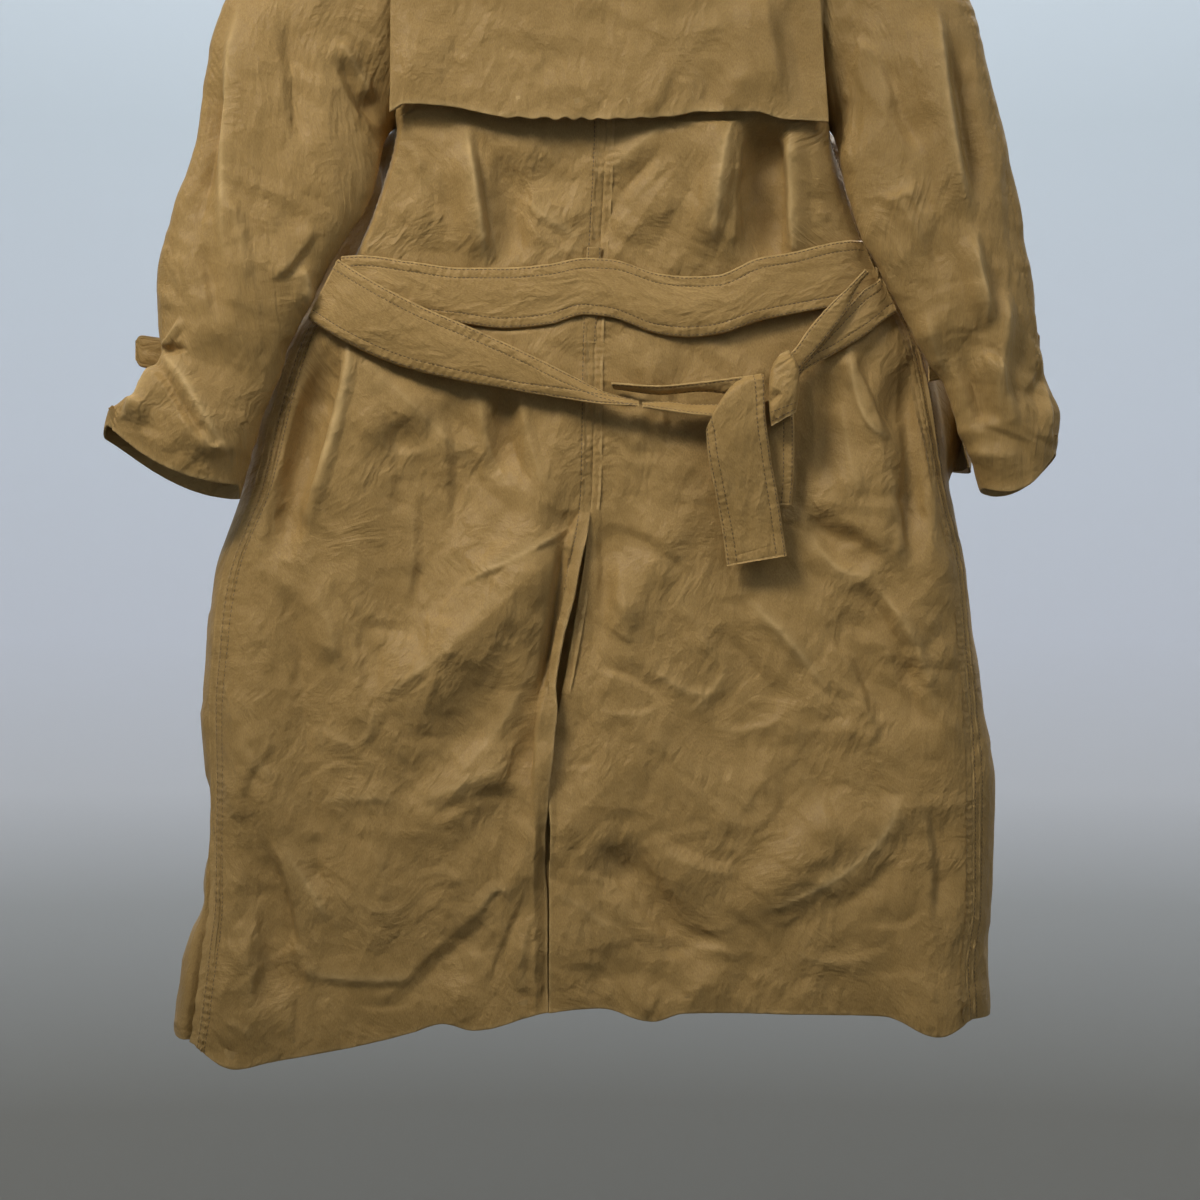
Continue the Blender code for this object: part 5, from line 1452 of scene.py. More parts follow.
def room_for_creases(x, drop):
    """How far creases may stand out before they meet the belt, the knot or the storm flap."""
    inside = (x > -BELT_REACH_X) & (x < BELT_REACH_X)
    upper, lower = BELT_BACK.at("upper", x), BELT_BACK.at("lower", x)
    off = np.maximum(np.maximum(upper - drop, drop - lower), 0.0) + np.where(inside, 0.0, 20.0)
    belt = UNDER_BELT + (FREE - UNDER_BELT) * ease(off / BELT_FREE_AT)
    past_knot = np.abs(drop - KNOT_DROP) - KNOT_REACH
    knot = UNDER_KNOT + (FREE - UNDER_KNOT) * ease(past_knot / KNOT_FREE_AT)
    flap = UNDER_FLAP + (FREE - UNDER_FLAP) * ease((drop - FLAP_DROP) / FLAP_FREE_AT)
    return np.minimum(np.minimum(belt, knot), flap)


def vent_heights(side, off, drop):
    """The vent's strip, slit and dip at a distance from the centre edge."""
    if side == RIGHT:
        return VENT.at("dip", drop) * ease((DIP_REACH - off) / DIP_FADE)
    on_strip = ease((VENT.at("strip", drop) - off) / STRIP_EDGE + 0.5)
    valley = ease((SLIT_REACH - off) / SLIT_FADE)
    turned = ease((drop - VENT_TURN_START) / 40.0) * ease((VENT_TURN_END - drop) / 60.0)
    turned = turned * ease((VENT_TURN_WIDTH - off) / VENT_TURN_FADE)
    strip = VENT.at("raise", drop) * on_strip + VENT.at("slit", drop) * (1 - on_strip) * valley
    return strip - VENT_TURN * turned


def back_surface_heights(side, x, drop, places, to_side):
    """How far a back's cloth stands out from its plain form, with its creases and its seams."""
    heights = back_heights(x, drop) * ease(to_side / SEAM_FADE + FADE_LEFT)
    heights = heights + vent_heights(side, places, drop)
    sewn = ease((VENT_TOP - drop) / VENT_TOP_SOFT + 0.5)
    pucker = CENTRE_PUCKER * ripple(drop + PUCKER_SLANT * places, SEEDS["back_centre"] + side, PUCKER)
    heights = heights + pucker * band(places, 0.0, CENTRE_BAND, PUCKER_SOFT) * sewn
    heights = heights - CENTRE_GROOVE * groove(places, 1.0) * sewn
    heights = heights - hem_lean(drop) * ease(to_side / HEM_LEAN_SIDE)
    pucker = SIDE_PUCKER * ripple(drop - PUCKER_SLANT * to_side, SEEDS["back_side"] + side, PUCKER)
    reach = SIDE_BAND if side == LEFT else PLAIN_BAND
    heights = heights + pucker * band(to_side, 0.0, reach, PUCKER_SOFT)
    heights = heights - SIDE_GROOVE * groove(to_side, 0.9)
    room = room_for_creases(x, drop)
    return room - np.logaddexp(0.0, (room - heights) * ROOM_BEND) / ROOM_BEND


def back_wear_and_highlight(side, x, drop, places, to_side):
    # The back's paler marks: wear along the seams, the hem and the vent, and painted highlight with wear
    # on the crests of keen folds
    keen = np.zeros(x.shape)
    crease_heights(BACK_CREASES, x, drop, keen)
    wear_and_highlight = worn_line("centre_seam", places) + worn_line("side_seam", to_side) + CREST_WEAR_AND_HIGHLIGHT * keen
    wear_and_highlight = wear_and_highlight + worn_line("hem", drop - HEM.at("drop", x))
    if side == LEFT:
        wear_and_highlight = wear_and_highlight + worn_line("vent", places) * ease((drop - WORN_VENT_TOP) / WORN_VENT_FADE)
    return wear_and_highlight


def make_back(side):
    low, high = np.linspace(0, 1, BACK_ROWS), 1 + np.linspace(0, 1, HIDDEN_ROWS)[1:]
    levels = np.concatenate([low, high])[:, None]
    end = 1 + seam_turn(side, levels)
    turns, places, total = spread_turns(side, levels, 0.0, end, BACK_COLUMNS)
    plain = body(side, turns, levels)
    gap = VENT.at("gap", -plain[:, :1, 2]) - OFF_EDGE
    plain[..., 0] += side * gap * ease((VENT_PULL - places) / VENT_PULL)
    x, drop, to_side = plain[..., 0], -plain[..., 2], total - places
    heights = back_surface_heights(side, x, drop, places, to_side)
    points = plain + outward_normals(plain) * heights[..., None]
    after = outward_normals(points)
    stitched = np.full(places.shape, NO_STITCH)
    if side == LEFT:
        column = column_at(places, TOPSTITCH)
        rows = (drop[:, 0] > STITCHES_SHOW) & (drop[:, column] < VENT_STITCH_END)
        past_end = 30 * (drop > VENT_STITCH_END)
        stitched = np.minimum(stitched, np.abs(places - TOPSTITCH) + past_end)
        thread.row(points[rows, column], after[rows, column])
        for distance in SIDE_STITCHES:
            column = column_at(total - places, distance)
            stitched = np.minimum(stitched, np.abs(to_side - distance))
            rows = levels[:, 0] < 1
            thread.row(points[rows, column], after[rows, column])
    marks = {"stitch": stitched, "wear_and_highlight": back_wear_and_highlight(side, x, drop, places, to_side)}
    name = "back_" + SIDE_NAMES[side] + "_cloth"
    return turned_sheet(name, points, after, BACK_OUTWARD, marks, BACK_TURNED)


for side in (LEFT, RIGHT):
    made = make_back(side)
    declare(made, ["back_" + SIDE_NAMES[side]])


# ---------------------------------------------------------------- the fronts

FRONT_ROWS = 150            # hem to underarm
FRONT_HIGH_ROWS = 44        # underarm to shoulder
FRONT_COLUMNS = 60
FRONT_EDGE_TURN = 4.0
FRONT_OUTWARD = (0, 1.0, 0)
FRONT_TURNED = ((0, "first", 14.0), (1, "last", 20.0), (1, "first", 7.0))

SIDE_CREASES = Table(
    CREASE,
    # the strip of the left front that shows from behind
    (-312, 740, -317, 800, -313, 860, 8, 6, -2.5, 0.4),
    (-318, 850, -322, 900, -332, 990, 6, 7, 3.0, 0.6),
    (-312, 905, -318, 960, -328, 1060, 5, 5, -4.0, 0.7),
    (-306, 860, -306, 920, -312, 1000, 5, 6, 3.5, 0.6),
    (-300, 960, -304, 1010, -316, 1090, 5, 5, -3.5, 0.7),
    (-330, 1010, -334, 1060, -336, 1100, 5, 5, 2.5, 0.5),
)

FRONT_CREASES = Table(
    CREASE,
    (-150, 470, -190, 600, -215, 760, 18, 12, 6.0, 0.4),
    (150, 470, 196, 600, 215, 760, 12, 18, 6.0, 0.4),
    (-120, 500, -150, 640, -165, 800, 14, 16, -5.0, 0.2),
    (120, 500, 150, 640, 165, 800, 14, 16, -5.0, 0.2),
    (-90, 760, -110, 880, -100, 1010, 18, 22, 5.0, 0.2),
    (60, 740, 90, 880, 84, 1030, 22, 18, 5.0, 0.2),
    (-230, 800, -200, 920, -214, 1060, 16, 20, 5.0, 0.3),
    (220, 800, 196, 920, 210, 1060, 20, 16, 5.0, 0.3),
    (-160, 520, -90, 545, -40, 520, 9, 14, 3.0, 0.4),
    (40, 525, 90, 548, 160, 520, 9, 14, 3.0, 0.4),
    (-150, 250, -130, 330, -140, 420, 14, 14, -4.0, 0.3),
    (150, 250, 130, 330, 140, 420, 14, 14, -4.0, 0.3),
)
FRONT_CRUMPLES = crumples(23, Table(
    CRUMPLE,
    (-330, 720, 330, 1110, 117, 18, 105, 1.9, 21, 1.1, 70, 60),
    (-250, 420, 250, 720, 54, 20, 105, 1.9, 23, 0.9, 30, 60),
    (-170, 170, 170, 420, 22, 18, 90, 2.2, 21, 0.6, 20, 60),
))


FRONT_FOLDS = 1.3           # how much deeper than noted the fronts' folds are
FRONT_SEED = 29
BEHIND_BLEND = 16.0         # depth over which the cloth turns from the back to the front
EDGE_FADE = 40.0            # creases fade out this far from the free edge
EDGE_FADE_LEFT = 0.15       # and leave this much of themselves at it
COVERED_FROM = 30.0         # the left front is smooth from this far outside the right one's edge
COVERED_BLEND = 25.0
FRONT_SIDE_PUCKER = 0.45
FRONT_EDGE_PUCKER = 0.25
FRONT_SIDE_GROOVE = 0.4
LOWEST = -8.0               # limits of a front's creases
HIGHEST = {LEFT: 1.4, RIGHT: 2.6}
ARMPIT_DROP = 407.0         # where the body's side swells into the armhole's lower end
ARMPIT_SWELL = {LEFT: 15.0, RIGHT: 8.0}
ARMPIT_HEIGHT = 20.0
ARMPIT_REACH = 60.0         # the swelling runs out this far from the side seam
ARMPIT_FADE = 40.0
PLEAT_TOP = 950.0           # from here the left front hangs in behind the side seam
PLEAT_TOP_FADE = 60.0
PLEAT_WIDTH = 20.0
PLEAT_DEPTH = 13.0


def front_heights(x, drop, behind):
    """Creases of a front; behind is 1 where the cloth faces the back."""
    shared = crease_heights(FRONT_CRUMPLES, x, drop)
    folds = FRONT_FOLDS * crease_heights(FRONT_CREASES, x, drop) * (1 - behind)
    side = crease_heights(SIDE_CREASES, x, drop) * behind
    return shared + folds + side + crumpled(FRONT_SEED, x, drop) * (1 - 0.5 * behind)


def front_surface_heights(side, plain, places, to_edge):
    """How far a front's cloth stands out from its plain form, with its creases and its seams."""
    x, drop = plain[..., 0], -plain[..., 2]
    behind = ease(0.5 - plain[..., 1] / BEHIND_BLEND)
    fade = ease(places / SEAM_FADE + FADE_LEFT) * ease(to_edge / EDGE_FADE + EDGE_FADE_LEFT)
    heights = front_heights(x, drop, behind) * fade
    if side == LEFT:
        covered = ease((x - front_edge(RIGHT, drop) + COVERED_FROM) / COVERED_BLEND)
        heights = heights * (1 - covered)
    reach = SIDE_BAND if side == RIGHT else PLAIN_BAND
    pucker = FRONT_SIDE_PUCKER * ripple(drop - PUCKER_SLANT * places, SEEDS["front_side"] + side, PUCKER)
    heights = heights + pucker * band(places, 0.0, reach, 6.0)
    pucker = FRONT_EDGE_PUCKER * ripple(drop, SEEDS["front_edge"] + side)
    heights = heights + pucker * band(to_edge, 0.0, CENTRE_BAND, 5.0)
    heights = heights - FRONT_SIDE_GROOVE * groove(places, 0.9)
    heights = np.clip(heights, LOWEST, HIGHEST[side])
    if side == LEFT:
        pleat = ease((drop - PLEAT_TOP) / PLEAT_TOP_FADE) * ease((PLEAT_WIDTH - places) / 10.0)
        heights = heights - PLEAT_DEPTH * pleat * ease((places - 1.0) / 6.0)
    swell = groove(drop - ARMPIT_DROP, ARMPIT_HEIGHT)
    swell = swell * ease((ARMPIT_REACH - places) / ARMPIT_FADE) * ease(places / 12.0)
    return heights + ARMPIT_SWELL[side] * swell


def make_front(side):
    low, high = np.linspace(0, 1, FRONT_ROWS), 1 + np.linspace(0, 1, FRONT_HIGH_ROWS)[1:]
    levels = np.concatenate([low, high])[:, None]
    seam = seam_turn(side, levels)
    start = np.where(levels < 1, 1 + seam, 3 - seam)
    turns, places, total = spread_turns(side, levels, start, FRONT_EDGE_TURN, FRONT_COLUMNS)
    plain = body(side, turns, levels)
    to_edge, drop = total - places, -plain[..., 2]
    heights = front_surface_heights(side, plain, places, to_edge)
    points = plain + outward_normals(plain) * heights[..., None]
    after = outward_normals(points)
    stitched = np.full(places.shape, NO_STITCH)
    if side == RIGHT:
        rows = levels[:, 0] < 1
        for distance in SIDE_STITCHES:
            column = column_at(places, distance)
            stitched = np.minimum(stitched, np.abs(places - distance))
            thread.row(points[rows, column], after[rows, column])
    column = column_at(to_edge, TOPSTITCH)
    stitched = np.minimum(stitched, np.abs(to_edge - TOPSTITCH))
    rows = drop[:, column] > BREAK_DROP
    thread.row(points[rows, column], after[rows, column])
    wear_and_highlight = worn_line("side_seam", places) + worn_line("front_edge", to_edge)
    wear_and_highlight = wear_and_highlight + worn_line("hem", drop - drop[:1])
    marks = {"stitch": stitched, "wear_and_highlight": wear_and_highlight}
    name = "front_" + SIDE_NAMES[side] + "_cloth"
    return turned_sheet(name, points, after, FRONT_OUTWARD, marks, FRONT_TURNED)


for side in (LEFT, RIGHT):
    made = make_front(side)
    declare(made, ["front_" + SIDE_NAMES[side]])


# ---------------------------------------------------------------- the storm flap

FLAP_CREASES = Table(
    CREASE,
    (132, 280, 141, 330, 148, 384, 34, 5, 6.0, 1.0),
    (152, 285, 160, 330, 167, 388, 6, 14, -3.0, 0.5),
    (47, 389, 50, 366, 74, 330, 5, 8, 2.2, 0.6),
    (74, 330, 86, 318, 110, 312, 6, 9, 1.6, 0.5),
    (-150, 300, -146, 340, -152, 374, 8, 12, 2.4, 0.3),
    (-118, 318, -110, 346, -112, 376, 9, 9, -2.0, 0.3),
    (-76, 300, -40, 322, 10, 318, 9, 12, 1.8, 0.3),
    (-70, 352, -30, 362, 20, 356, 7, 12, 1.6, 0.4),
    (-62, 388, -60, 376, -56, 362, 4, 7, 0.7, 0.7),
    (-38, 388, -37, 378, -34, 366, 4, 7, -0.7, 0.7),
    (-16, 390, -15, 380, -12, 368, 4, 7, 0.7, 0.7),
    (6, 390, 6, 380, 8, 370, 4, 7, -0.7, 0.7),
    (26, 389, 26, 378, 28, 364, 4, 7, 0.7, 0.7),
    (84, 384, 90, 366, 92, 340, 8, 8, -2.2, 0.4),
    (108, 384, 112, 366, 118, 346, 6, 6, 1.8, 0.5),
    (-130, 210, -90, 250, -60, 310, 14, 12, 2.2, 0.3),
    (130, 210, 96, 250, 70, 310, 12, 14, 2.2, 0.3),
    (-20, 180, -10, 240, -16, 300, 12, 14, -1.6, 0.2),
)
FLAP_CRUMPLES = crumples(37, Table(
    CRUMPLE,
    (-165, 230, 180, 390, 31, 15, 90, 1.7, 19, 0.6, 60, 60),
))


FLAP_ROWS = 118
FLAP_COLUMNS = 150
FLAP_TURNED = ((0, "last", 16.0), (1, "first", 10.0), (1, "last", 10.0))
FLAP_LENGTH = 230.0         # from the shoulder to its free edge
SCALLOP = 1.4               # its edge's own small waves near the centre
SCALLOP_PITCH = 17.0
SCALLOP_ENDS = (-66.0, 44.0)    # x between which they show
SCALLOP_FADE = 16.0
SCALLOP_REACH = 9.0
FLAP_FACETS = 0.5           # the flap is smoother than the skirt
FLAP_FOLDS = 1.35           # how much deeper than noted its folds are
FLAP_SEED = 61
FLAP_PUCKER = 0.35
FLAP_PUCKER_PITCH = 9.0
FLAP_PUCKER_BAND = 7.0


def make_flap():
    share = np.linspace(0, 1, FLAP_ROWS)[:, None]
    plain = flap_points(np.linspace(0, 1, FLAP_COLUMNS), share)
    to_edge = (1 - share) * FLAP_LENGTH
    scallop = band(plain[..., 0], *SCALLOP_ENDS, SCALLOP_FADE) * np.exp(-to_edge / SCALLOP_REACH)
    plain[..., 2] += SCALLOP * ripple(plain[..., 0], SEEDS["scallop"], SCALLOP_PITCH) * scallop
    x, drop = plain[..., 0], -plain[..., 2]
    heights = crease_heights(FLAP_CREASES, x, drop) + crease_heights(FLAP_CRUMPLES, x, drop)
    heights = FLAP_FOLDS * (heights + FLAP_FACETS * crumpled(FLAP_SEED, x, drop))
    pucker = FLAP_PUCKER * ripple(x + 0.3 * to_edge, SEEDS["flap_edge"], FLAP_PUCKER_PITCH)
    heights = heights + pucker * band(to_edge, 0.0, FLAP_PUCKER_BAND, 6.0)
    heights = heights * ease(share * 4)
    points = plain + outward_normals(plain) * heights[..., None]
    marks = {"stitch": np.full(x.shape, NO_STITCH), "wear_and_highlight": worn_line("flap_edge", to_edge) + 0 * x}
    return turned_sheet("storm_flap_cloth", points, outward_normals(points), BACK_OUTWARD, marks,
                        FLAP_TURNED)


declare(make_flap(), ["storm_flap"])


# ---------------------------------------------------------------- the sleeves

SLEEVE_ROUND = 220
SLEEVE_ROWS = 272
LAST_RING = 12
SLEEVE_CREASES = {
    LEFT: Table(
        CREASE,
        (-282, 280, -296, 395, -294, 520, 4, 22, 4.0, 1.0),
        (-297, 345, -305, 410, -318, 486, 9, 4, -4.0, 0.8),
        (-250, 300, -242, 360, -236, 420, 4.5, 12.2, -3.0, 0.7),
        (-208, 328, -190, 366, -168, 392, 4, 16, -5.0, 0.9),
        (-206, 318, -188, 350, -170, 372, 9.5, 4, 3.0, 0.8),
        (-244, 445, -238, 480, -232, 516, 10, 6, -1.8, 0.8),
        (-238, 506, -231, 520, -236, 546, 6.8, 4, 3.0, 1.0),
        (-222, 470, -240, 500, -262, 520, 10.8, 3.5, 2.5, 0.7),
        (-300, 440, -282, 480, -278, 530, 10.8, 4.5, 2.5, 0.7),
        (-320, 480, -306, 520, -300, 556, 3.5, 9.5, -2.5, 0.7),
        (-348, 572, -338, 560, -330, 546, 4.1, 1.5, 2.5, 1.0),
        (-346, 576, -334, 574, -322, 572, 1.5, 4.1, -3.0, 1.0),
        (-350, 570, -321, 606, -282, 690, 40.5, 20, 4.5, 1.0),
        (-353, 580, -329, 615, -297, 676, 3, 4.5, -3.0, 1.0),
        (-348, 580, -360, 608, -383, 641, 3, 14, 3.5, 1.0),
        (-340, 600, -352, 630, -360, 650, 4, 16.2, -1.5, 0.7),
        (-312, 636, -306, 656, -296, 650, 6.8, 3, 2.6, 0.9),
        (-380, 606, -366, 618, -352, 620, 6.8, 2.5, 2.0, 0.9),
        (-330, 620, -322, 650, -310, 676, 6, 12, 1.0, 0.5),
        (-250, 560, -246, 590, -256, 640, 3.5, 9.5, -3.0, 0.7),
    ),
    RIGHT: Table(
        CREASE,
        (273, 284, 278, 384, 299, 476, 14, 5, 5.5, 1.0),
        (282, 300, 292, 390, 306, 470, 5, 9, -4.0, 0.7),
        (295, 482, 304, 520, 312, 562, 8.1, 3, 3.5, 1.0),
        (320, 520, 325, 570, 317, 632, 12, 6, 2.2, 1.0),
        (226, 330, 240, 380, 262, 420, 5, 12.2, -3.5, 0.7),
        (206, 320, 226, 352, 238, 390, 10.8, 4, 3.0, 0.7),
        (220, 420, 250, 450, 270, 500, 12.2, 4.5, 3.0, 0.7),
        (238, 440, 262, 480, 276, 530, 3.5, 9.5, -2.5, 0.7),
        (336, 400, 330, 450, 334, 520, 5, 16.2, -1.8, 0.7),
        (358, 588, 350, 602, 340, 616, 3, 12.2, -1.4, 0.8),
        (358, 590, 362, 620, 364, 656, 5.4, 3, 2.2, 1.0),
        (300, 570, 322, 600, 332, 640, 10.8, 4, 3.0, 0.7),
        (286, 570, 300, 610, 306, 640, 3.5, 9.5, -3.0, 0.7),
        (300, 648, 318, 659, 338, 655, 12.2, 6, 1.6, 0.9),
        (262, 540, 272, 570, 280, 600, 8.1, 3.5, 2.5, 0.8),
        (340, 560, 350, 575, 356, 592, 5.4, 2.5, 0.9, 0.9),
        (296, 470, 305, 515, 311, 560, 9, 4, 3.0, 1.0),
        (321, 524, 323, 564, 315, 628, 8, 5, 2.4, 1.0),
    ),
}
SLEEVE_CRUMPLES = {
    LEFT: crumples(41, Table(
        CRUMPLE,
        (-330, 200, -160, 420, 27, 18, 105, 1.8, 21, 0.6, -20, 50),
        (-350, 420, -190, 580, 31, 15, 90, 1.7, 19, 0.6, -30, 60),
        (-395, 560, -235, 690, 27, 13, 67, 1.5, 16, 0.6, -50, 50),
    )),
    RIGHT: crumples(43, Table(
        CRUMPLE,
        (190, 200, 350, 420, 27, 18, 105, 1.8, 21, 0.6, 20, 50),
        (200, 420, 360, 580, 31, 15, 90, 1.7, 19, 0.6, 30, 60),
        (260, 560, 380, 690, 27, 13, 67, 1.5, 16, 0.6, 60, 50),
    )),
}
FAR_CRUMPLES = {
    LEFT: crumples(47, Table(
        CRUMPLE,
        (-390, 200, -160, 690, 67, 18, 105, 1.7, 21, 1.2, -25, 50),
    )),
    RIGHT: crumples(53, Table(
        CRUMPLE,
        (190, 200, 380, 690, 67, 18, 105, 1.7, 21, 1.2, 25, 50),
    )),
}
SLEEVE_FOLDS = {LEFT: 2.0, RIGHT: 2.5}     # how much deeper than noted its folds are
SLEEVE_FACETS = {LEFT: 0.8, RIGHT: 1.15}
SLEEVE_SEED = 67
FAR_SEED = 81
SLEEVE_TOP_FADE = 25.0      # creases fade out this close to the armhole
SLEEVE_ROOM = 30.0          # they stand out no further than this,
INSIDE_ROOM = 1.4           # and than this beside the body
INSIDE_END = 6.5            # the ring down to which the sleeve lies beside the body
INSIDE_FADE = 1.5
SLEEVE_SEAM = 24.0          # degrees from its outer line
SLEEVE_RADIUS = 55.0        # its round there, for the distance from its seam
SLEEVE_PUCKER = 0.75
SLEEVE_PUCKER_PITCH = 7.0
SLEEVE_GROOVE = 0.8
CUFF_RISE = {LEFT: 11.0, RIGHT: 2.0}   # the cuff's back edge lies this much higher than its front
CUFF_RISE_START = 10.2      # from this ring on
CUFF_RISE_FADE = 1.8
CUFF_TURNED = 16.0
CUFF_ROLL = 0.9


def tube_normals(points, centre):
    """Normals of a tube that face away from its middle."""
    normals = grid_normals(points, ring=True)
    turned = np.sum(normals * (points - centre), axis=-1).mean() < 0
    return -normals if turned else normals


def sleeve_heights(side, plain, angles, along, lengths, keen):
    """How far a sleeve's cloth stands out from its plain form; marks its keen crests in keen, for their
    wear and painted highlight.
    """
    x, drop = plain[..., 0], -plain[..., 2]
    behind = ease(0.5 + 1.2 * np.sin(angles)) + 0 * along
    near = SLEEVE_FOLDS[side] * crease_heights(SLEEVE_CREASES[side], x, drop, keen)
    near = near + crease_heights(SLEEVE_CRUMPLES[side], x, drop)
    near = near + SLEEVE_FACETS[side] * crumpled(SLEEVE_SEED + side, x, drop)
    far = crease_heights(FAR_CRUMPLES[side], x, drop) + crumpled(FAR_SEED + side, x, drop)
    heights = near * behind + far * (1 - behind)
    heights = heights * ease(lengths / SLEEVE_TOP_FADE)
    inside = ease(0.5 - 1.5 * np.cos(angles)) * ease((INSIDE_END - along) / INSIDE_FADE)
    heights = np.minimum(heights, SLEEVE_ROOM - (SLEEVE_ROOM - INSIDE_ROOM) * inside)
    from_seam = (angles - np.radians(SLEEVE_SEAM) + np.pi) % (2 * np.pi) - np.pi
    seam = np.abs(from_seam) * SLEEVE_RADIUS + 0 * along
    ripples = ripple(lengths + PUCKER_SLANT * seam, SEEDS["sleeve"] + side, SLEEVE_PUCKER_PITCH)
    heights = heights + SLEEVE_PUCKER * ripples * band(seam, 0.0, 4.0, 5.0)
    return heights - SLEEVE_GROOVE * groove(seam, 1.1), behind


def make_sleeve(side):
    angles = np.linspace(0, 2 * np.pi, SLEEVE_ROUND, endpoint=False)
    along = np.linspace(0, LAST_RING, SLEEVE_ROWS)[:, None]
    plain = sleeve(side, angles, along)
    centre = plain.mean(axis=1, keepdims=True)
    lengths = arc_lengths(plain, 0)
    keen = np.zeros(plain.shape[:2])
    heights, behind = sleeve_heights(side, plain, angles, along, lengths, keen)
    points = plain + tube_normals(plain, centre) * heights[..., None]
    facing = ease(0.5 + 2.2 * np.sin(angles))
    rising = ease((along - CUFF_RISE_START) / CUFF_RISE_FADE)
    points[..., 2] += CUFF_RISE[side] * facing * rising
    after = tube_normals(points, centre)
    # paler marks: wear at the cuff, and painted highlight with wear on the crests of keen folds
    wear_and_highlight = worn_line("cuff", lengths - lengths[-1:]) + CREST_WEAR_AND_HIGHLIGHT * keen * behind
    points = roll_edge(points, after, 0, "last", CUFF_TURNED, radius=CUFF_ROLL)
    marks = {"stitch": np.full(points.shape[:2], NO_STITCH), "wear_and_highlight": extend(wear_and_highlight, 0, "last")}
    name = "sleeve_" + SIDE_NAMES[side] + "_cloth"
    return sheet_mesh(name, points, cloth, None, ring=True, marks=marks)


for side in (LEFT, RIGHT):
    halves = ["sleeve_" + SIDE_NAMES[side] + part for part in ("_back", "_front")]
    declare(make_sleeve(side), halves)


# ---------------------------------------------------------------- the belt

BELT_FIRST = 1.8            # rows of stitches from the edge
BELT_STITCH = 8.5
BELT_FACETS = Table(FACET, (34, 25, 1.5, 1.3), (13, -30, 2.0, 0.4))    # its slight dents
STITCH_DENT = 0.2


# How far a stretch's cloth runs on past its own ends, out of sight: its new end row
HIDDEN_ENDS = {
    "belt_upper_strip": ((1.15, 131, 592, -66, 131, 616, -62),),
    "belt_lower_strip": ((1.2, 128, 613, -60, 128, 627, -62),),
    "belt_rear_end": ((-0.4, 157, 612, -59, 121, 614, -57),),
    "belt_right_narrow": ((1.12, 151, 579, -66, 160, 592, -63),),
    "belt_right_wide": ((-0.1, 225, 504, -43.5, 242, 541, -42), (1.15, 155, 585, -58, 160, 596, -58)),
}


def run_on(node, rows):
    """A stretch's table with its hidden ends, its share again from 0 to 1."""
    every = [tuple(row[name] for name in rows.names) for row in rows.as_dicts()]
    every = sorted(every + list(HIDDEN_ENDS.get(node, ())))
    first, last = every[0][0], every[-1][0]
    again = [((row[0] - first) / (last - first),) + row[1:] for row in every]
    return Table(" ".join(rows.names), *again)


def belt_surface(rows, steps, count, bow):
    """The outer face of a stretch of belt, from its upper to its lower edge."""
    share = np.linspace(0, 1, steps)
    edges = []
    for edge in ("upper", "lower"):
        x, depth, drop = (rows.at(edge + key, share) for key in ("_x", "_depth", "_drop"))
        edges.append(np.stack([x, depth, -drop], axis=-1))
    across = np.linspace(0, 1, count)[:, None, None]
    points = edges[0] + (edges[1] - edges[0]) * across
    points[..., 1] -= bow * np.sin(np.pi * across[..., 0])
    return points


def strip_normals(points, outward):
    """Normals on the side of a strip that faces outward."""
    normals = grid_normals(points)
    turned = np.sum(normals * np.array(outward), axis=-1).mean() < 0
    return -normals if turned else normals


def capped(rings):
    """A tube's rings with both of its ends closed."""
    first, last = rings[:1].mean(axis=1, keepdims=True), rings[-1:].mean(axis=1, keepdims=True)
    ends = rings[:1] * 0.0 + first, rings[-1:] * 0.0 + last
    return np.concatenate([ends[0], rings[:1], rings, rings[-1:], ends[1]])


def capped_marks(values):
    return np.concatenate([values[:1], values[:1], values, values[-1:], values[-1:]])


def face_heights(seed, down, to_edge, along, rows_at, end_rows, pucker):
    """A strip's puckers and dents, and how far its places are from its rows of stitches."""
    heights = pucker * ripple(along + 0.4 * down, seed, PUCKER) * band(to_edge, 0.0, BELT_STITCH, 4.0)
    dents = crumpled(int(seed), along + 0 * down, down, BELT_FACETS)
    heights = heights + dents * ease(to_edge / 6.0)
    marks = np.full(down.shape, NO_STITCH)
    for distance in rows_at:
        marks = np.minimum(marks, np.abs(to_edge - distance))
    if end_rows:
        to_end = along[:, -1:] - along
        ripples = pucker * ripple(down, seed + 5.0, PUCKER)
        heights = heights + ripples * band(to_end, 0, BELT_STITCH, 4.0)
        for distance in rows_at:
            nearer = np.minimum(marks, np.abs(to_end - distance))
            marks = np.where(to_edge > distance, nearer, marks)
    return heights - STITCH_DENT * groove(marks), marks


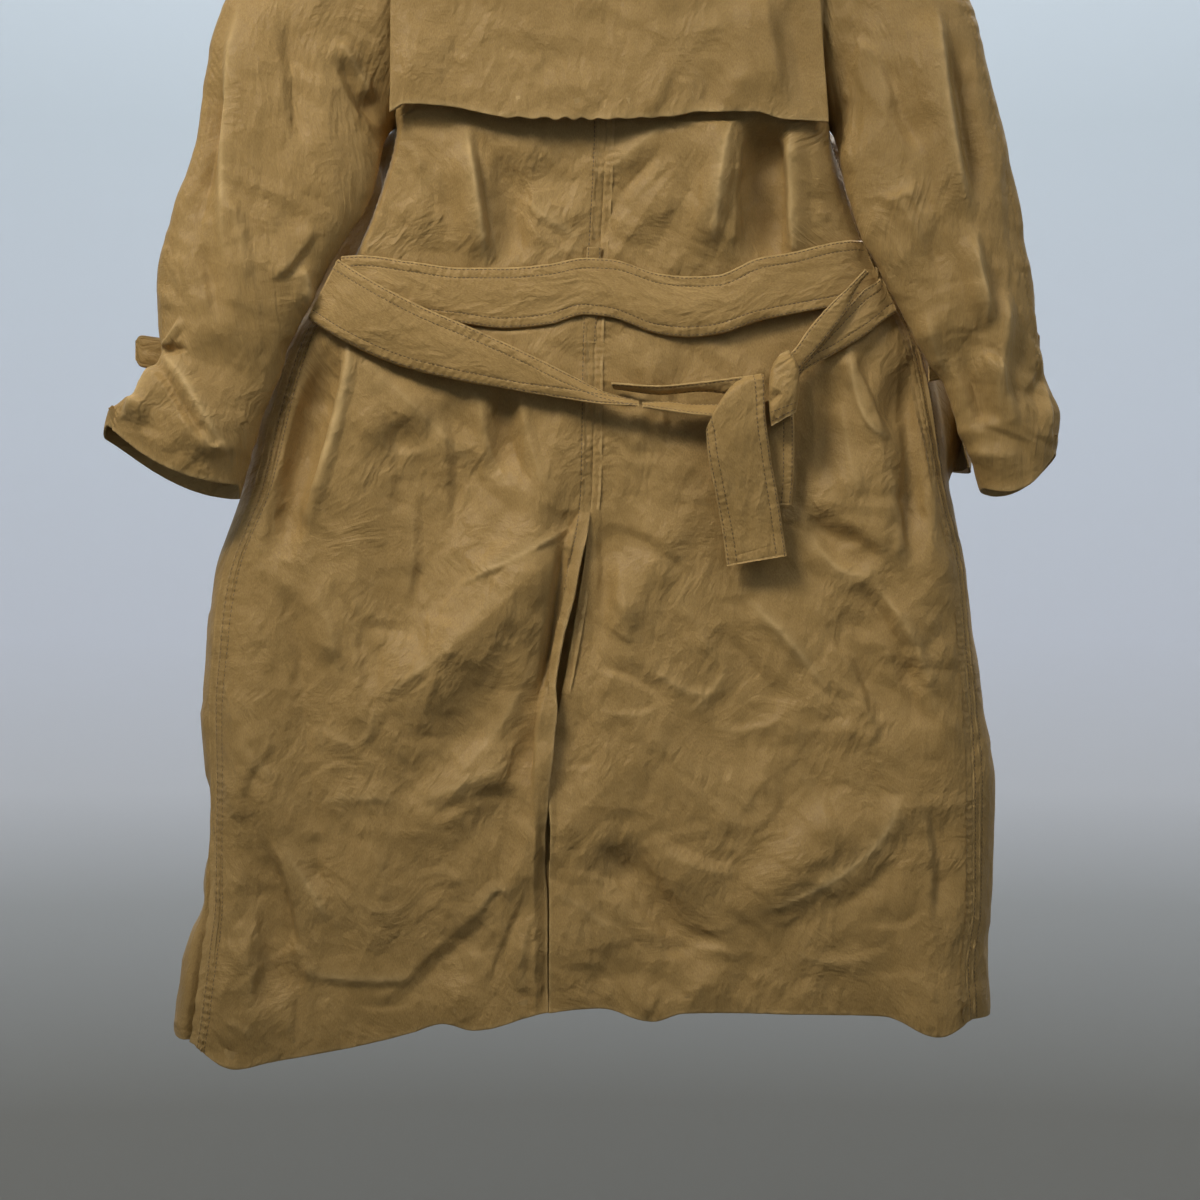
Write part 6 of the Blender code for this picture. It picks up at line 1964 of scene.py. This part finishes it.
def doubled(name, points, seed, finish, rows_at, pucker, thickness=BELT_CLOTH, end_rows=False,
            outward=(0, -1.0, 0)):
    """Two layers of cloth, turned at their edges and stitched; points run from the upper edge."""
    points = np.array(points)
    normals = strip_normals(points, outward)
    down, along = arc_lengths(points, 0), arc_lengths(points, 1).mean(axis=0)[None, :]
    from_lower = down[-1:] - down
    to_edge = np.minimum(down, from_lower)
    heights, marks = face_heights(seed, down, to_edge, along, rows_at, end_rows, pucker)
    round_edge = 1 - np.clip(to_edge / (thickness / 2), 0, 1)
    round_off = thickness / 2 * (1 - np.sqrt(1 - round_edge ** 2))
    face = points + normals * (heights - round_off)[..., None]
    back = points - normals * (thickness - round_off)[..., None]
    rings = np.swapaxes(np.concatenate([face, back[::-1][1:-1]]), 0, 1)
    wear_and_highlight = worn_line("strip", to_edge)
    marks, wear_and_highlight = (capped_marks(np.concatenate([v, v[::-1][1:-1]]).T) for v in (marks, wear_and_highlight))
    made = sheet_mesh(name, capped(rings), finish, None, ring=True,
                      marks={"stitch": marks, "wear_and_highlight": wear_and_highlight})
    for distance in rows_at:
        for places in (down, from_lower):
            belt_thread.row(*sew_lines(face, normals, places, distance))
    return made


def sew_lines(face, normals, places, distance):
    """The path at a distance from an edge, with its normals."""
    path, turned = [], []
    for column, order in enumerate(np.argsort(places, axis=0).T):
        key = places[order, column]
        path.append([np.interp(distance, key, face[order, column, k]) for k in range(3)])
        turned.append([np.interp(distance, key, normals[order, column, k]) for k in range(3)])
    return np.array(path), np.array(turned)


# Beyond its own right end the belt runs on round the body's side, to the sleeve's edge
BELT_ROUND_START = 190.0
BELT_ROUND_UPPER = 215.0    # x where its upper and its lower edge meet the sleeve
BELT_ROUND_LOWER = 236.0
BELT_ROUND_OFF = 3.4        # from the back's outer face to the belt's own


BELT_ROWS = 44
BELT_COLUMNS = 330
BELT_SIDE_X = 180.0         # past this it stays behind the body's sides
BELT_BOW = 1.2              # how far its middle bulges
BELT_BOW_END = 168.0
BELT_BOW_FADE = 24.0
BELT_SMOOTH = 6             # columns to either side over which its depth is evened out
# The other stretches: columns, rows and how far their middles bulge
BELT_STRETCHES = {
    "belt_left_pass": (BELT_LEFT_PASS, 180, 34, 1.5),
    "belt_upper_strip": (BELT_UPPER_STRIP, 80, 14, 0.5),
    "belt_lower_strip": (BELT_LOWER_STRIP, 60, 14, 0.5),
    "belt_main_end": (BELT_MAIN_END, 110, 36, 2.0),
    "belt_rear_end": (BELT_REAR_END, 48, 30, 0.5),
    "belt_right_narrow": (BELT_RIGHT_NARROW, 70, 16, 0.5),
    "belt_right_wide": (BELT_RIGHT_WIDE, 70, 26, 0.5),
}
NARROW_STRETCHES = ("belt_upper_strip", "belt_lower_strip", "belt_right_narrow")
STITCHED_ENDS = ("belt_main_end", "belt_rear_end")
BELT_PUCKER = 0.3
STRETCH_PUCKER = 0.28
NARROW_PUCKER = 0.2
MAIN_END_BULGE = 9.0        # its folded top bulges up and to the left
MAIN_END_FOLD = 0.16        # share of its length that the fold takes up


def belt_back_points():
    """The outer face of the belt across the back, from its upper to its lower edge."""
    across = np.linspace(0, 1, BELT_ROWS)[:, None]
    end = BELT_ROUND_UPPER + (BELT_ROUND_LOWER - BELT_ROUND_UPPER) * across
    x = BELT_BACK_ENDS[0] + (end - BELT_BACK_ENDS[0]) * np.linspace(0, 1, BELT_COLUMNS)
    upper, lower = BELT_BACK.at("upper", x), BELT_BACK.at("lower", x)
    drop = upper + (lower - upper) * across
    depth = np.minimum(back_depth(x, upper), back_depth(x, lower))
    depth = np.minimum(depth, back_depth(x, drop))
    depth = np.minimum(depth, np.where(np.abs(x) > BELT_SIDE_X, BELT_END_DEPTH, 0.0))
    depth = depth - BELT_STAND_OFF
    beyond = ease((x - BELT_ROUND_START) / (BELT_ROUND_UPPER - BELT_ROUND_START))
    depth = depth + (back_depth(x, drop) - BELT_ROUND_OFF - depth) * beyond
    kernel = np.ones(2 * BELT_SMOOTH + 1) / (2.0 * BELT_SMOOTH + 1)
    for row in depth:
        padded = np.concatenate([np.full(BELT_SMOOTH, row[0]), row, np.full(BELT_SMOOTH, row[-1])])
        row[:] = np.convolve(padded, kernel, "valid")
    ends = ease((np.abs(x) - BELT_BOW_END) / BELT_BOW_FADE)
    depth = depth - BELT_BOW * np.sin(np.pi * across) * (1 - ends)
    return np.stack([x, depth, -drop], axis=-1)


def bulge_top(points):
    """Push the folded top of the belt's end up and to the left."""
    rows, columns = points.shape[:2]
    down = np.linspace(0, 1, columns)
    bulge = np.sin(np.pi * np.linspace(0, 1, rows))[:, None] * ease(1 - down / MAIN_END_FOLD)
    points[..., 2] += MAIN_END_BULGE * bulge
    points[..., 0] -= 0.5 * MAIN_END_BULGE * bulge


def make_belt():
    stretches = {"belt_back": belt_back_points()}
    for node, (rows, steps, count, bow) in BELT_STRETCHES.items():
        stretches[node] = belt_surface(run_on(node, rows), steps, count, bow)
    bulge_top(stretches["belt_main_end"])
    made = {}
    for number, (node, points) in enumerate(stretches.items()):
        rows_at, pucker = (BELT_FIRST, BELT_STITCH), STRETCH_PUCKER
        if node == "belt_back":
            pucker = BELT_PUCKER
        if node in NARROW_STRETCHES:
            rows_at, pucker = (BELT_FIRST,), NARROW_PUCKER
        made[node] = doubled(node + "_cloth", points, SEEDS["belt"] + number, belt_twill, rows_at,
                             pucker, end_rows=node in STITCHED_ENDS)
    return made


for node, piece in make_belt().items():
    declare(piece, [node])


# The knot's outline on either side, and the folds and the hollow of its face
KNOT_SIDES = Table(
    "share left_x left_drop right_x right_drop",
    (0.0, 146, 577, 153, 574), (0.1, 142, 582, 157, 580), (0.25, 138.5, 590, 161, 591),
    (0.5, 137, 605, 161, 603), (0.8, 137.5, 622, 160, 614), (1.0, 139, 634, 158.5, 623),
)
KNOT_CREASES = Table(
    CREASE,
    (140, 591, 147, 587, 155, 580, 0.8, 3.0, -0.8, 1.0),
    (142, 597, 149, 592, 156, 588, 0.8, 3.0, -0.7, 1.0),
    (143, 604, 150, 599, 156, 595, 0.8, 3.5, -0.5, 1.0),
    (136, 617, 141, 613, 146, 606, 2.0, 4.0, -3.0, 0.7),
    (146, 618, 152, 612, 156, 604, 5.0, 4.0, 0.8, 0.4),
)
KNOT_STITCHES = (0.95, 0.83)    # its rows of stitches, as shares of its length
KNOT_SQUARE = 3.2           # 2 is an oval section, more is squarer
KNOT_ROWS = 72
KNOT_ROUND = 110
KNOT_PUCKER = 0.25
KNOT_SHOWN = 0.55           # the rows run over the part that faces the back this much


def make_knot():
    """A short band of the belt folded flat round the others."""
    share = np.linspace(0, 1, KNOT_ROWS)[:, None]
    angle = np.linspace(0, 2 * np.pi, KNOT_ROUND, endpoint=False)
    wide, deep = (np.sign(f) * np.abs(f) ** (2 / KNOT_SQUARE) for f in (np.cos(angle), np.sin(angle)))
    across = (wide + 1) / 2
    left_x, left_drop, right_x, right_drop = (
        KNOT_SIDES.at(key, share) for key in ("left_x", "left_drop", "right_x", "right_drop"))
    x = left_x + (right_x - left_x) * across
    drop = left_drop + (right_drop - left_drop) * across
    front, back = KNOT.at("front", drop), KNOT.at("back", drop)
    depth = (front + back) / 2 + (back - front) / 2 * deep
    face = ease(-deep * 2)
    depth = depth - face * crease_heights(KNOT_CREASES, x, drop)
    pucker = KNOT_PUCKER * face * ripple(x + 0.4 * drop, SEEDS["knot"], PUCKER)
    depth = depth - pucker * band(share, 0.82, 1.0, 0.1)
    points = np.stack([x, depth, -drop], axis=-1)
    columns = np.argsort(x[KNOT_ROWS // 2])
    columns = columns[deep[columns] < -KNOT_SHOWN]
    for low in KNOT_STITCHES:
        row = int(round(low * (KNOT_ROWS - 1)))
        belt_thread.row(points[row, columns], np.tile([0.0, -1.0, 0.0], (len(columns), 1)))
    wear_and_highlight = np.where((share < 0.03) | (share > 0.965), 0.6, 0.0) + 0.4 * groove(1 - across, 0.03)
    return sheet_mesh("belt_knot_cloth", capped(points), belt_twill, None, ring=True,
                      marks={"stitch": NO_STITCH, "wear_and_highlight": capped_marks(wear_and_highlight)})


declare(make_knot(), ["belt_knot"])


# ---------------------------------------------------------------- small cloth pieces

UNDERLAY_ROWS = 120
UNDERLAY_COLUMNS = 34
UNDERLAY_CREASES = 0.8      # it follows the back's crumples by this much


def make_underlay():
    share = np.linspace(0, 1, UNDERLAY_ROWS)[:, None]
    across = np.linspace(-1, 1, UNDERLAY_COLUMNS)
    drop = UNDERLAY_TOP + (UNDERLAY_BOTTOM - UNDERLAY_TOP) * share
    half = UNDERLAY_HALF_TOP + (UNDERLAY_HALF_BOTTOM - UNDERLAY_HALF_TOP) * ease(share * 3)
    x = BODY.at("centre", drop) + across * half
    drop = np.broadcast_to(drop, x.shape)
    depth = back_depth(x, drop) + UNDERLAY_BEHIND + hem_lean(drop)
    depth = depth + UNDERLAY_CREASES * crease_heights(BACK_CRUMPLES, x, drop)
    points = np.stack([x, depth, -drop], axis=-1)
    return sheet_mesh("vent_underlay_cloth", points, cloth, np.array(BACK_OUTWARD),
                      marks={"stitch": NO_STITCH, "wear_and_highlight": 0.0})


declare(make_underlay(), ["vent_underlay"])

CARRIER_STITCH = 1.5
CARRIER_PUCKER = 0.15
CARRIER_ROWS = 12
CARRIER_COLUMNS = 50


def make_carrier():
    drop = np.linspace(CARRIER_TOP, CARRIER_BOTTOM, CARRIER_COLUMNS)[None, :]
    across = np.linspace(-CARRIER_HALF, CARRIER_HALF, CARRIER_ROWS)[:, None]
    x = BODY.at("centre", drop) + CARRIER_OFF_CENTRE + across
    drop = np.broadcast_to(drop, x.shape)
    points = np.stack([x, back_depth(x, drop) - CARRIER_OFF_BACK, -drop], axis=-1)
    return doubled("carrier_centre_cloth", points, SEEDS["carrier"], cloth, (CARRIER_STITCH,),
                   CARRIER_PUCKER, CARRIER_CLOTH)


declare(make_carrier(), ["carrier_centre"])

FRONT_PIECE_PUCKER = 0.25   # of the straps, the collar's fall, the lapels and the welts
STRAP_STITCH = 3.0
STRAP_TIP = 0.1             # share of its length over which its end is rounded
STRAP_TIP_WIDTH = 0.6       # and how narrow the tip becomes
STRAP_ROWS = 18
STRAP_COLUMNS = 110


def make_straps():
    share = np.linspace(0, 1, STRAP_COLUMNS)
    for side in (LEFT, RIGHT):
        ring = {key: float(SLEEVES[side].at(key, STRAP_ALONG)) for key in SLEEVES[side].names}
        outer_x = ring["outer_x"] + side * STRAP_OUT[side]
        inner_x = ring["inner_x"] + side * STRAP_IN
        x = inner_x + (outer_x - inner_x) * share
        middle = (ring["outer_x"] + ring["inner_x"]) / 2
        reach = abs(ring["outer_x"] - middle)
        bulge = np.sqrt(np.clip(1 - ((x - middle) / reach) ** 2, 0.25, 1))
        depth = ring["depth"] + (ring["half_depth"] + STRAP_STAND_OFF) * bulge + STRAP_STAND_OFF / 2
        drop = STRAP_DROP[side] + STRAP_RISE * (1 - share)
        tip = np.clip(1 - np.clip((share - (1 - STRAP_TIP)) / STRAP_TIP, 0, 1) ** 5, 0.0, 1) ** 0.4
        width = np.maximum(tip, STRAP_TIP_WIDTH) * STRAP_WIDTH
        across = np.linspace(-0.5, 0.5, STRAP_ROWS)[:, None]
        points = np.stack([x + 0 * across, depth + 0 * across, -(drop + across * width)], axis=-1)
        name = "strap_" + SIDE_NAMES[side]
        piece = doubled(name + "_cloth", points, SEEDS["strap"] + side, cloth, (STRAP_STITCH,),
                        FRONT_PIECE_PUCKER, STRAP_CLOTH, True, FRONT_OUTWARD)
        declare(piece, [name])


make_straps()


COLLAR_COLUMNS = 170
COLLAR_FOLD_OUT = 2.0       # the fold lies this much further out than the neck seam
STAND_ROWS = 16
STAND_STITCH = 2.0
STAND_PUCKER = 0.2
FALL_ROWS = 34
FALL_BEND = 0.85
FALL_ROLL_END = 0.35        # share of the fall over which it turns over
FRONT_STITCH = 7.0          # of the collar's fall, the lapels and the welts


def make_collar():
    degrees = np.linspace(-COLLAR_END, COLLAR_END, COLLAR_COLUMNS)
    away, angle = np.abs(degrees), np.radians(degrees)
    outward = np.stack([np.sin(angle), -np.cos(angle), 0 * degrees], axis=-1)
    seam_x, seam_depth, seam_drop = neck_seam(degrees)
    seam = np.stack([seam_x, seam_depth, -seam_drop + SEAM_GAP + CLOTH / 2], axis=-1)
    lift = np.stack([0 * away, 0 * away, COLLAR.at("stand", away)], axis=-1)
    fold = seam + outward * COLLAR_FOLD_OUT + lift
    stand = (seam + (fold - seam) * np.linspace(0, 1, STAND_ROWS)[:, None, None])[::-1]
    piece = doubled("collar_stand_cloth", stand, SEEDS["collar_stand"], cloth, (STAND_STITCH,),
                    STAND_PUCKER, CLOTH, outward=(0, 0, 0))
    declare(piece, ["collar_stand"])
    reach, fall = COLLAR.at("reach", away), COLLAR.at("fall", away)
    rows = []
    for share in np.linspace(0, 1, FALL_ROWS):
        out = FALL_STAND_OFF + reach * share ** FALL_BEND
        rise = FALL_ROLL * math.sin(math.pi * min(share / FALL_ROLL_END, 1)) - fall * share
        rows.append(fold + outward * out[:, None] + np.stack([0 * away, 0 * away, rise], axis=-1))
    piece = doubled("collar_fall_cloth", np.stack(rows), SEEDS["collar_fall"], cloth,
                    (FRONT_STITCH,), FRONT_PIECE_PUCKER, CLOTH, True, (0, 0, 1.0))
    declare(piece, ["collar_fall"])


make_collar()

LAPEL_COLUMNS = 80
LAPEL_ROWS = 36


def make_lapels():
    share = np.linspace(0, 1, LAPEL_COLUMNS)
    across = np.linspace(0, 1, LAPEL_ROWS)[:, None]
    for side in (LEFT, RIGHT):
        drop_roll = LAPEL_TOP + (LAPEL_END[side] - LAPEL_TOP) * share
        width = LAPEL.at("width", drop_roll)
        x = front_edge(side, drop_roll) + side * (LAPEL_OFF_ROLL + width * across)
        drop = drop_roll - LAPEL_PEAK * width * across
        if side == LEFT:
            uncovered = front_edge(RIGHT, drop) - LAPEL_UNDER
            x = x + np.minimum(uncovered - x[:1], 0) * (1 - across)
        lift = LAPEL.at("lift", drop_roll) * (0.9 + 0.5 * np.sin(np.pi * across))
        if side == LEFT:
            lift = np.maximum(lift, LAPEL_OFF_FRONT[LEFT])
        else:
            lift = lift + LAPEL_OFF_FRONT[RIGHT]
        points = np.stack([x, front_depth(side, x, drop) + lift, -drop], axis=-1)
        name = "lapel_" + SIDE_NAMES[side]
        piece = doubled(name + "_cloth", points[::-1], SEEDS["lapel"] + side, cloth,
                        (FRONT_STITCH,), FRONT_PIECE_PUCKER, LAPEL_CLOTH, outward=FRONT_OUTWARD)
        declare(piece, [name])


make_lapels()


WELT_DRAWN_IN = 0.07        # the upper part of its side edge lies further in front
WELT_FLAT = 2.0             # and this much closer to the front
WELT_UPPER = 0.35           # that part starts at this share of its length
WELT_UPPER_BLEND = 0.2
WELT_STITCHES = (1.8, 7.0)
WELT_COLUMNS = 80
WELT_ROWS = 24


def make_welts():
    share = np.linspace(0, 1, WELT_COLUMNS)
    mix = np.linspace(0, 1, WELT_ROWS)[:, None]
    for side in (LEFT, RIGHT):
        level = (HEM_DROP - WELT.at("drop", share)) / (HEM_DROP - UNDERARM_DROP)
        turn = WELT.at("side_turn", share) * (1 - mix) + WELT.at("front_turn", share) * mix
        stand = WELT.at("side_stand", share) * (1 - mix) + WELT.at("front_stand", share) * mix
        high = ease((share - WELT_UPPER) / WELT_UPPER_BLEND) * (1 - mix)
        turn = turn + WELT_DRAWN_IN * high
        stand = stand - WELT_FLAT * high
        base = body(side, turn, np.broadcast_to(level, turn.shape))
        points = base + outward_normals(base) * stand[..., None]
        name = "welt_" + SIDE_NAMES[side]
        piece = doubled(name + "_cloth", points, SEEDS["welt"] + side, cloth, WELT_STITCHES,
                        FRONT_PIECE_PUCKER, WELT_CLOTH, True, (side * 0.6, 1.0, 0))
        declare(piece, [name])


make_welts()


# ---------------------------------------------------------------- buttons

BUTTON_ROUND = 64
# A button's profile from its middle below to its middle above: radius and height
BUTTON_RADIUS = np.array([0.0, 12.6, 13.6, 14.0, 14.0, 13.5, 12.4, 11.4, 10.4, 9.8, 9.4, 6.0, 0.0])
BUTTON_HEIGHT = np.array([0.0, 0.0, 0.4, 1.2, 3.2, 4.2, 4.6, 4.5, 4.0, 3.4, 3.2, 3.0, 3.0])


def make_buttons():
    horn = horn_finish()
    angles = np.linspace(0, 2 * np.pi, BUTTON_ROUND, endpoint=False)
    radius, height = BUTTON_RADIUS[:, None], BUTTON_HEIGHT[:, None]
    places = [(x, drop) for drop in BUTTON_DROPS for x in (-BUTTON_X, BUTTON_X)]
    for number, (x, drop) in enumerate(places, 1):
        base = float(front_depth(RIGHT, np.array(x), np.array(drop))) + BUTTON_OFF_CLOTH
        points = np.stack([x + radius * np.cos(angles), base + height + 0 * angles,
                           radius * np.sin(angles) - drop], axis=-1)
        name = "button_%d" % number
        made = sheet_mesh(name + "_horn", points, horn, None, ring=True)
        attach(made, "root")
        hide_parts(name)


make_buttons()


# ---------------------------------------------------------------- the hanger's finish

for node, finish in (("hanger_bar", wood_finish()), ("hanger_hook", steel_finish())):
    for slot in bpy.data.objects[node].material_slots:
        slot.material = finish

stitches = thread_finish()
for rows, name, slot in ((thread, "coat_stitching", "coat_cloth"),
                         (belt_thread, "belt_stitching", "belt_cloth")):
    made = rows.make(name, stitches)
    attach(made, "root")


# ---------------------------------------------------------------- the room and the camera

def room_finish():
    """A pale blue-grey wall with painted shade: it darkens and warms downwards."""
    made = Nodes("wall_paint", 0.9)
    place = made.add("ShaderNodeTexCoord").outputs["Object"]
    parts = made.add("ShaderNodeSeparateXYZ")
    made.link(place, parts.inputs[0])
    # painted shade: the wall darkens and warms towards the floor as the light from above falls off, and
    # dims a little towards the top
    height = made.math("ADD", made.math("MULTIPLY", parts.outputs["Z"], 0.42), 0.86, clamp=True)
    colour = made.ramp(height, (0.04, (0.345, 0.331, 0.301)), (0.24, (0.548, 0.546, 0.537)),
                       (0.35, (0.79, 0.788, 0.813)), (0.5, (0.80, 0.816, 0.883)),
                       (0.7, (0.735, 0.767, 0.831)), (1.0, (0.605, 0.655, 0.698)))
    made.colour(colour)
    made.set("Specular IOR Level", 0.1)
    return made.material


ROOM_RADIUS = 4.6
ROOM_FLOOR = -4.7
ROOM_TOP = 3.4
ROOM_CURVE = 2.0            # radius of the curve between the wall and the floor
ROOM_ROUND = 72


def make_room():
    """A round wall that curves into a floor, open at the top."""
    flat = ROOM_RADIUS - ROOM_CURVE
    profile = [(flat + ROOM_CURVE * math.sin(angle), ROOM_FLOOR + ROOM_CURVE * (1 - math.cos(angle)))
               for angle in np.radians(np.linspace(0, 90, 10))]
    profile = [(flat, ROOM_FLOOR)] + profile + [(ROOM_RADIUS, ROOM_TOP)]
    angles = np.linspace(0, 2 * np.pi, ROOM_ROUND, endpoint=False)
    points = np.array([[(r * math.cos(a), r * math.sin(a), z) for a in angles] for r, z in profile])
    rows, columns = points.shape[:2]
    faces = [(r * columns + c, r * columns + (c + 1) % columns, (r + 1) * columns + (c + 1) % columns,
              (r + 1) * columns + c) for r in range(rows - 1) for c in range(columns)]
    faces.append(tuple(range(columns)))
    mesh = bpy.data.meshes.new("room")
    mesh.from_pydata(points.reshape(-1, 3).tolist(), [], faces)
    mesh.materials.append(room_finish())
    mesh.shade_smooth()
    place_object("room", mesh)


def add_light(name, place, target, size, power, colour):
    lamp = bpy.data.lights.new(name, "AREA")
    lamp.shape = "RECTANGLE"
    lamp.size, lamp.size_y = size
    lamp.energy = power
    lamp.color = colour
    made = place_object(name, lamp)
    made.location = place
    made.rotation_euler = (Vector(target) - Vector(place)).to_track_quat("-Z", "Y").to_euler()
    return lamp


WALL_LAMPS = 6
WALL_LAMP_RADIUS = 2.4
WALL_LAMP_HEIGHT = 2.9
WALL_LAMP_TARGET = -0.6     # height of the place on the wall that they light
WALL_LAMP_SIZE = (2.2, 0.6)
WALL_LAMP_POWER = 103.0
WALL_LAMP_COLOUR = (0.93, 0.97, 1.0)
NEAR_WALL_SHARE = 0.12      # of that power at the wall before the coat's back


def light_wall():
    """Lamps over the coat that face the wall all round."""
    for number in range(WALL_LAMPS):
        angle = math.radians(90.0 + 360.0 * number / WALL_LAMPS)
        across = Vector((math.cos(angle), math.sin(angle), 0.0))
        place = across * WALL_LAMP_RADIUS + Vector((0, 0, WALL_LAMP_HEIGHT))
        target = across * ROOM_RADIUS + Vector((0, 0, WALL_LAMP_TARGET))
        power = WALL_LAMP_POWER * (NEAR_WALL_SHARE + (1.0 - NEAR_WALL_SHARE) * max(across.y, 0.0))
        add_light("wall_%d" % number, place, target, WALL_LAMP_SIZE, power, WALL_LAMP_COLOUR)


# The coat's own lamps: place, target, size, power, colour, and their spread in degrees, which
# lets them fade towards the hem
LAMPS = {
    "key": ((-1.05, -1.3, 0.95), (0.0, 0.0, -0.7), (0.85, 0.55), 3.2, (1.0, 0.99, 0.96), 44.0),
    "fill": ((1.3, -1.5, 0.9), (0.0, 0.0, -0.4), (1.2, 0.8), 1.1, (0.94, 0.97, 1.0), 48.0),
    "front": ((0.9, 1.5, 0.9), (0.0, 0.0, -0.6), (1.0, 0.7), 2.6, (1.0, 0.99, 0.96), 44.0),
}

make_room()
light_wall()
for name, (*values, spread) in LAMPS.items():
    add_light(name, *values).spread = math.radians(spread)

WORLD_COLOUR = (0.80, 0.88, 1.0, 1.0)
WORLD_STRENGTH = 0.02

world = bpy.data.worlds.new("room_light")
world.use_nodes = True
world.node_tree.nodes["Background"].inputs["Color"].default_value = WORLD_COLOUR
world.node_tree.nodes["Background"].inputs["Strength"].default_value = WORLD_STRENGTH
bpy.context.scene.world = world
bpy.context.scene.view_settings.view_transform = "Standard"

CAMERA_PLACE = (0.0032, -2.45, -0.772)
CAMERA_WIDTH = 0.96         # what it sees across, at the distance of the coat's back
CAMERA_DISTANCE = 2.40

camera = bpy.data.cameras.new("camera")
camera.sensor_fit = "HORIZONTAL"
camera.lens_unit = "FOV"
camera.angle = 2 * math.atan(CAMERA_WIDTH / 2 / CAMERA_DISTANCE)
holder = place_object("camera", camera)
holder.location = CAMERA_PLACE
holder.rotation_euler = (math.radians(90.0), 0.0, 0.0)
bpy.context.scene.camera = holder
